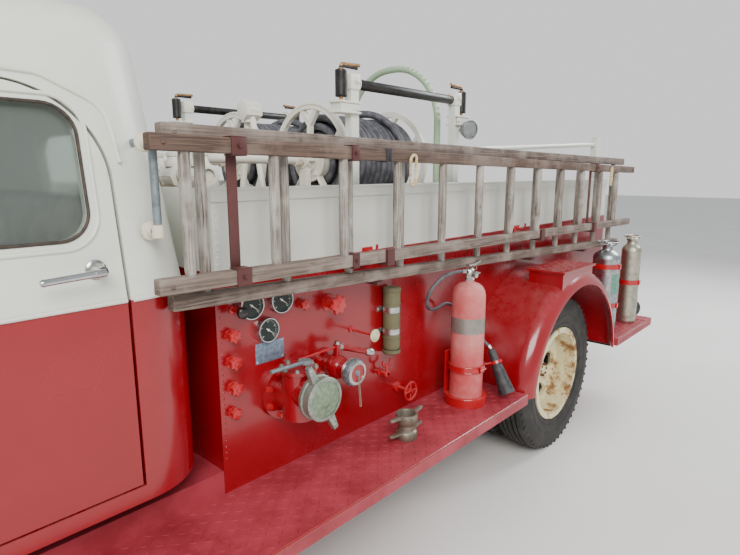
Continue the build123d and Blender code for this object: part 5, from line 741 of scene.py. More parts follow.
def make_reels():
    """Cast flange trim, hubs and tie bolts on both reels."""
    for side_name, side in SIDES:
        mesh = bmesh.new()
        centre_y = side * REEL_Y
        for x, outward in ((REEL_REAR_X, -1), (REEL_FRONT_X, 1)):
            spot = (x + outward * 0.0005, centre_y, REEL_Z)
            add_ring(mesh, (x + outward * -0.004, centre_y, REEL_Z), (outward, 0, 0), 0.2455, 0.0075, 64, 8)
            add_ring(mesh, spot, (outward, 0, 0), 0.226, 0.004, 64, 6)
            add_ring(mesh, spot, (outward, 0, 0), 0.096, 0.006, 48, 8)
            add_turned(mesh, spot, (outward, 0, 0), [(0, 56), (10, 54), (14, 46), (30, 40), (34, 34),
                    (34, 21)], 32)
            for i in range(5):
                angle = math.tau * i / 5 + math.pi / 2
                way = Vector((0, math.cos(angle), math.sin(angle)))
                add_hex(mesh, Vector(spot) + way * 0.078, (outward, 0, 0), 0.008, 0.009)
                add_tube(mesh, [Vector(spot) + way * r + Vector((outward * rise, 0, 0)) for r,
                        rise in ((0.094, 0.001), (0.125, 0.004), (0.158, 0.001))], 0.005, sides=8)
        finish_piece(f"ReelCasting{side_name.title()}", mesh, "reel_paint", body=f"hose_reel_{side_name[0]}")

        hose = bmesh.new()
        chance = random.Random(7 + side)
        start = REEL_REAR_X + 0.022 + HOSE_TURN_RADIUS + 0.002
        end = REEL_FRONT_X - 0.022 - HOSE_TURN_RADIUS - 0.002
        turns = 13
        for layer, radius in ((0, 0.115), (1, 0.151), (2, 0.187)):
            points = []
            steps = 40
            wander = [chance.uniform(-0.0035, 0.0035) for _ in range(turns + 2)]
            for i in range(turns * steps + 1):
                angle = math.tau * i / steps
                turn = i / steps
                slack = wander[int(turn)] * (1 - turn % 1) + wander[int(turn) + 1] * (turn % 1)
                share = turn / turns if layer % 2 == 0 else 1 - turn / turns
                points.append((start + share * (end - start), centre_y + (radius + slack) * math.cos(angle),
                        REEL_Z + (radius + slack) * math.sin(angle)))
            add_tube(hose, points, HOSE_TURN_RADIUS * 0.985, sides=10 if layer == 2 else 6)
        # A loose turn that crosses the others
        loose = []
        for i in range(49):
            angle = math.tau * i / 48
            lift = 0.012 * math.sin(angle) ** 2
            loose.append((start + 0.10 + 0.13 * (0.5 - 0.5 * math.cos(angle)),
                    centre_y + (0.214 + lift) * math.cos(angle), REEL_Z + (0.214 + lift) * math.sin(angle)))
        add_tube(hose, loose[2:-2], HOSE_TURN_RADIUS * 0.985, sides=10)
        finish_piece(f"ReelHose{side_name.title()}", hose, "hose_rubber", body=f"hose_reel_{side_name[0]}",
                hides=(f"reel_hose_{side_name}",), smooth=80)


def make_reel_stand_trim():
    """The white hexagon head over the reels with its collar, the bearing caps and the stand's bolts."""
    mesh = bmesh.new()
    frame_x = REEL_FRONT_X + 0.012 + 0.030 + 0.060
    add_turned(mesh, (frame_x - 0.047, 0, 1.920), AHEAD, [(0, 30), (4, 46), (12, 50), (20, 46), (74, 46),
            (82, 50), (90, 46), (94, 30), (94, 0)], 6)
    add_turned(mesh, (frame_x, 0, 1.862), UP, [(0, 20), (4, 30), (16, 30), (20, 22)], 20)
    for side in (-1, 1):
        for x in (REEL_FRONT_X + 0.012, REEL_REAR_X - 0.042):
            cap = (x + 0.015, side * REEL_Y, REEL_Z)
            add_turned(mesh, (x - 0.003, side * REEL_Y, REEL_Z), AHEAD,
                    [(0, 21.5), (0, 38), (4, 41), (32, 41), (36, 38), (36, 21.5)], 28)
            for way in (-1, 1):
                add_box(mesh, (cap[0] - 0.013, cap[1] + way * 0.034, cap[2] - 0.008),
                        (cap[0] + 0.013, cap[1] + way * 0.062, cap[2] + 0.004), 0.002)
                add_hex(mesh, (cap[0], cap[1] + way * 0.052, cap[2] + 0.004), UP, 0.008, 0.010)
                add_box(mesh, (x, side * REEL_Y + way * 0.024, 1.458),
                        (x + 0.030, side * REEL_Y + way * 0.062, 1.464), 0.001)
                add_hex(mesh, (x + 0.015, side * REEL_Y + way * 0.046, 1.464), UP, 0.007, 0.009)
    finish_piece("ReelStandTrim", mesh, "reel_paint")


def make_roller_trim():
    """Shelves, pins, end plates and bent tops of the guide rollers, and the small work lamp."""
    white = bmesh.new()
    bright = bmesh.new()
    black = bmesh.new()
    lamp = bmesh.new()
    for side in (-1, 1):
        y = side * 0.640
        for x, outward in ((REAR_AXLE_X + 1.400, 1), (REAR_AXLE_X + 0.680, -1)):
            # The shelf that carries the upright roller: two plates with a block between
            for low in (1.862, 1.901):
                add_box(white, (x - outward * 0.020, y - 0.034, low),
                        (x + outward * 0.098, y + 0.034, low + 0.007), 0.0015)
            add_box(white, (x + outward * 0.022, y - 0.024, 1.869), (x + outward * 0.075, y + 0.024, 1.901),
                    0.002)
            add_box(white, (x - 0.027, y - 0.024, 1.955), (x + 0.027, y + 0.024, 2.016), 0.004)
            for lift in (1.885, 1.990):
                add_hex(white, (x, y + side * 0.025, lift), (0, side, 0), 0.010, 0.011)
            add_turned(white, (x - outward * 0.024, y, 1.980), (-outward, 0, 0), [(0, 26), (6, 26), (8, 20)],
                    24)
            guide = x + outward * 0.060
            add_turned(black, (guide, y, 1.925), UP, [(0, 10), (0, 22.2), (3, 23.6), (8, 23.2), (92, 23.2),
                    (97, 23.6), (100, 22.2), (100, 10)], 32)
            add_turned(bright, (guide, y, 1.905), UP, [(0, 13), (6, 13), (6, 8), (20, 8)], 16)
            route = rounded([(guide, y, 2.024), (guide, y, 2.048),
                    (guide - outward * 0.100, y + side * 0.004, 2.052)], 0.012)
            add_tube(bright, route, 0.0068, sides=10)
            add_turned(bright, (guide, y, 2.026), UP, [(0, 12), (5, 12), (5, 6)], 16)
        # The level roller's sleeve
        add_turned(black, (REAR_AXLE_X + 0.712, y, 1.980), AHEAD,
                [(0, 6), (0, 18.5), (4, 20.5), (652, 20.5), (656, 18.5), (656, 6)], 28)
    # A round work lamp under the rear roller on the left
    spot = Vector((REAR_AXLE_X + 0.640, 0.706, 1.840))
    way = Vector((0.25, 0.95, -0.12)).normalized()
    add_turned(lamp, spot, way, [(-50, 0), (-48, 16), (-34, 34), (-8, 44), (4, 47), (10, 47), (12, 44),
            (10, 41)], 32)
    add_box(lamp, (spot.x - 0.006, 0.640, spot.z - 0.006), (spot.x + 0.006, spot.y - 0.040, spot.z + 0.006),
            0.001)
    lens = bmesh.new()
    add_turned(lens, spot + way * 0.006, way, [(0, 42), (4, 34), (7, 18), (8, 0)], 32)
    finish_piece("RollerShelves", white, "reel_paint")
    finish_piece("RollerSleeves", black, "black_rollers")
    finish_piece("RollerPins", bright, "tan_rod")
    finish_piece("WorkLampBody", lamp, "frame_grey")
    finish_piece("WorkLampLens", lens, "lamp_lens")


def add_handwheel(mesh, centre, way, radius, rim, hub=0.014):
    """A small spoked handwheel with its rim, spokes and nut."""
    way = Vector(way).normalized()
    place = turned(centre, way)
    add_ring(mesh, place @ Vector((0, 0, 0.006)), way, radius, rim, 36, 8)
    for cosine, sine in around(4):
        outer = place @ Vector((radius * cosine, radius * sine, 0.006))
        inner = place @ Vector((hub * 0.5 * cosine, hub * 0.5 * sine, 0.004))
        add_rod(mesh, inner, outer, rim * 0.9, rim * 0.7, sides=8)
    add_lathe(mesh, place @ Vector((0, 0, -0.004)), way, [(0, hub), (0.012, hub), (0.014, hub * 0.8)], 16)
    add_hex(mesh, place @ Vector((0, 0, 0.008)), way, hub * 0.55, 0.008)


def make_manifold():
    """Valves, unions, bonnets and handwheels along the pipe that feeds the reels, with rust at the joints."""
    white = bmesh.new()
    joints = bmesh.new()
    x, z = BODY_FRONT_X - 0.180, 1.620
    for y in (-0.380, -0.190, 0.040, 0.190, 0.380):
        for end in (-1, 1):
            add_turned(white, (x, y + end * 0.036, z), (0, end, 0),
                    [(-30, 43), (0, 44), (4, 48), (14, 48), (18, 40), (18, 28)], 8)
        add_turned(white, (x, y, z + 0.036), UP, [(0, 36), (10, 36), (14, 32), (36, 26), (40, 30), (52, 30),
                (56, 18), (70, 12), (70, 8)], 24)
        add_rod(white, (x, y, z + 0.09), (x, y, z + 0.135), 0.006, sides=10)
        add_handwheel(white, (x, y, z + 0.130), UP, 0.034, rim=0.005)
    for y in (-0.29, -0.085, 0.115, 0.285):
        add_turned(joints, (x, y - 0.022, z), (0, 1, 0), [(0, 24.5), (3, 33), (14, 36), (30, 36), (41, 33),
                (44, 24.5)], 8)
    for y in (-0.3, 0.3):
        add_turned(white, (x, y, 1.412), UP, [(0, 60), (8, 60), (11, 56), (12, 30)], 32)
        for cosine, sine in around(4, 0.5):
            add_hex(white, (x + 0.048 * cosine, y + 0.048 * sine, 1.420), UP, 0.007, 0.008)
        add_turned(joints, (x, y, 1.470), UP, [(0, 28.5), (4, 37), (30, 37), (34, 28.5)], 8)
    # The elbows that lead on to each reel's hollow shaft
    for side in (-1, 1):
        route = rounded([(x, side * 0.30, z + 0.02), (x, side * 0.30, REEL_Z),
                (REEL_FRONT_X + 0.056, side * 0.30, REEL_Z)], 0.040)
        add_tube(white, route, 0.021, sides=16)
        add_turned(joints, (REEL_FRONT_X + 0.060, side * 0.30, REEL_Z), AHEAD,
                [(0, 21.5), (2, 31), (26, 31), (30, 21.5)], 8)
    finish_piece("ManifoldValves", white, "reel_paint")
    finish_piece("ManifoldJoints", joints, "rusty_joint")


# Pump panel and its fittings on the left and right walls

def panel_point(side, ahead, height, out=0.0):
    """A place on a side wall, given by its distance ahead of the rear axle and its height."""
    return Vector((REAR_AXLE_X + ahead, side * (BODY_HALF_WIDTH + out), height))


def add_gauge(cases, faces, marks, centre, out, radius, ticks):
    """A round gauge: a stepped bright case, a dial with its divisions, and a pointer."""
    way = Vector((0, out, 0))
    add_lathe(cases, centre, way, [(0.000, radius * 1.02), (0.014, radius * 1.02), (0.018, radius),
            (0.024, radius), (0.027, radius * 0.96), (0.027, radius * 0.90), (0.021, radius * 0.86),
            (0.018, radius * 0.84)], 48)
    add_lathe(faces, centre + way * 0.0185, way, [(0, radius * 0.86), (0.0005, 0.0)], 48)
    for i in range(ticks + 1):
        angle = math.radians(225 - 270 * i / ticks)
        long_tick = i % 5 == 0
        reach = (0.60 if long_tick else 0.70) * radius
        across = Vector((math.cos(angle) * out, 0, math.sin(angle)))
        start = centre + way * 0.0192 + across * reach
        end = centre + way * 0.0192 + across * radius * 0.80
        add_rod(marks, start, end, 0.0009 if long_tick else 0.0005, sides=4)
    turn = math.radians(218)
    pivot = centre + way * 0.0215
    across = Vector((math.cos(turn) * out, 0, math.sin(turn))) * radius
    add_rod(marks, pivot - across * 0.22, pivot + across * 0.66, 0.0022, 0.0006, sides=6)
    add_turned(marks, centre + way * 0.0195, way, [(0, 4.2), (3, 4), (4, 0)], 12)


def add_petal_knob(mesh, centre, way, radius, reach, petals=6):
    """A lobed knob on a stem, as on old drain and priming valves."""
    place = turned(centre, way)
    add_lathe(mesh, centre, way, [(0, radius * 0.95), (0.004, radius * 0.95), (0.006, radius * 0.55),
            (reach - 0.018, radius * 0.42), (reach - 0.016, radius * 0.6)], 24)
    outline = []
    steps = petals * 10
    for i in range(steps):
        angle = math.tau * i / steps
        lobe = radius * (0.92 + 0.13 * math.cos(petals * angle))
        outline.append((lobe * math.cos(angle), lobe * math.sin(angle)))
    add_plate(mesh, outline, 0.014, place @ Matrix.Translation((0, 0, reach - 0.016)), 0.004)
    add_lathe(mesh, place @ Vector((0, 0, reach - 0.002)), way,
            [(0, radius * 0.34), (0.003, radius * 0.30), (0.004, 0.0)], 16)


def make_pump_panel():
    """Gauges, blank plate, knobs, stems and handwheels of the pump panel."""
    for side_name, side in SIDES:
        cases, faces, marks = (bmesh.new() for _ in range(3))
        red, black, cream, bright, plate = (bmesh.new() for _ in range(5))
        # Each row: how far ahead, height, radius, divisions
        for ahead, height, radius, ticks in ((1.991, 1.196, 0.048, 30), (1.865, 1.195, 0.048, 30),
                (1.927, 1.099, 0.044, 20)):
            add_gauge(cases, faces, marks, panel_point(side, ahead, height), side, radius, ticks)
        for ahead, height, radius, reach in ((2.065, 1.107, 0.023, 0.034), (2.066, 1.015, 0.023, 0.034),
                (2.065, 0.924, 0.023, 0.034), (2.069, 0.837, 0.020, 0.030), (1.759, 1.159, 0.020, 0.030)):
            add_petal_knob(red, panel_point(side, ahead, height), (0, side, 0), radius, reach)
        # The plate below the gauges, left blank, with its four screws
        low = panel_point(side, 1.971, 0.978)
        high = panel_point(side, 1.847, 1.052, 0.0022)
        add_box(plate, (low.x, low.y, low.z), (high.x, high.y, high.z), 0.0008)
        for x in (low.x - 0.007, high.x + 0.007):
            for z in (low.z + 0.007, high.z - 0.007):
                add_dome(bright, (x, high.y, z), (0, side, 0), 0.0032, 0.0018)
        # The lobed red handwheel, and beside it the black knob on its red stem
        wheel = panel_point(side, 1.621, 1.139)
        add_petal_knob(red, wheel, (0, side, 0), 0.038, 0.062, petals=7)
        # A black knob on a short red stem beside the first gauge
        stem = panel_point(side, 2.052, 1.190)
        add_turned(red, stem, (0, side, 0), [(0, 16), (6, 16), (9, 8), (46, 8)], 16)
        add_turned(black, stem + Vector((0, side * 0.042, 0)), (0, side, 0),
                [(0, 9), (3, 16), (12, 20.5), (22, 19), (28, 11), (30, 0)], 28)
        # A pale oval knob on a long thin rod
        rod = panel_point(side, 1.500, 1.006)
        add_turned(red, rod, (0, side, 0), [(0, 14), (5, 14), (7, 5), (128, 5)], 14)
        add_turned(cream, rod + Vector((0, side * 0.120, 0)), (0, side, 0),
                [(0, 7), (3, 20), (8, 25.5), (13, 25.5), (18, 19), (20, 0)], 32)
        # A small drain cock with its two ears
        cock = panel_point(side, 1.323, 0.775)
        add_turned(red, cock, (0, side, 0), [(0, 18), (6, 18), (8, 11), (30, 11), (32, 16), (46, 16), (48, 8)],
                20)
        add_rod(red, cock + Vector((0, side * 0.038, 0.006)), cock + Vector((0, side * 0.038, 0.040)), 0.007,
                sides=12)
        for end in (-1, 1):
            add_tube(red, rounded([cock + Vector((0, side * 0.038, 0.036)),
                    cock + Vector((end * 0.022, side * 0.038, 0.040)),
                    cock + Vector((end * 0.026, side * 0.038, 0.062))], 0.010), 0.0055, sides=8)
        # The link from the suction flange to the outlet's lever
        add_rod(red, panel_point(side, 1.800, 0.962, 0.030), panel_point(side, 1.662, 0.986, 0.075), 0.004,
                sides=10)
        # The low red handwheel with its spokes
        low_wheel = panel_point(side, 1.211, 0.674)
        add_turned(red, low_wheel, (0, side, 0), [(0, 24), (10, 24), (14, 9), (92, 9)], 20)
        add_handwheel(red, low_wheel + Vector((0, side * 0.078, 0)), (0, side, 0), 0.040, rim=0.0055)
        # Bolts round the suction flange and the outlet flange
        for count, ahead, height, ring, out, size, rise in ((8, 1.857, 0.852, 0.084, 0.022, 0.0095, 0.012),
                (6, 1.650, 0.905, 0.047, 0.014, 0.006, 0.008)):
            for cosine, sine in around(count, 0.5):
                spot = panel_point(side, ahead + ring * cosine, height + ring * sine, out)
                add_hex(red, spot, (0, side, 0), size, rise)
        title = side_name.title()
        for name, mesh, finish in (("GaugeCases", cases, "bright_chrome"), ("GaugeDials", faces, "dial_dark"),
                ("GaugeMarks", marks, "dial_mark"), ("PanelKnobs", red, "pump_red"),
                ("BlackKnob", black, "black_knob"), ("CreamKnob", cream, "cream_knob"),
                ("PanelBright", bright, "bright_chrome"), ("BlankPlate", plate, "blank_plate")):
            hides = ("panel_controls",) if (name, side) == ("PanelKnobs", 1) else ()
            finish_piece(f"{name}{title}", mesh, finish, hides=hides)


def make_pump_fittings():
    """Cap rims and lugs, the lid's bolts, the valve's handle and tip, and the chain that hangs from the cap."""
    for side_name, side in SIDES:
        grey, green, bright, chain, blue = (bmesh.new() for _ in range(5))
        cap_x, cap_z = REAR_AXLE_X + 1.854, 0.880
        face = side * 0.952
        add_turned(grey, (cap_x, side * 0.906, cap_z), (0, side, 0),
                [(-4, 61), (-4, 76), (0, 78), (10, 78), (13, 73.5), (36, 73.5), (40, 77), (46, 77), (49, 73),
                (49.5, 64)], 56)
        add_turned(green, (cap_x, face + side * 0.0004, cap_z), (0, side, 0),
                [(0, 66), (2, 60), (3.5, 34), (6, 24), (9, 20), (10, 0)], 48)
        for radius, thick in ((0.0570, 0.0016), (0.0390, 0.0014)):
            add_ring(grey, (cap_x, side * 0.9525, cap_z), (0, side, 0), radius, thick, 48, 6)
        lean = math.radians(25)
        for end in (-1, 1):
            # Each lug is a tapered ear with a rounded end
            outline = [(0.060, -0.017), (0.095, -0.014), (0.128, -0.011), (0.137, -0.007), (0.1395, 0.0),
                    (0.137, 0.007), (0.128, 0.011), (0.095, 0.014), (0.060, 0.017)]
            way = Vector((math.sin(lean) * end, 0, math.cos(lean) * end))
            place = turned((cap_x, side * 0.9265, cap_z), (0, side, 0), way)
            add_plate(grey, outline, 0.020, place, 0.004)
            add_dome(grey, Vector((cap_x, side * 0.9465, cap_z)) + way * 0.122, (0, side, 0), 0.007, 0.004)
        lid = (REAR_AXLE_X + 1.857, side * 0.820)
        for cosine, sine in around(8):
            add_hex(grey, (lid[0] + 0.060 * cosine, lid[1] + 0.060 * sine, 0.964), UP, 0.007, 0.010)
        # The outlet's coupling threads, handle nut and lever tip
        out_x, out_z = REAR_AXLE_X + 1.650, 0.905
        for i in range(7):
            add_ring(bright, (out_x, side * (0.868 + i * 0.0048), out_z), (0, side, 0), 0.0452, 0.0016, 40, 6)
        add_turned(bright, (out_x, side * 0.906, out_z), (0, side, 0),
                [(0, 45.2), (2, 45.5), (4, 43), (4, 34), (-10, 33)], 40)
        add_hex(bright, (out_x, side * 0.800, 0.996), UP, 0.011, 0.010)
        lever = Vector((-0.122, side * 0.060, -0.039))
        root = Vector((out_x - 0.008, side * 0.800, 0.982))
        add_turned(bright, root + lever * 0.80, lever, [(0, 11.2), (2, 14.5), (12, 16.5), (26, 16), (34, 11),
                (36, 0)], 20)
        add_turned(bright, tuple(root - lever.normalized() * 0.004), lever,
                [(0, 12), (4, 15.5), (16, 15.5), (20, 12)], 16)
        # The outlet's cap, and the light chain that hangs from it
        add_turned(blue, (out_x, side * 0.902, out_z), (0, side, 0),
                [(-22, 46.2), (-20, 50), (-4, 50), (2, 47), (3.5, 38), (2.5, 36), (3, 12), (7, 10), (8, 0)], 40)
        for cosine, sine in around(14):
            spot = Vector((out_x + 0.0495 * cosine, side * 0.890, out_z + 0.0495 * sine))
            add_rod(blue, spot - Vector((0, 0.008, 0)), spot + Vector((0, 0.008, 0)), 0.0032, sides=6)
        start = Vector((out_x - 0.002, side * 0.909, out_z - 0.002))
        end = Vector((out_x - 0.010, side * 0.912, out_z - 0.128))
        links = 15
        for i in range(links):
            share = (i + 0.5) / links
            spot = start.lerp(end, share)
            way = (end - start).normalized()
            place = turned(spot, way) @ Matrix.Rotation(math.pi / 2 * (i % 2), 4, "Z")
            loop = [place @ Vector((0.0042 * cosine, 0, 0.0062 * sine + (0.0026 if sine > 0 else -0.0026)))
                    for cosine, sine in around(10)]
            add_tube(chain, loop, 0.0012, sides=5, closed=True)
        title = side_name.title()
        finish_piece(f"SuctionCapRims{title}", grey, "cap_grey")
        finish_piece(f"SuctionCapFace{title}", green, "cap_green")
        finish_piece(f"OutletDetail{title}", bright, "valve_silver")
        finish_piece(f"CapChain{title}", chain, "aged_brass")
        finish_piece(f"OutletCap{title}", blue, "blue_cap")


def make_panel_tube():
    """The drab tube clipped to the wall: its bands, ends and clips, and the hose adapter's details."""
    tube, bright = bmesh.new(), bmesh.new()
    x, y = REAR_AXLE_X + 1.291, 0.764
    for z in (0.880, 0.935, 1.085, 1.140):
        add_ring(tube, (x, y, z), UP, 0.0372, 0.0022, 32, 6)
    for z, rise in ((0.868, -1), (1.150, 1)):
        add_turned(tube, (x, y, z), (0, 0, rise), [(-12, 37.5), (-10, 40), (0, 40), (4, 36), (6, 20), (6, 0)],
                32)
    for z in (0.965, 1.060):
        add_turned(bright, (x, y, z - 0.012), UP, [(0, 37.6), (0, 39.5), (24, 39.5), (24, 37.6)], 32)
        for way in (1, -1):
            add_box(bright, (x + way * 0.020, BODY_HALF_WIDTH, z - 0.011),
                    (x + way * 0.056, BODY_HALF_WIDTH + 0.004, z + 0.011), 0.0012)
            add_dome(bright, (x + way * 0.047, BODY_HALF_WIDTH + 0.004, z), (0, 1, 0), 0.0055, 0.003)
    adapter_x, adapter_y = REAR_AXLE_X + 1.380, 0.925
    bronze = bmesh.new()
    add_turned(bronze, (adapter_x, adapter_y, 0.5555), UP,
            [(0, 30), (0, 42.5), (4, 44), (30, 44), (34, 41), (38, 34), (58, 33), (66, 40), (74, 45.5),
            (103, 45.5), (108, 44), (108, 37), (104, 35.5), (70, 33), (68, 15), (68, 0)], 56)
    for lug_z in (0.577, 0.645):
        for i in range(2):
            outline = [(0.038, -0.013), (0.060, -0.0105), (0.092, -0.0085), (0.102, -0.005), (0.104, 0.0),
                    (0.102, 0.005), (0.092, 0.0085), (0.060, 0.0105), (0.038, 0.013)]
            place = (Matrix.Translation((adapter_x, adapter_y, lug_z)) @ Matrix.Rotation(math.pi * i, 4, "Z")
                    @ Matrix.Rotation(-0.10, 4, "Y"))
            add_plate(bronze, outline, 0.011, place, 0.003)
    finish_piece("HoseAdapter", bronze, "adapter_bronze", hides=("hose_adapter",))
    finish_piece("PanelTubeBands", tube, "olive_paint")
    finish_piece("PanelTubeClips", bright, "valve_silver")


# Wheels and tyres
WHEELS = (
    # name, x of the axle, y of the tyre's middle, body, half turn outward
    ("FrontLeft", FRONT_AXLE_X, 0.760, "front_wheels_l", 1),
    ("FrontRight", FRONT_AXLE_X, -0.760, "front_wheels_r", -1),
    ("RearOuterLeft", REAR_AXLE_X, 0.880, "rear_wheels_l", 1),
    ("RearInnerLeft", REAR_AXLE_X, 0.640, "rear_wheels_l", 1),
    ("RearOuterRight", REAR_AXLE_X, -0.880, "rear_wheels_r", -1),
    ("RearInnerRight", REAR_AXLE_X, -0.640, "rear_wheels_r", -1),
)
TYRE_HIDES = {"FrontLeft": ("front_tyre_left",), "FrontRight": ("front_tyre_right",),
        "RearOuterLeft": ("rear_tyres_left",), "RearOuterRight": ("rear_tyres_right",)}
# Half the tyre's section from the tread's middle to the bead, as (out, radius)
TYRE_SECTION = ((0.000, 0.4590), (0.012, 0.4590), (0.014, 0.4475), (0.021, 0.4475), (0.023, 0.4586),
        (0.040, 0.4583), (0.042, 0.4470), (0.049, 0.4470), (0.051, 0.4578), (0.070, 0.4560), (0.078, 0.4520),
        (0.084, 0.4440), (0.090, 0.4250), (0.0965, 0.3950), (0.0985, 0.3700), (0.0975, 0.3450),
        (0.0950, 0.3320), (0.0935, 0.3180), (0.0890, 0.3020), (0.0830, 0.2860), (0.0770, 0.2780),
        (0.0740, 0.2680), (0.0735, 0.2560))


def make_tyres(sizes):
    """Ribbed truck tyres: three grooves round the tread, notched shoulders and raised sidewall rings."""
    for name, axle_x, middle_y, body, outward in WHEELS:
        mesh = bmesh.new()
        section = [(-out, radius) for out, radius in reversed(TYRE_SECTION[1:])] + list(TYRE_SECTION)
        add_lathe(mesh, (axle_x, middle_y, AXLE_HEIGHT), (0, outward, 0), section, 96)
        lugs = sizes.tread_lugs
        for i in range(lugs):
            angle = math.tau * i / lugs
            for half in (-1, 1):
                place = (Matrix.Translation((axle_x, middle_y, AXLE_HEIGHT))
                        @ Matrix.Rotation(angle + (math.pi / lugs if half > 0 else 0), 4, "Y"))
                add_box(mesh, (-0.0075, half * 0.071, 0.4330), (0.0075, half * 0.0895, 0.4500), 0.0022, place)
        for radius, out in ((0.352, 0.0975), (0.306, 0.0905)):
            for half in (-1, 1):
                add_ring(mesh, (axle_x, middle_y + half * out, AXLE_HEIGHT), (0, 1, 0), radius, 0.0022, 72, 6)
        finish_piece(f"Tyre{name}", mesh, "tyre_rubber", body=body, hides=TYRE_HIDES.get(name, ()), smooth=32)


def make_wheel_fittings():
    """Lock rings, wheel nuts on their clamps, hub bolts, caps and valve stems."""
    for side_name, side in SIDES:
        for body, axle_x, rim_y, face_y, hub_end, nuts, ring in (
                (f"front_wheels_{side_name[0]}", FRONT_AXLE_X, 0.760, 0.853, 0.905, 6, 0.112),
                (f"rear_wheels_{side_name[0]}", REAR_AXLE_X, 0.880, 0.785, 0.874, 8, 0.120)):
            iron, paint = bmesh.new(), bmesh.new()
            centre = Vector((axle_x, 0, AXLE_HEIGHT))
            rim_edge = side * (rim_y + 0.079)
            add_turned(paint, (axle_x, rim_edge - side * 0.012, AXLE_HEIGHT), (0, side, 0),
                    [(0, 247), (8, 253.5), (13, 262), (16.5, 270), (18.5, 274.5), (16.5, 276.5), (10, 276),
                    (4, 268)], 72)
            for cosine, sine in around(nuts, 0.5):
                way = Vector((cosine, 0, sine))
                spot = centre + way * ring + Vector((0, side * (face_y + 0.0005), 0))
                add_hex(iron, spot, (0, side, 0), 0.0165, 0.020)
                add_rod(iron, spot + Vector((0, side * 0.016, 0)), spot + Vector((0, side * 0.030, 0)), 0.0085,
                        sides=12)
            hub = Vector((axle_x, side * hub_end, AXLE_HEIGHT))
            for cosine, sine in around(8):
                way = Vector((cosine, 0, sine))
                add_hex(iron, hub + way * 0.036 - Vector((0, side * 0.001, 0)), (0, side, 0), 0.0065, 0.009)
            add_turned(paint, tuple(hub), (0, side, 0), [(-0.5, 27), (4, 25), (8, 18), (10, 0)], 28)
            stem = centre + Vector((0.158, side * (rim_y + 0.030), 0.158))
            add_tube(iron, rounded([stem, stem + Vector((0.004, side * 0.040, 0.004)),
                    stem + Vector((-0.010, side * 0.062, -0.010))], 0.012), 0.0038, sides=8)
            label = body.replace("_", " ").title().replace(" ", "")
            finish_piece(f"{label}Nuts", iron, "rusty_nuts", body=body)
            finish_piece(f"{label}Rings", paint, "wheel_paint", body=body)


# Body and cab trim
def cab_side(z):
    """Half the cab's width at a height."""
    return CAB_HALF_WIDTH - CAB_NARROWING * max(0.0, z - CAB_BELT_HEIGHT) / CAB_ROOF_RISE


def windscreen_rake(z):
    """How far the front pillar has leaned back at a height."""
    return PILLAR_X - max(0.0, z - PILLAR_FOOT) * ROOF_LEAN / CAB_ROOF_RISE


def windscreen_face(z):
    """Where the cab's front face lies at a height."""
    return CAB_FRONT_X - (z - CAB_BELT_HEIGHT) * ROOF_LEAN / CAB_ROOF_RISE


def make_body_trim(sizes):
    """Rivets, seam flanges, the rolled rim and the hooks of the rear body."""
    for side_name, side in SIDES:
        cream, red, iron = bmesh.new(), bmesh.new(), bmesh.new()
        face = side * BODY_HALF_WIDTH
        # The upright flange strip at the body's front edge, with its rivets
        add_box(cream, (BODY_FRONT_X - 0.030, face, 1.322),
                (BODY_FRONT_X - 0.0008, face + side * 0.004, 1.540), 0.001)
        for i in range(9):
            add_dome(cream, (BODY_FRONT_X - 0.015, face + side * 0.004, 1.345 + i * 0.023), (0, side, 0),
                    0.0045, 0.0025)
        for i in range(30):
            add_dome(red, (BODY_FRONT_X - 0.014, face, 0.680 + i * 0.0215), (0, side, 0), 0.0038, 0.002)
        # The bead between the two colours, and the row of rivets below it
        line = face + side * 0.0005
        add_tube(red, [(BODY_FRONT_X - 0.004, line, 1.3155), (BODY_REAR_X + 0.004, line, 1.3155)],
                sizes.bead_radius, sides=8)
        for i in range(46):
            add_dome(red, (BODY_FRONT_X - 0.045 - i * 0.072, face, 1.296), (0, side, 0), sizes.rivet_radius,
                    0.0022)
        # The rolled rim with its seams
        rim_y = BODY_HALF_WIDTH + 0.008
        add_tube(cream, [(BODY_FRONT_X - 0.003, side * (rim_y - 0.0045), BODY_RIM_HEIGHT - 0.003),
                (BODY_REAR_X + 0.003, side * (rim_y - 0.0045), BODY_RIM_HEIGHT - 0.003)], 0.0065, sides=10)
        for ahead in (1.20, 0.20, -0.55):
            x = REAR_AXLE_X + ahead
            add_box(cream, (x - 0.018, side * (rim_y + 0.001), BODY_RIM_HEIGHT - 0.041),
                    (x + 0.018, side * (rim_y - 0.047), BODY_RIM_HEIGHT + 0.0015), 0.0008)
        # Hooks for gear along the upper wall
        for ahead in (1.406, 0.150):
            x = REAR_AXLE_X + ahead
            add_box(iron, (x - 0.030, face, 1.285), (x + 0.030, face + side * 0.005, 1.335), 0.0012)
            for way in (-1, 1):
                add_dome(iron, (x + way * 0.020, face + side * 0.005, 1.310), (0, side, 0), 0.0055, 0.003)
            add_tube(iron, rounded([(x, face + side * 0.003, 1.322), (x, face + side * 0.052, 1.312),
                    (x, face + side * 0.056, 1.350)], 0.014), 0.0055, sides=8)
        title = side_name.title()
        finish_piece(f"BodyBeads{title}", red, "red_paint")
        finish_piece(f"BodyRim{title}", cream, "cream_paint")
        finish_piece(f"BodyHooks{title}", iron, "pump_red")


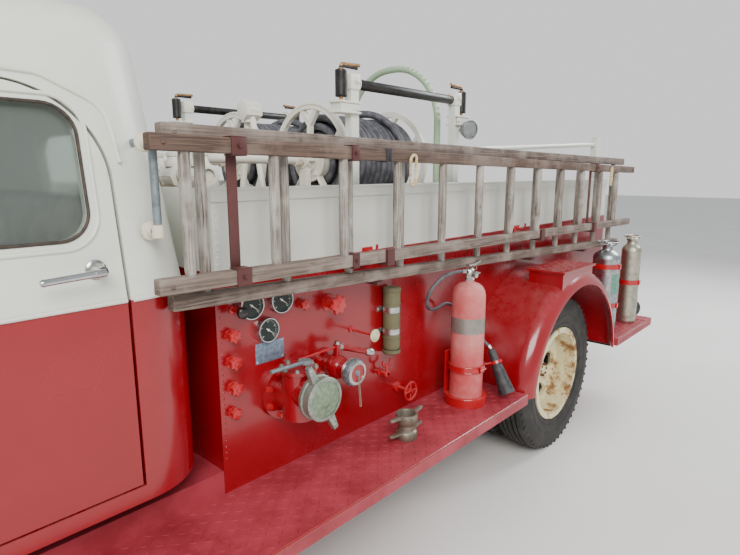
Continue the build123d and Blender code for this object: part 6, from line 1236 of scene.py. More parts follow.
def window_outline(inset):
    """The door window's outline as x and z, moved inward by inset."""
    rear = DOOR_REAR_X + 0.072 + inset
    low, high = 1.466 + inset, 1.800 - inset
    corners = [(rear, low), (windscreen_rake(low) - 0.100 - inset, low),
            (windscreen_rake(high) - 0.100 - inset, high), (rear, high)]
    path = []
    for i, (x, z) in enumerate(corners):
        before = Vector((*corners[i - 1], 0))
        after = Vector((*corners[(i + 1) % 4], 0))
        here = Vector((x, z, 0))
        back, ahead = (before - here).normalized(), (after - here).normalized()
        half = back.angle(ahead) / 2
        radius = WINDOW_CORNER - inset * 0.6
        cut = radius / math.tan(half)
        centre = here + (back + ahead).normalized() * radius / math.sin(half)
        first, last = here + back * cut - centre, here + ahead * cut - centre
        path += [(centre + arm).to_2d()[:] for arm in swung(first, last, 8)]
    return path


def make_cab_trim():
    """Window beads, belt bead, drip rails, door handles, mirror clamps and the grab pipes."""
    for side_name, side in SIDES:
        bead, rubber, body_bead, chrome, pipe_work = (bmesh.new() for _ in range(5))
        for inset, proud, radius, mesh in ((-0.020, 0.0015, 0.0055, bead), (0.001, 0.0005, 0.0045, rubber)):
            loop = [(x, side * (cab_side(z) + proud), z) for x, z in window_outline(inset)]
            add_tube(mesh, loop, radius, sides=8, closed=True)
        # Belt bead on the door, and on the cab's rear corner where it swells
        belt = CAB_BELT_HEIGHT + 0.001
        add_tube(bead, [(0.668, side * CAB_HALF_WIDTH, belt), (1.498, side * CAB_HALF_WIDTH, belt)], 0.0065,
                sides=8)
        corner = [(0.6355, side * CAB_HALF_WIDTH, belt)]
        for i in range(13):
            angle = math.pi / 2 * i / 12
            corner.append((0.6355 - 0.210 * math.sin(angle), side * (0.610 + 0.210 * math.cos(angle)), belt))
        corner.append((0.4255, side * 0.330, belt))
        add_tube(body_bead, [(0.6515, side * CAB_HALF_WIDTH, belt)] + corner, 0.0075, sides=8)
        # Drip rail over the door
        rail = [(x, side * (cab_side(z) + 0.003), z) for x,
                z in ((windscreen_rake(1.60) - 0.005, 1.60), (windscreen_rake(1.78) - 0.02, 1.78),
                (windscreen_rake(1.86) - 0.10, 1.868), (1.00, 1.874), (0.80, 1.868), (0.655, 1.800),
                (0.6350, 1.660))]
        add_tube(body_bead, rounded(rail, 0.09, 8), 0.0055, sides=8)
        # Lever handle on its boss, pointing to the rear
        grip = [(0.735, side * 0.8225, 1.392), (0.735, side * 0.866, 1.392), (0.760, side * 0.871, 1.392),
                (0.872, side * 0.869, 1.386)]
        z_face = side * cab_side(1.392)
        add_turned(chrome, (0.735, z_face, 1.392), (0, side, 0),
                [(-1, 26), (5, 26), (8, 21), (16, 16), (42, 12.5), (50, 12.5)], 28)
        add_tube(chrome, rounded(grip[1:], 0.02), 0.0105, sides=14, tip=0.0085)
        add_turned(chrome, (0.868, side * 0.869, 1.3862), (1, 0, -0.05),
                [(0, 8.5), (6, 9.5), (12, 7), (14, 0)], 14)
        add_turned(chrome, (0.735, z_face, 1.340), (0, side, 0), [(-1, 11), (3, 11), (5, 8), (5, 0)], 20)
        # Mirror arm's clamp at the door's front edge
        for z in (1.365, 1.420):
            y = side * cab_side(z)
            add_box(pipe_work, (windscreen_rake(z) - 0.055, y, z - 0.012),
                    (windscreen_rake(z) - 0.012, y + side * 0.012, z + 0.012), 0.003)
            add_hex(pipe_work, (windscreen_rake(z) - 0.034, y + side * 0.012, z), (0, side, 0), 0.007, 0.008)
        # Grab pipe's elbows and flanges behind the cab's rear corner
        for z in (1.480, 1.712):
            add_turned(pipe_work, (0.5835, side * 0.802, z), (0, side, 0),
                    [(0, 26), (6, 26), (9, 16), (24, 15.5), (28, 12.5)], 24)
            add_turned(pipe_work, (0.5835, side * 0.848, z), UP,
                    [(-18, 11), (-17, 15.5), (0, 16.5), (17, 15.5), (18, 11)], 20)
        title = side_name.title()
        finish_piece(f"DoorBeads{title}", bead, "cream_paint", body=f"door_{side_name[0]}")
        finish_piece(f"DoorWindowRubber{title}", rubber, "window_rubber", body=f"door_{side_name[0]}")
        finish_piece(f"DoorHandle{title}", chrome, "bright_chrome", body=f"door_{side_name[0]}")
        finish_piece(f"CabBeads{title}", body_bead, "cream_paint")
        finish_piece(f"GrabPipeEnds{title}", pipe_work, "rusty_joint")


def make_front():
    """Lenses, bezels, wipers and tail lamps."""
    for side_name, side in SIDES:
        chrome, glass, red, red_glass, arm, blade_rubber = (bmesh.new() for _ in range(6))
        lamp = (FRONT_AXLE_X + 0.330 + 0.110, side * 0.690, 1.120)
        add_turned(chrome, lamp, AHEAD, [(-22, 106), (-20, 110), (-4, 110), (4, 106), (6, 98), (3, 94),
                (-2, 93)], 56)
        add_turned(glass, (lamp[0] - 0.001, lamp[1], lamp[2]), AHEAD,
                [(0, 93.5), (6, 80), (12, 52), (15.5, 24), (16.5, 0)], 56)
        tail = (BODY_REAR_X - 0.055, side * 0.600, 0.900)
        add_turned(red, tail, BACK, [(-10, 56), (-8, 59), (0, 59), (4, 56), (3, 50)], 36)
        add_turned(red_glass, tail, BACK, [(1, 50.5), (5, 40), (8, 22), (9, 0)], 36)
        # Wiper on each pane, resting along the sill, a little off the glass
        pivot = Vector((windscreen_face(1.398) + 0.009, side * 0.330, 1.398))
        blade = Vector((windscreen_face(1.462) - 0.008, side * 0.215, 1.462))
        add_turned(chrome, tuple(pivot), (1, 0, 0.36), [(-8, 16), (6, 16), (12, 10), (13, 0)], 20)
        add_tube(arm, rounded([pivot + Vector((0.006, 0, 0.002)),
                pivot + Vector((0.004, -side * 0.030, 0.028)), blade + Vector((0.004, 0, 0))], 0.02), 0.0032,
                sides=8, tip=0.0024)
        ends = [Vector((windscreen_face(z) - 0.010, side * y, z)) for y, z in ((0.335, 1.450), (0.075, 1.474))]
        add_rod(arm, ends[0], ends[1], 0.0036, sides=8)
        behind = Vector((0.004, 0, 0.001))
        add_rod(blade_rubber, ends[0] - behind, ends[1] - behind, 0.0022, sides=6)
        title = side_name.title()
        finish_piece(f"HeadlampBezel{title}", chrome, "bright_chrome")
        finish_piece(f"HeadlampLens{title}", glass, "lamp_lens")
        finish_piece(f"TailLampRim{title}", red, "bright_chrome")
        finish_piece(f"TailLampLens{title}", red_glass, "red_lens")
        finish_piece(f"WiperArm{title}", arm, "weathered_steel")
        finish_piece(f"WiperRubber{title}", blade_rubber, "window_rubber")


def make_hood_trim(sizes):
    """Pressed louvres down the hood's sides, the bright bead along its crown and a lift handle each side."""
    hood = frame["nodes"]["hood"]
    louvres, bright = bmesh.new(), bmesh.new()
    for side_name, side in SIDES:
        for i in range(sizes.louvres):
            x = 2.020 + i * 0.042
            hit, spot, normal, _ = hood.ray_cast(Vector((x, side * 1.2, 1.130)), Vector((0, -side, 0)))
            if not hit:
                raise RuntimeError(f"no hood side at louvre {i} on the {side_name}")
            place = turned(spot, normal, UP) @ Matrix.Diagonal((0.052, 0.0065, 0.0075, 1))
            bmesh.ops.create_uvsphere(louvres, u_segments=12, v_segments=8, radius=1.0, matrix=place)
        hit, spot, normal, _ = hood.ray_cast(Vector((2.700, side * 1.2, 1.050)), Vector((0, -side, 0)))
        if not hit:
            raise RuntimeError(f"no hood side at the handle on the {side_name}")
        place = turned(spot, normal, UP)
        grip = [place @ Vector(point) for point in ((0.045, 0, -0.002), (0.045, 0, 0.030), (-0.045, 0, 0.030),
                (-0.045, 0, -0.002))]
        add_tube(bright, rounded(grip, 0.018), 0.0055, sides=10)
    crown = []
    for i in range(15):
        hit, spot, _, _ = hood.ray_cast(Vector((1.800 + i * 0.0735, 0, 2.0)), Vector((0, 0, -1)))
        if not hit:
            raise RuntimeError(f"no hood crown at point {i}")
        crown.append(spot + Vector((0, 0, 0.001)))
    add_tube(bright, crown, 0.006, sides=10)
    finish_piece("HoodLouvres", louvres, "red_paint", body="hood_lid")
    finish_piece("HoodBrightwork", bright, "bright_chrome", body="hood_lid")


def make_boards(sizes):
    """Raised lozenges on the running boards, step tops and rear board, and their worn edges."""
    mesh = bmesh.new()
    edge = bmesh.new()

    def lozenges(low_x, high_x, low_y, high_y, z, keep_out=()):
        pitch_x, pitch_y = sizes.lozenge_pitch, 0.030
        columns = int((high_x - low_x) / pitch_x)
        rows = int((high_y - low_y) / pitch_y)
        for i in range(columns):
            for k in range(rows):
                x = low_x + (i + 0.5) * (high_x - low_x) / columns
                y = low_y + (k + 0.5) * (high_y - low_y) / rows
                if any((x - cx) ** 2 + (y - cy) ** 2 < radius ** 2 for cx, cy, radius in keep_out):
                    continue
                turn = math.radians(38 if (i + k) % 2 else -38)
                place = Matrix.Translation((x, y, z)) @ Matrix.Rotation(turn, 4, "Z")
                bmesh.ops.create_cone(mesh, cap_ends=True, segments=4, radius1=0.0125, radius2=0.0105,
                        depth=0.0022, matrix=place @ Matrix.Diagonal((1.0, 0.30, 1, 1))
                        @ Matrix.Translation((0, 0, 0.0009)))

    for _, side in SIDES:
        spans = [(REAR_AXLE_X + 0.640, CAB_FRONT_X - 0.030), (BODY_REAR_X + 0.004, REAR_AXLE_X - 0.640)]
        for low_x, high_x in spans:
            low_y, high_y = sorted((side * 0.735, side * 1.078))
            keep = [(REAR_AXLE_X + 0.900, side * 0.900, 0.110), (REAR_AXLE_X + 1.380, side * 0.925, 0.050),
                    (REAR_AXLE_X - 0.820, side * 0.910, 0.100), (REAR_AXLE_X - 1.120, side * 0.975, 0.080)]
            lozenges(low_x, high_x, low_y, high_y, BOARD_HEIGHT, keep)
            add_tube(edge, [(low_x - 0.006, side * 1.0865, BOARD_HEIGHT - 0.0035),
                    (high_x + 0.006, side * 1.0865, BOARD_HEIGHT - 0.0035)], 0.0055, sides=8)
        low_y, high_y = sorted((side * 0.886, side * 1.052))
        lozenges(REAR_AXLE_X - 0.140, REAR_AXLE_X + 0.240, low_y, high_y, 1.115)
    lozenges(-3.098, BODY_REAR_X - 0.006, -1.070, 1.070, BOARD_HEIGHT + 0.003)
    finish_piece("BoardLozenges", mesh, "board_paint")
    finish_piece("BoardEdges", edge, "red_paint")


def make_cab_inside():
    """The dials, the pedals and the shift lever."""
    iron, black, chrome, dial, mark = (bmesh.new() for _ in range(5))
    for y in (0.470, 0.380, 0.290):
        foot = Vector((1.505, y, 0.935))
        add_tube(iron, rounded([(1.540, y, 1.120), (1.528, y, 1.010), foot], 0.06), 0.0075, sides=10)
        add_box(black, (foot.x - 0.052, y - 0.030, foot.z - 0.006),
                (foot.x + 0.012, y + 0.030, foot.z + 0.008), 0.004,
                Matrix.Translation(foot) @ Matrix.Rotation(math.radians(38), 4, "Y")
                @ Matrix.Translation(-foot))
    lever = rounded([(1.330, 0.020, 0.800), (1.318, 0.020, 1.060), (1.232, 0.040, 1.205)], 0.10)
    add_tube(iron, lever, 0.0085, sides=12)
    add_turned(black, (1.228, 0.0405, 1.212), (-0.5, 0.1, 0.86),
            [(-24, 8), (-18, 18), (0, 24), (16, 19), (23, 0)], 28)
    add_turned(black, (1.332, 0.020, 0.776), UP, [(0, 62), (8, 58), (26, 34), (46, 18), (52, 11)], 28)
    for y, radius in ((0.380, 0.052), (0.255, 0.034), (0.165, 0.034)):
        centre = Vector((1.5165, y, 1.222))
        add_lathe(chrome, centre, BACK, [(-0.002, radius), (0.006, radius), (0.010, radius * 0.95),
                (0.008, radius * 0.88), (0.004, radius * 0.86)], 40)
        add_lathe(dial, centre - Vector((0.0045, 0, 0)), BACK, [(0, radius * 0.87), (0.0004, 0.0)], 40)
        for i in range(17):
            angle = math.radians(225 - 270 * i / 16)
            across = Vector((0, -math.cos(angle), math.sin(angle)))
            near, far = (centre - Vector((0.0055, 0, 0)) + across * radius * share for share in (0.66, 0.80))
            add_rod(mark, near, far, 0.0007, sides=4)
        turn = math.radians(215)
        across = Vector((0, -math.cos(turn), math.sin(turn)))
        pivot = centre - Vector((0.0065, 0, 0))
        add_rod(mark, pivot, pivot + across * radius * 0.62, 0.0014, 0.0005, sides=6)
    for i in range(5):
        add_turned(chrome, (1.5165, 0.060 - i * 0.060, 1.205), BACK,
                [(0, 10), (6, 10), (8, 6), (18, 6), (20, 12), (28, 12), (30, 0)], 20)
    finish_piece("PedalsAndLever", iron, "weathered_steel")
    finish_piece("PedalPadsAndKnob", black, "black_plastic")
    finish_piece("DashRims", chrome, "bright_chrome")
    finish_piece("DashDials", dial, "dial_dark")
    finish_piece("DashMarks", mark, "dial_mark")


def make_seat():
    """A bench cushion and back in cloth, crowned, with stitched pleats."""
    for name, low, high, crown_axis in (("BenchCushion", (0.620, -0.590, 1.004), (1.0955, 0.590, 1.150), 2),
            ("BenchBack", (0.500, -0.590, 1.160), (0.640, 0.590, 1.560), 0)):
        mesh = bmesh.new()
        size = [b - a for a, b in zip(low, high)]
        middle = [(a + b) / 2 for a, b in zip(low, high)]
        bmesh.ops.create_cube(mesh, size=1.0)
        bmesh.ops.subdivide_edges(mesh, edges=list(mesh.edges), cuts=23, use_grid_fill=True)
        for vert in mesh.verts:
            unit = [c * 2 for c in vert.co]
            others = [i for i in range(3) if i != crown_axis]
            swell = (1 - abs(unit[others[0]]) ** 4) * (1 - abs(unit[others[1]]) ** 4)
            pleat = abs(math.sin(unit[1] * math.pi * 4)) ** 0.35
            crown = 0.80 + 0.20 * swell * (0.72 + 0.28 * pleat)
            squeeze = 1 - 0.035 * max(0.0, abs(unit[crown_axis]) - 0.55) / 0.45
            place = []
            for i in range(3):
                if i != crown_axis:
                    place.append(middle[i] + size[i] * vert.co[i] * squeeze)
                elif unit[i] > -1:
                    lift = crown if unit[i] > 0 else 1.0
                    place.append(middle[i] + size[i] * (vert.co[i] + 0.5) * lift - size[i] * 0.5)
                else:
                    place.append(low[i])
            vert.co = place
        edges = [e for e in mesh.edges if e.is_manifold and e.calc_face_angle(0) > math.radians(50)]
        bmesh.ops.bevel(mesh, geom=edges, offset=0.016, affect="EDGES", segments=4, profile=0.5, material=-1)
        hides = ("seat",) if name == "BenchCushion" else ()
        piece = finish_piece(name, mesh, "seat_leather", hides=hides, smooth=60)


# Hand extinguishers, hoop, and the pieces of the tail
BOTTLE = (REAR_AXLE_X + 0.900, 0.900)
HORN_TOP = Vector((REAR_AXLE_X + 0.7312, 0.9317, 0.7769))
HORN_MOUTH = Vector((REAR_AXLE_X + 0.742, 1.036, 0.584))
# The hose's corners, as ahead of the bottle's axis, out from it, and height, with the radius of each bend
HOSE_CORNERS = ((0.027, -0.005, 1.190), (0.124, -0.024, 1.203), (0.220, -0.062, 1.130), (0.205, -0.095, 1.040),
        (0.108, -0.117, 1.000), (0.000, -0.120, 1.030), (-0.082, -0.100, 0.960), (-0.135, -0.045, 0.868),
        (-0.169, 0.030, 0.780))
HOSE_DIAMETER = 0.016


def hose_corner(i):
    """A corner of the extinguisher's hose in the vehicle's own axes."""
    ahead, out, height = HOSE_CORNERS[i]
    return BOTTLE[0] + ahead, BOTTLE[1] + out, height


def make_extinguisher():
    """The bleached bottle on the left board, with its bare band, valve, levers, gauge and horn."""
    red, band, silver, horn = (bmesh.new() for _ in range(4))
    x, y = BOTTLE
    radius = 0.0775
    add_lathe(red, (x, y, 0.567), UP, [(0.000, 0.0), (0.000, 0.064), (0.004, 0.072), (0.012, radius),
            (0.018, radius + 0.0012), (0.026, radius), (0.494, radius), (0.515, radius * 0.985),
            (0.535, radius * 0.925), (0.551, radius * 0.80), (0.562, radius * 0.62), (0.568, radius * 0.42),
            (0.571, 0.024), (0.578, 0.021), (0.582, 0.0)], 72)
    add_lathe(band, (x, y, 0.905), UP, [(0, radius), (0.0004, radius + 0.0008), (0.073, radius + 0.0008),
            (0.0734, radius)], 72)
    add_turned(silver, (x, y, 1.143), UP, [(0, 19), (3, 23.5), (10, 23.5), (13, 20), (16, 20), (18, 23.2),
            (50, 23.2), (55, 19), (60, 14), (64, 0)], 8)
    add_turned(silver, (x + 0.006, y, 1.190), AHEAD, [(0, 14.5), (4, 14.5), (6, 12.5), (16, 12.5), (18, 10.5),
            (19, 0)], 8)
    # The fixed handle below and the squeeze lever above, both folded from strip
    for height, lift in ((1.168, 0.0), (1.214, 0.010)):
        outline = [(0.020, -0.0035), (-0.030, -0.0035), (-0.050, -0.0035 + lift * 0.5),
                (-0.074, -0.0035 + lift), (-0.076, 0.0015 + lift), (-0.050, 0.0035 + lift * 0.5),
                (-0.030, 0.0035), (0.020, 0.0035)]
        place = Matrix(((1, 0, 0, x), (0, 0, -1, y + 0.011), (0, 1, 0, height + 0.004), (0, 0, 0, 1)))
        add_plate(silver, outline, 0.022, place, 0.0012)
    add_rod(silver, (x + 0.008, y - 0.013, 1.216), (x + 0.008, y + 0.013, 1.216), 0.0042, sides=14)
    add_ring(silver, (x - 0.020, y + 0.016, 1.204), (0.2, 1, 0), 0.010, 0.0011, 24, 6)
    add_turned(silver, (x - 0.002, y + 0.021, 1.176), (0, 1, 0),
            [(0, 7), (6, 7), (7, 15.5), (16, 15.5), (17, 13), (16.5, 0)], 28)
    run = HORN_MOUTH - HORN_TOP
    length = run.length
    wall = 0.003
    section = [(0.0, 0.008), (0.0, 0.0165), (0.006, 0.0185), (0.030, 0.0190), (0.050, 0.0205),
            (length * 0.5, 0.0285), (length * 0.8, 0.0345), (length - 0.008, 0.0382), (length, 0.0387),
            (length, 0.0387 - wall), (length * 0.8, 0.0315), (length * 0.5, 0.0240), (0.064, 0.0165),
            (0.062, 0.0)]
    add_lathe(horn, tuple(HORN_TOP), run, section, 56)
    for along in (0.012, 0.022):
        add_ring(horn, tuple(HORN_TOP + run.normalized() * along), run, 0.0188, 0.0016, 40, 6)
    finish_piece("ExtinguisherBottle", red, "faded_red_paint", hides=("extinguisher",))
    finish_piece("ExtinguisherBand", band, "band_metal")
    finish_piece("ExtinguisherValve", silver, "valve_silver")
    finish_piece("ExtinguisherHorn", horn, "black_horn")


def make_extinguisher_hose():
    """The extinguisher's rubber hose, as a NURBS curve with a round section."""
    data = bpy.data.curves.new("ExtinguisherHose", "CURVE")
    data.dimensions = "3D"
    data.bevel_depth = HOSE_DIAMETER / 2
    data.bevel_resolution = 4
    data.resolution_u = 16
    data.use_fill_caps = True
    spline = data.splines.new("NURBS")
    spline.points.add(len(HOSE_CORNERS) - 1)
    for i, point in enumerate(spline.points):
        point.co = (*hose_corner(i), 1)
    spline.order_u = 3
    spline.use_endpoint_u = True
    hose = add_object("ExtinguisherHose", data)
    data.materials.append(MATERIALS["hose_rubber"])
    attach(hose, "chassis")
    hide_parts("extinguisher_hose")
    for name, first, second in (("HoseValveFerrule", 0, 1), ("HoseHornFerrule", -1, -2)):
        mesh = bmesh.new()
        start = Vector(hose_corner(first))
        way = (Vector(hose_corner(second)) - start).normalized()
        add_turned(mesh, tuple(start), way, [(1, 8.2), (1, 10.4), (20, 10.4), (22, 9.2), (22, 8.2)], 20)
        finish_piece(name, mesh, "valve_silver")


def make_bracket_trim():
    """Buckle, bolts and rims of the bracket that holds the bottle."""
    mesh = bmesh.new()
    x, y = BOTTLE
    for z, radius in ((0.722, 0.0858), (0.748, 0.0858), (0.597, 0.0995)):
        add_ring(mesh, (x, y, z), UP, radius - 0.001, 0.0022, 64, 6)
    add_box(mesh, (x - 0.016, y + 0.0845, 0.720), (x + 0.022, y + 0.0915, 0.750), 0.002)
    add_rod(mesh, (x - 0.018, y + 0.094, 0.735), (x + 0.030, y + 0.094, 0.735), 0.0035, sides=10)
    for z in (0.727, 0.743):
        add_dome(mesh, (x + 0.010, y + 0.0915, z), (0, 1, 0), 0.003, 0.002)
    finish_piece("ExtinguisherBracketTrim", mesh, "pump_red")


def make_rear_bottles():
    """The two old bottles on the left rear board: skirts, domes, collars, rings, blank labels and bands."""
    shine, brass, label, clamp, rubber = (bmesh.new() for _ in range(5))
    for ahead, y, radius, shoulder, top, band_heights, mesh in (
            (-0.820, 0.910, 0.088, 1.082, 1.170, (0.715, 0.985), shine),
            (-1.120, 0.975, 0.066, 1.105, 1.190, (0.838,), brass)):
        x = REAR_AXLE_X + ahead
        foot = 0.555
        height = shoulder - foot
        add_lathe(mesh, (x, y, foot), UP, [(0.000, 0.0), (0.000, radius * 0.94), (0.005, radius * 0.985),
                (0.012, radius), (0.018, radius * 1.012), (0.024, radius), (0.050, radius),
                (0.054, radius * 1.010), (0.058, radius), (height - 0.034, radius),
                (height - 0.030, radius * 1.010), (height - 0.026, radius), (height - 0.010, radius * 0.97),
                (height + 0.008, radius * 0.82), (height + 0.020, radius * 0.58), (height + 0.027, 0.036),
                (height + 0.030, 0.034), (top - foot - 0.040, 0.034), (top - foot - 0.036, 0.038),
                (top - foot - 0.022, 0.040), (top - foot - 0.018, 0.028), (top - foot - 0.010, 0.0)], 64)
        # The flared cap: a ring on bent arms, to turn it by hand
        flare = radius * 0.82
        add_ring(mesh, (x, y, top - 0.005), UP, flare, 0.0045, 48, 8)
        for cosine, sine in around(6, 0.5):
            way = Vector((cosine, sine, 0))
            base = Vector((x, y, top))
            add_tube(mesh, rounded([base + way * 0.034 - Vector((0, 0, 0.030)),
                    base + way * (flare * 0.72) - Vector((0, 0, 0.022)),
                    base + way * flare - Vector((0, 0, 0.006))], 0.02), 0.0038, sides=8)
        for z in band_heights:
            add_lathe(clamp, (x, y, z), UP, [(0, radius), (0, radius + 0.0025), (0.034, radius + 0.0025),
                    (0.034, radius)], 64)
            add_box(clamp, (x - 0.014, y + radius - 0.001, z), (x + 0.014, y + radius + 0.010, z + 0.034),
                    0.002)
    x, y, radius = REAR_AXLE_X - 0.820, 0.910, 0.088
    steps = 16
    for i in range(steps):
        first = math.radians(48 + 84 * i / steps)
        second = math.radians(48 + 84 * (i + 1) / steps)
        corners = [(x + (radius + 0.0008) * math.cos(a), y + (radius + 0.0008) * math.sin(a), z) for a,
                z in ((first, 0.815), (second, 0.815), (second, 0.950), (first, 0.950))]
        verts = [bmesh.ops.create_vert(label, co=corner)["vert"][0] for corner in corners]
        bmesh.ops.contextual_create(label, geom=verts)
    # A short rubber hose with its small black nozzle and disc behind the slimmer bottle
    x, y = REAR_AXLE_X - 1.120, 0.975
    route = rounded([(x - 0.030, y + 0.006, 1.130), (x - 0.092, y + 0.012, 1.110),
            (x - 0.098, y + 0.016, 0.960), (x - 0.092, y + 0.020, 0.800)], 0.05)
    add_tube(rubber, route, 0.0070, sides=12)
    add_turned(rubber, (x - 0.092, y + 0.020, 0.820), (0.02, 0.02, -1),
            [(0, 9), (10, 17), (110, 22), (130, 20), (132, 0)], 28)
    add_turned(rubber, (x - 0.098, y + 0.030, 0.640), (0.35, 0.93, 0.1),
            [(-14, 0), (-14, 30), (-8, 52), (6, 52), (10, 46), (6, 42), (4, 0)], 36)
    finish_piece("RearBottleNickel", shine, "nickel", hides=("rear_extinguishers",))
    finish_piece("RearBottleBrass", brass, "aged_brass")
    finish_piece("RearBottleLabel", label, "green_label")
    finish_piece("RearBottleBands", clamp, "pump_red")
    finish_piece("RearBottleHorn", rubber, "black_horn")


def make_hoop(sizes):
    """The hoop over the body, with its feet, in a pale green that is partly its enamel and partly a painted
    reflection.
    """
    mesh = bmesh.new()
    x = REAR_AXLE_X + 0.640
    route = rounded([(x, -0.110, 1.4105), (x, -0.110, 2.180), (x, 0.510, 2.180), (x, 0.510, 1.4105)], 0.290, 14)
    add_tube(mesh, route, sizes.hoop_radius, sides=20)
    for y in (-0.110, 0.510):
        add_turned(mesh, (x, y, 1.410), UP, [(0, 42), (6, 42), (8, 38), (8, 22), (30, 21), (32, 17.5)], 28)
        for i in range(3):
            angle = math.tau * i / 3 + 0.4
            add_hex(mesh, (x + 0.031 * math.cos(angle), y + 0.031 * math.sin(angle), 1.418), UP, 0.005, 0.006)
    # Its pale green finish is partly the enamel's colour and partly a painted reflection of green surroundings
    finish_piece("HoopSleeve", mesh, "hoop_green_and_reflection")


def make_tail():
    """Slats in the hose bed, the blank number plate and handles on the rear posts."""
    slats, plate, bright = bmesh.new(), bmesh.new(), bmesh.new()
    for i in range(13):
        y = -0.612 + i * 0.102
        add_box(slats, (BODY_REAR_X + 0.092, y - 0.034, 1.0605), (REAR_AXLE_X + 0.580, y + 0.034, 1.0640),
                0.001)
    add_box(plate, (BODY_REAR_X - 0.0045, -0.400, 0.690), (BODY_REAR_X - 0.001, -0.100, 0.845), 0.0015)
    for y in (-0.385, -0.115):
        for z in (0.705, 0.830):
            add_dome(bright, (BODY_REAR_X - 0.0045, y, z), BACK, 0.005, 0.003)
    for side in (-1, 1):
        y = side * 0.640
        x = BODY_REAR_X
        grip = rounded([(x + 0.004, y, 1.180), (x - 0.062, y, 1.180), (x - 0.062, y, 1.560),
                (x + 0.004, y, 1.560)], 0.03)
        add_tube(bright, grip, 0.0105, sides=14)
        for z in (1.180, 1.560):
            add_turned(bright, (x, y, z), BACK, [(0, 22), (5, 22), (8, 14), (14, 12.5)], 24)
    finish_piece("HoseBedSlats", slats, "weathered_wood")
    finish_piece("BlankTailPlate", plate, "blank_plate")
    finish_piece("TailHandles", bright, "bright_chrome")


# Camera, lamps and floor
CAMERA_PLACE = (1.2675, 2.242, 1.635)
CAMERA_HEADING = (-0.735, -0.678)
CAMERA_PITCH = math.radians(10.9)
CAMERA_LENS = 26.66


def add_camera():
    """A camera at the photograph's place, looking to the rear and slightly down."""
    data = bpy.data.cameras.new("Camera")
    data.lens = CAMERA_LENS
    data.sensor_width = 36
    data.sensor_fit = "HORIZONTAL"
    data.clip_end = 200
    camera = add_object("Camera", data)
    look = Vector((CAMERA_HEADING[0], CAMERA_HEADING[1], 0)).normalized() * math.cos(CAMERA_PITCH)
    look.z = -math.sin(CAMERA_PITCH)
    camera.location = CAMERA_PLACE
    camera.rotation_euler = look.to_track_quat("-Z", "Y").to_euler()
    bpy.context.scene.camera = camera


def add_area_light(name, place, target, size, power, colour):
    """A soft rectangular lamp."""
    data = bpy.data.lights.new(name, "AREA")
    data.shape = "RECTANGLE"
    data.size, data.size_y = size
    data.energy = power
    data.color = colour
    lamp = add_object(name, data)
    lamp.location = place
    lamp.rotation_euler = (Vector(target) - Vector(place)).to_track_quat("-Z", "Y").to_euler()


def add_world(strength):
    """An even pale surround, white to the camera and in reflections."""
    world = bpy.data.worlds.new("PaleSurround")
    world.use_nodes = True
    world.node_tree.nodes.clear()
    node = partial(add_node, world.node_tree)
    seen = node("Math", {0: node("LightPath", out="Is Camera Ray"),
            1: node("LightPath", out="Is Transmission Ray")}, operation="MAXIMUM")
    fill = node("Background", {"Color": "#EEF2F6", "Strength": strength})
    white = node("Background", {"Color": "#FFFFFF", "Strength": 1.0})
    node("OutputWorld", {"Surface": node("MixShader", {0: seen, 1: fill, 2: white})})
    bpy.context.scene.world = world


def add_floor(colour):
    """A wide pale floor."""
    mesh = bpy.data.meshes.new("Floor")
    shape = bmesh.new()
    bmesh.ops.create_grid(shape, x_segments=1, y_segments=1, size=40)
    shape.to_mesh(mesh)
    shape.free()
    mesh.materials.append(new_finish("PaleFloor", lambda node,
            place: {"Base Color": node("Mix", {0: cloud(node, place, 900), 6: colour, 7: "#F4F3F0"}, 2, **MIX),
            "Roughness": 0.9}))
    add_object("Floor", mesh)


class FireEngineLight(bpy.types.PropertyGroup):
    """Levels of the studio light."""
    key_power: FloatProperty(name="Key lamp", description="Power of the main soft lamp", default=900, min=0,
            unit="POWER")
    sky_strength: FloatProperty(name="Surround", description="Strength of the even surround light",
            default=0.75, min=0, max=3)


def colour_property(label, description, hex_colour):
    """A colour that a user may change, with its default given as sRGB hex."""
    return FloatVectorProperty(name=label, description=description, subtype="COLOR", size=4, min=0, max=1,
            default=linear(hex_colour))


class FireEnginePaint(bpy.types.PropertyGroup):
    """Colours of the vehicle's paints and of its rubber and wood."""
    red: colour_property("Red enamel", "Colour of the lower body, the hood and the fenders", "#900916")
    red_faded: colour_property("Chalked red", "Colour that the red enamel fades to", "#A01C26")
    cream: colour_property("Cream enamel", "Colour of the upper body and the cab's top", "#E0E2D8")
    cream_faded: colour_property("Chalked cream", "Colour that the cream enamel fades to", "#ECECE2")
    wheel: colour_property("Wheel enamel", "Colour of the wheel discs and rims", "#DCD09E")
    board: colour_property("Running board", "Colour of the sunned enamel on the boards", "#A63A46")
    bottle: colour_property("Hand extinguisher", "Colour of the bleached red bottle", "#C2454A")
    # The hoop's colour is partly its enamel and partly a painted reflection of green surroundings
    hoop: colour_property("Hoop", "Colour of the hoop over the body", "#A2BC9A")
    tyre: colour_property("Tyre rubber", "Colour of the tread and sidewalls", "#1B1A19")
    wood: colour_property("Ladder rails", "Colour of the silvered wood", "#85756A")


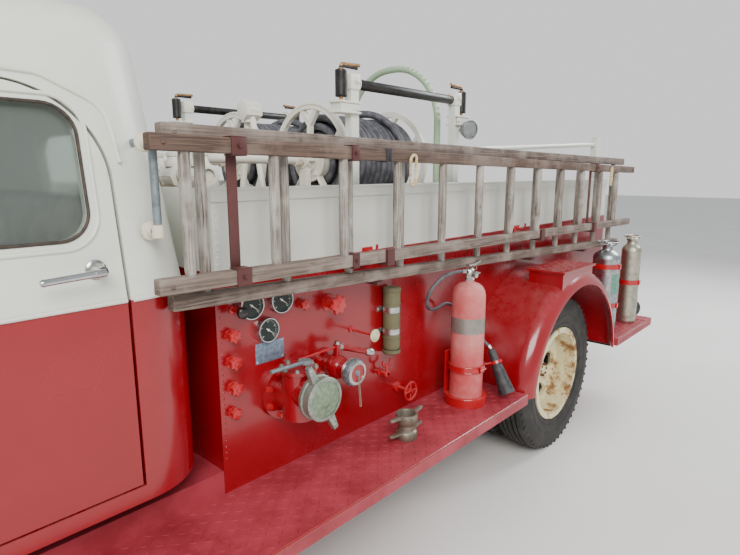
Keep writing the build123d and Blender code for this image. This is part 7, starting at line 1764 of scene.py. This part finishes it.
class FireEngineSizes(bpy.types.PropertyGroup):
    """Sizes of the small fittings."""
    rivet_radius: FloatProperty(name="Rivet radius",
            description="Radius of the round heads along the body's bead", default=0.0042, min=0.001,
            max=0.010, unit="LENGTH")
    bead_radius: FloatProperty(name="Bead radius", description="Radius of the bead between the two colours",
            default=0.0045, min=0.001, max=0.010, unit="LENGTH")
    hoop_radius: FloatProperty(name="Hoop tube radius",
            description="Outer radius of the hoop's enamelled tube", default=0.0173, min=0.005, max=0.0173,
            unit="LENGTH")
    rung_radius: FloatProperty(name="Rung radius", description="Radius of a ladder rung at its middle",
            default=0.0172, min=0.005, max=0.020, unit="LENGTH")
    tread_lugs: IntProperty(name="Shoulder lugs", description="Notched lugs round each shoulder of a tyre",
            default=56, min=8, max=90)
    lozenge_pitch: FloatProperty(name="Board pattern pitch",
            description="Spacing of the raised lozenges along a board", default=0.036, min=0.030, max=0.100,
            unit="LENGTH")
    louvres: IntProperty(name="Hood louvres", description="Pressed louvres on each side of the hood",
            default=14, min=0, max=14)


class ENGINE_OT_finishes(bpy.types.Operator):
    """Makes the finishes and gives them to the carried-over nodes."""
    bl_idname = "fire_engine.finishes"
    bl_label = "Finishes"

    def execute(self, context):
        make_materials(context.scene.fire_engine_paint)
        make_trim_materials(context.scene.fire_engine_paint)
        paint_frame()
        return {"FINISHED"}


class ENGINE_OT_ladders(bpy.types.Operator):
    """Makes the two hung ladders with their straps, tape and hand rings."""
    bl_idname = "fire_engine.ladders"
    bl_label = "Ladders"

    def execute(self, context):
        make_ladders(context.scene.fire_engine_sizes)
        make_ladder_straps()
        return {"FINISHED"}


class ENGINE_OT_reels(bpy.types.Operator):
    """Makes the cast reels, the wound hose and the trim of their stands."""
    bl_idname = "fire_engine.reels"
    bl_label = "Reels"

    def execute(self, context):
        make_reels()
        make_reel_stand_trim()
        return {"FINISHED"}


class ENGINE_OT_rollers(bpy.types.Operator):
    """Makes the guide rollers' ends, their brackets and the work lamp."""
    bl_idname = "fire_engine.rollers"
    bl_label = "Rollers and work lamp"

    def execute(self, context):
        make_roller_trim()
        return {"FINISHED"}


class ENGINE_OT_manifold(bpy.types.Operator):
    """Makes the valves and joints of the white pipes behind the cab."""
    bl_idname = "fire_engine.manifold"
    bl_label = "Manifold"

    def execute(self, context):
        make_manifold()
        return {"FINISHED"}


class ENGINE_OT_panel(bpy.types.Operator):
    """Makes the dials, knobs, valves and caps of the pump panel."""
    bl_idname = "fire_engine.panel"
    bl_label = "Pump panel"

    def execute(self, context):
        make_pump_panel()
        make_pump_fittings()
        make_panel_tube()
        return {"FINISHED"}


class ENGINE_OT_tyres(bpy.types.Operator):
    """Makes the ribbed truck tyres."""
    bl_idname = "fire_engine.tyres"
    bl_label = "Tyres"

    def execute(self, context):
        make_tyres(context.scene.fire_engine_sizes)
        return {"FINISHED"}


class ENGINE_OT_wheel_fittings(bpy.types.Operator):
    """Makes the lock rings, nuts, hub bolts, caps and valve stems."""
    bl_idname = "fire_engine.wheel_fittings"
    bl_label = "Wheel fittings"

    def execute(self, context):
        make_wheel_fittings()
        return {"FINISHED"}


class ENGINE_OT_body_trim(bpy.types.Operator):
    """Makes the rivets, beads, rim and hooks of the body, and the hoop over it."""
    bl_idname = "fire_engine.body_trim"
    bl_label = "Body trim"

    def execute(self, context):
        make_body_trim(context.scene.fire_engine_sizes)
        make_hoop(context.scene.fire_engine_sizes)
        return {"FINISHED"}


class ENGINE_OT_cab_trim(bpy.types.Operator):
    """Makes the beads, window rubbers, handles and grab pipes of the cab."""
    bl_idname = "fire_engine.cab_trim"
    bl_label = "Cab trim"

    def execute(self, context):
        make_cab_trim()
        return {"FINISHED"}


class ENGINE_OT_front(bpy.types.Operator):
    """Makes the lamps, the wipers and the hood's louvres and brightwork."""
    bl_idname = "fire_engine.front"
    bl_label = "Lamps and hood"

    def execute(self, context):
        make_front()
        make_hood_trim(context.scene.fire_engine_sizes)
        return {"FINISHED"}


class ENGINE_OT_boards(bpy.types.Operator):
    """Makes the raised lozenges and the edges of the boards."""
    bl_idname = "fire_engine.boards"
    bl_label = "Running boards"

    def execute(self, context):
        make_boards(context.scene.fire_engine_sizes)
        return {"FINISHED"}


class ENGINE_OT_cab_inside(bpy.types.Operator):
    """Makes the bench, the dials, the pedals and the lever."""
    bl_idname = "fire_engine.cab_inside"
    bl_label = "Cab inside"

    def execute(self, context):
        make_cab_inside()
        make_seat()
        return {"FINISHED"}


class ENGINE_OT_extinguisher(bpy.types.Operator):
    """Makes the bottle on the left board with its hose, horn and bracket trim."""
    bl_idname = "fire_engine.extinguisher"
    bl_label = "Hand extinguisher"

    def execute(self, context):
        make_extinguisher()
        make_extinguisher_hose()
        make_bracket_trim()
        return {"FINISHED"}


class ENGINE_OT_rear_bottles(bpy.types.Operator):
    """Makes the two old bottles on the left rear board."""
    bl_idname = "fire_engine.rear_bottles"
    bl_label = "Rear bottles"

    def execute(self, context):
        make_rear_bottles()
        return {"FINISHED"}


class ENGINE_OT_tail(bpy.types.Operator):
    """Makes the hose bed's slats, the blank plate and the tail handles."""
    bl_idname = "fire_engine.tail"
    bl_label = "Tail"

    def execute(self, context):
        make_tail()
        return {"FINISHED"}


class ENGINE_OT_stage(bpy.types.Operator):
    """Sets the floor, the soft lamps and the camera."""
    bl_idname = "fire_engine.stage"
    bl_label = "Stage"

    def execute(self, context):
        levels = context.scene.fire_engine_light
        add_camera()
        add_world(levels.sky_strength)
        add_floor("#E6E4DF")
        add_area_light("KeyLamp", (4.5, 6.5, 6.5), (-0.5, 0, 1), (6, 4), levels.key_power, (1.0, 0.98, 0.95))
        add_area_light("RimLamp", (-7.0, 2.0, 5.0), (-1.0, 0, 1), (4, 3), levels.key_power * 0.4,
                (0.97, 0.98, 1.0))
        return {"FINISHED"}


OPERATORS = (ENGINE_OT_finishes, ENGINE_OT_ladders, ENGINE_OT_reels, ENGINE_OT_rollers, ENGINE_OT_manifold,
        ENGINE_OT_panel, ENGINE_OT_tyres, ENGINE_OT_wheel_fittings, ENGINE_OT_body_trim, ENGINE_OT_cab_trim,
        ENGINE_OT_front, ENGINE_OT_boards, ENGINE_OT_cab_inside, ENGINE_OT_extinguisher,
        ENGINE_OT_rear_bottles, ENGINE_OT_tail, ENGINE_OT_stage)
GROUPS = (FireEngineLight, FireEnginePaint, FireEngineSizes)


class ENGINE_PT_panel(bpy.types.Panel):
    """Lists the pieces and the levels in the sidebar."""
    bl_idname = "ENGINE_PT_panel"
    bl_label = "Fire Engine"
    bl_space_type = "VIEW_3D"
    bl_region_type = "UI"
    bl_category = "Fire Engine"

    def draw(self, context):
        for group in (context.scene.fire_engine_light, context.scene.fire_engine_paint,
                context.scene.fire_engine_sizes):
            box = self.layout.box()
            for name in group.__annotations__:
                box.prop(group, name)
        for operator in OPERATORS:
            self.layout.operator(operator.bl_idname)


def register():
    """Registers the properties, the operators and the panel."""
    for cls in (*GROUPS, *OPERATORS, ENGINE_PT_panel):
        bpy.utils.register_class(cls)
    bpy.types.Scene.fire_engine_light = PointerProperty(type=FireEngineLight)
    bpy.types.Scene.fire_engine_paint = PointerProperty(type=FireEnginePaint)
    bpy.types.Scene.fire_engine_sizes = PointerProperty(type=FireEngineSizes)


def unregister():
    """Takes them away again."""
    del bpy.types.Scene.fire_engine_light
    del bpy.types.Scene.fire_engine_paint
    del bpy.types.Scene.fire_engine_sizes
    for cls in reversed((*GROUPS, *OPERATORS, ENGINE_PT_panel)):
        bpy.utils.unregister_class(cls)


def main():
    """Builds every piece in order."""
    register()
    for operator in OPERATORS:
        getattr(bpy.ops.fire_engine, operator.bl_idname.split(".")[1])()


if __name__ == "__main__":
    main()
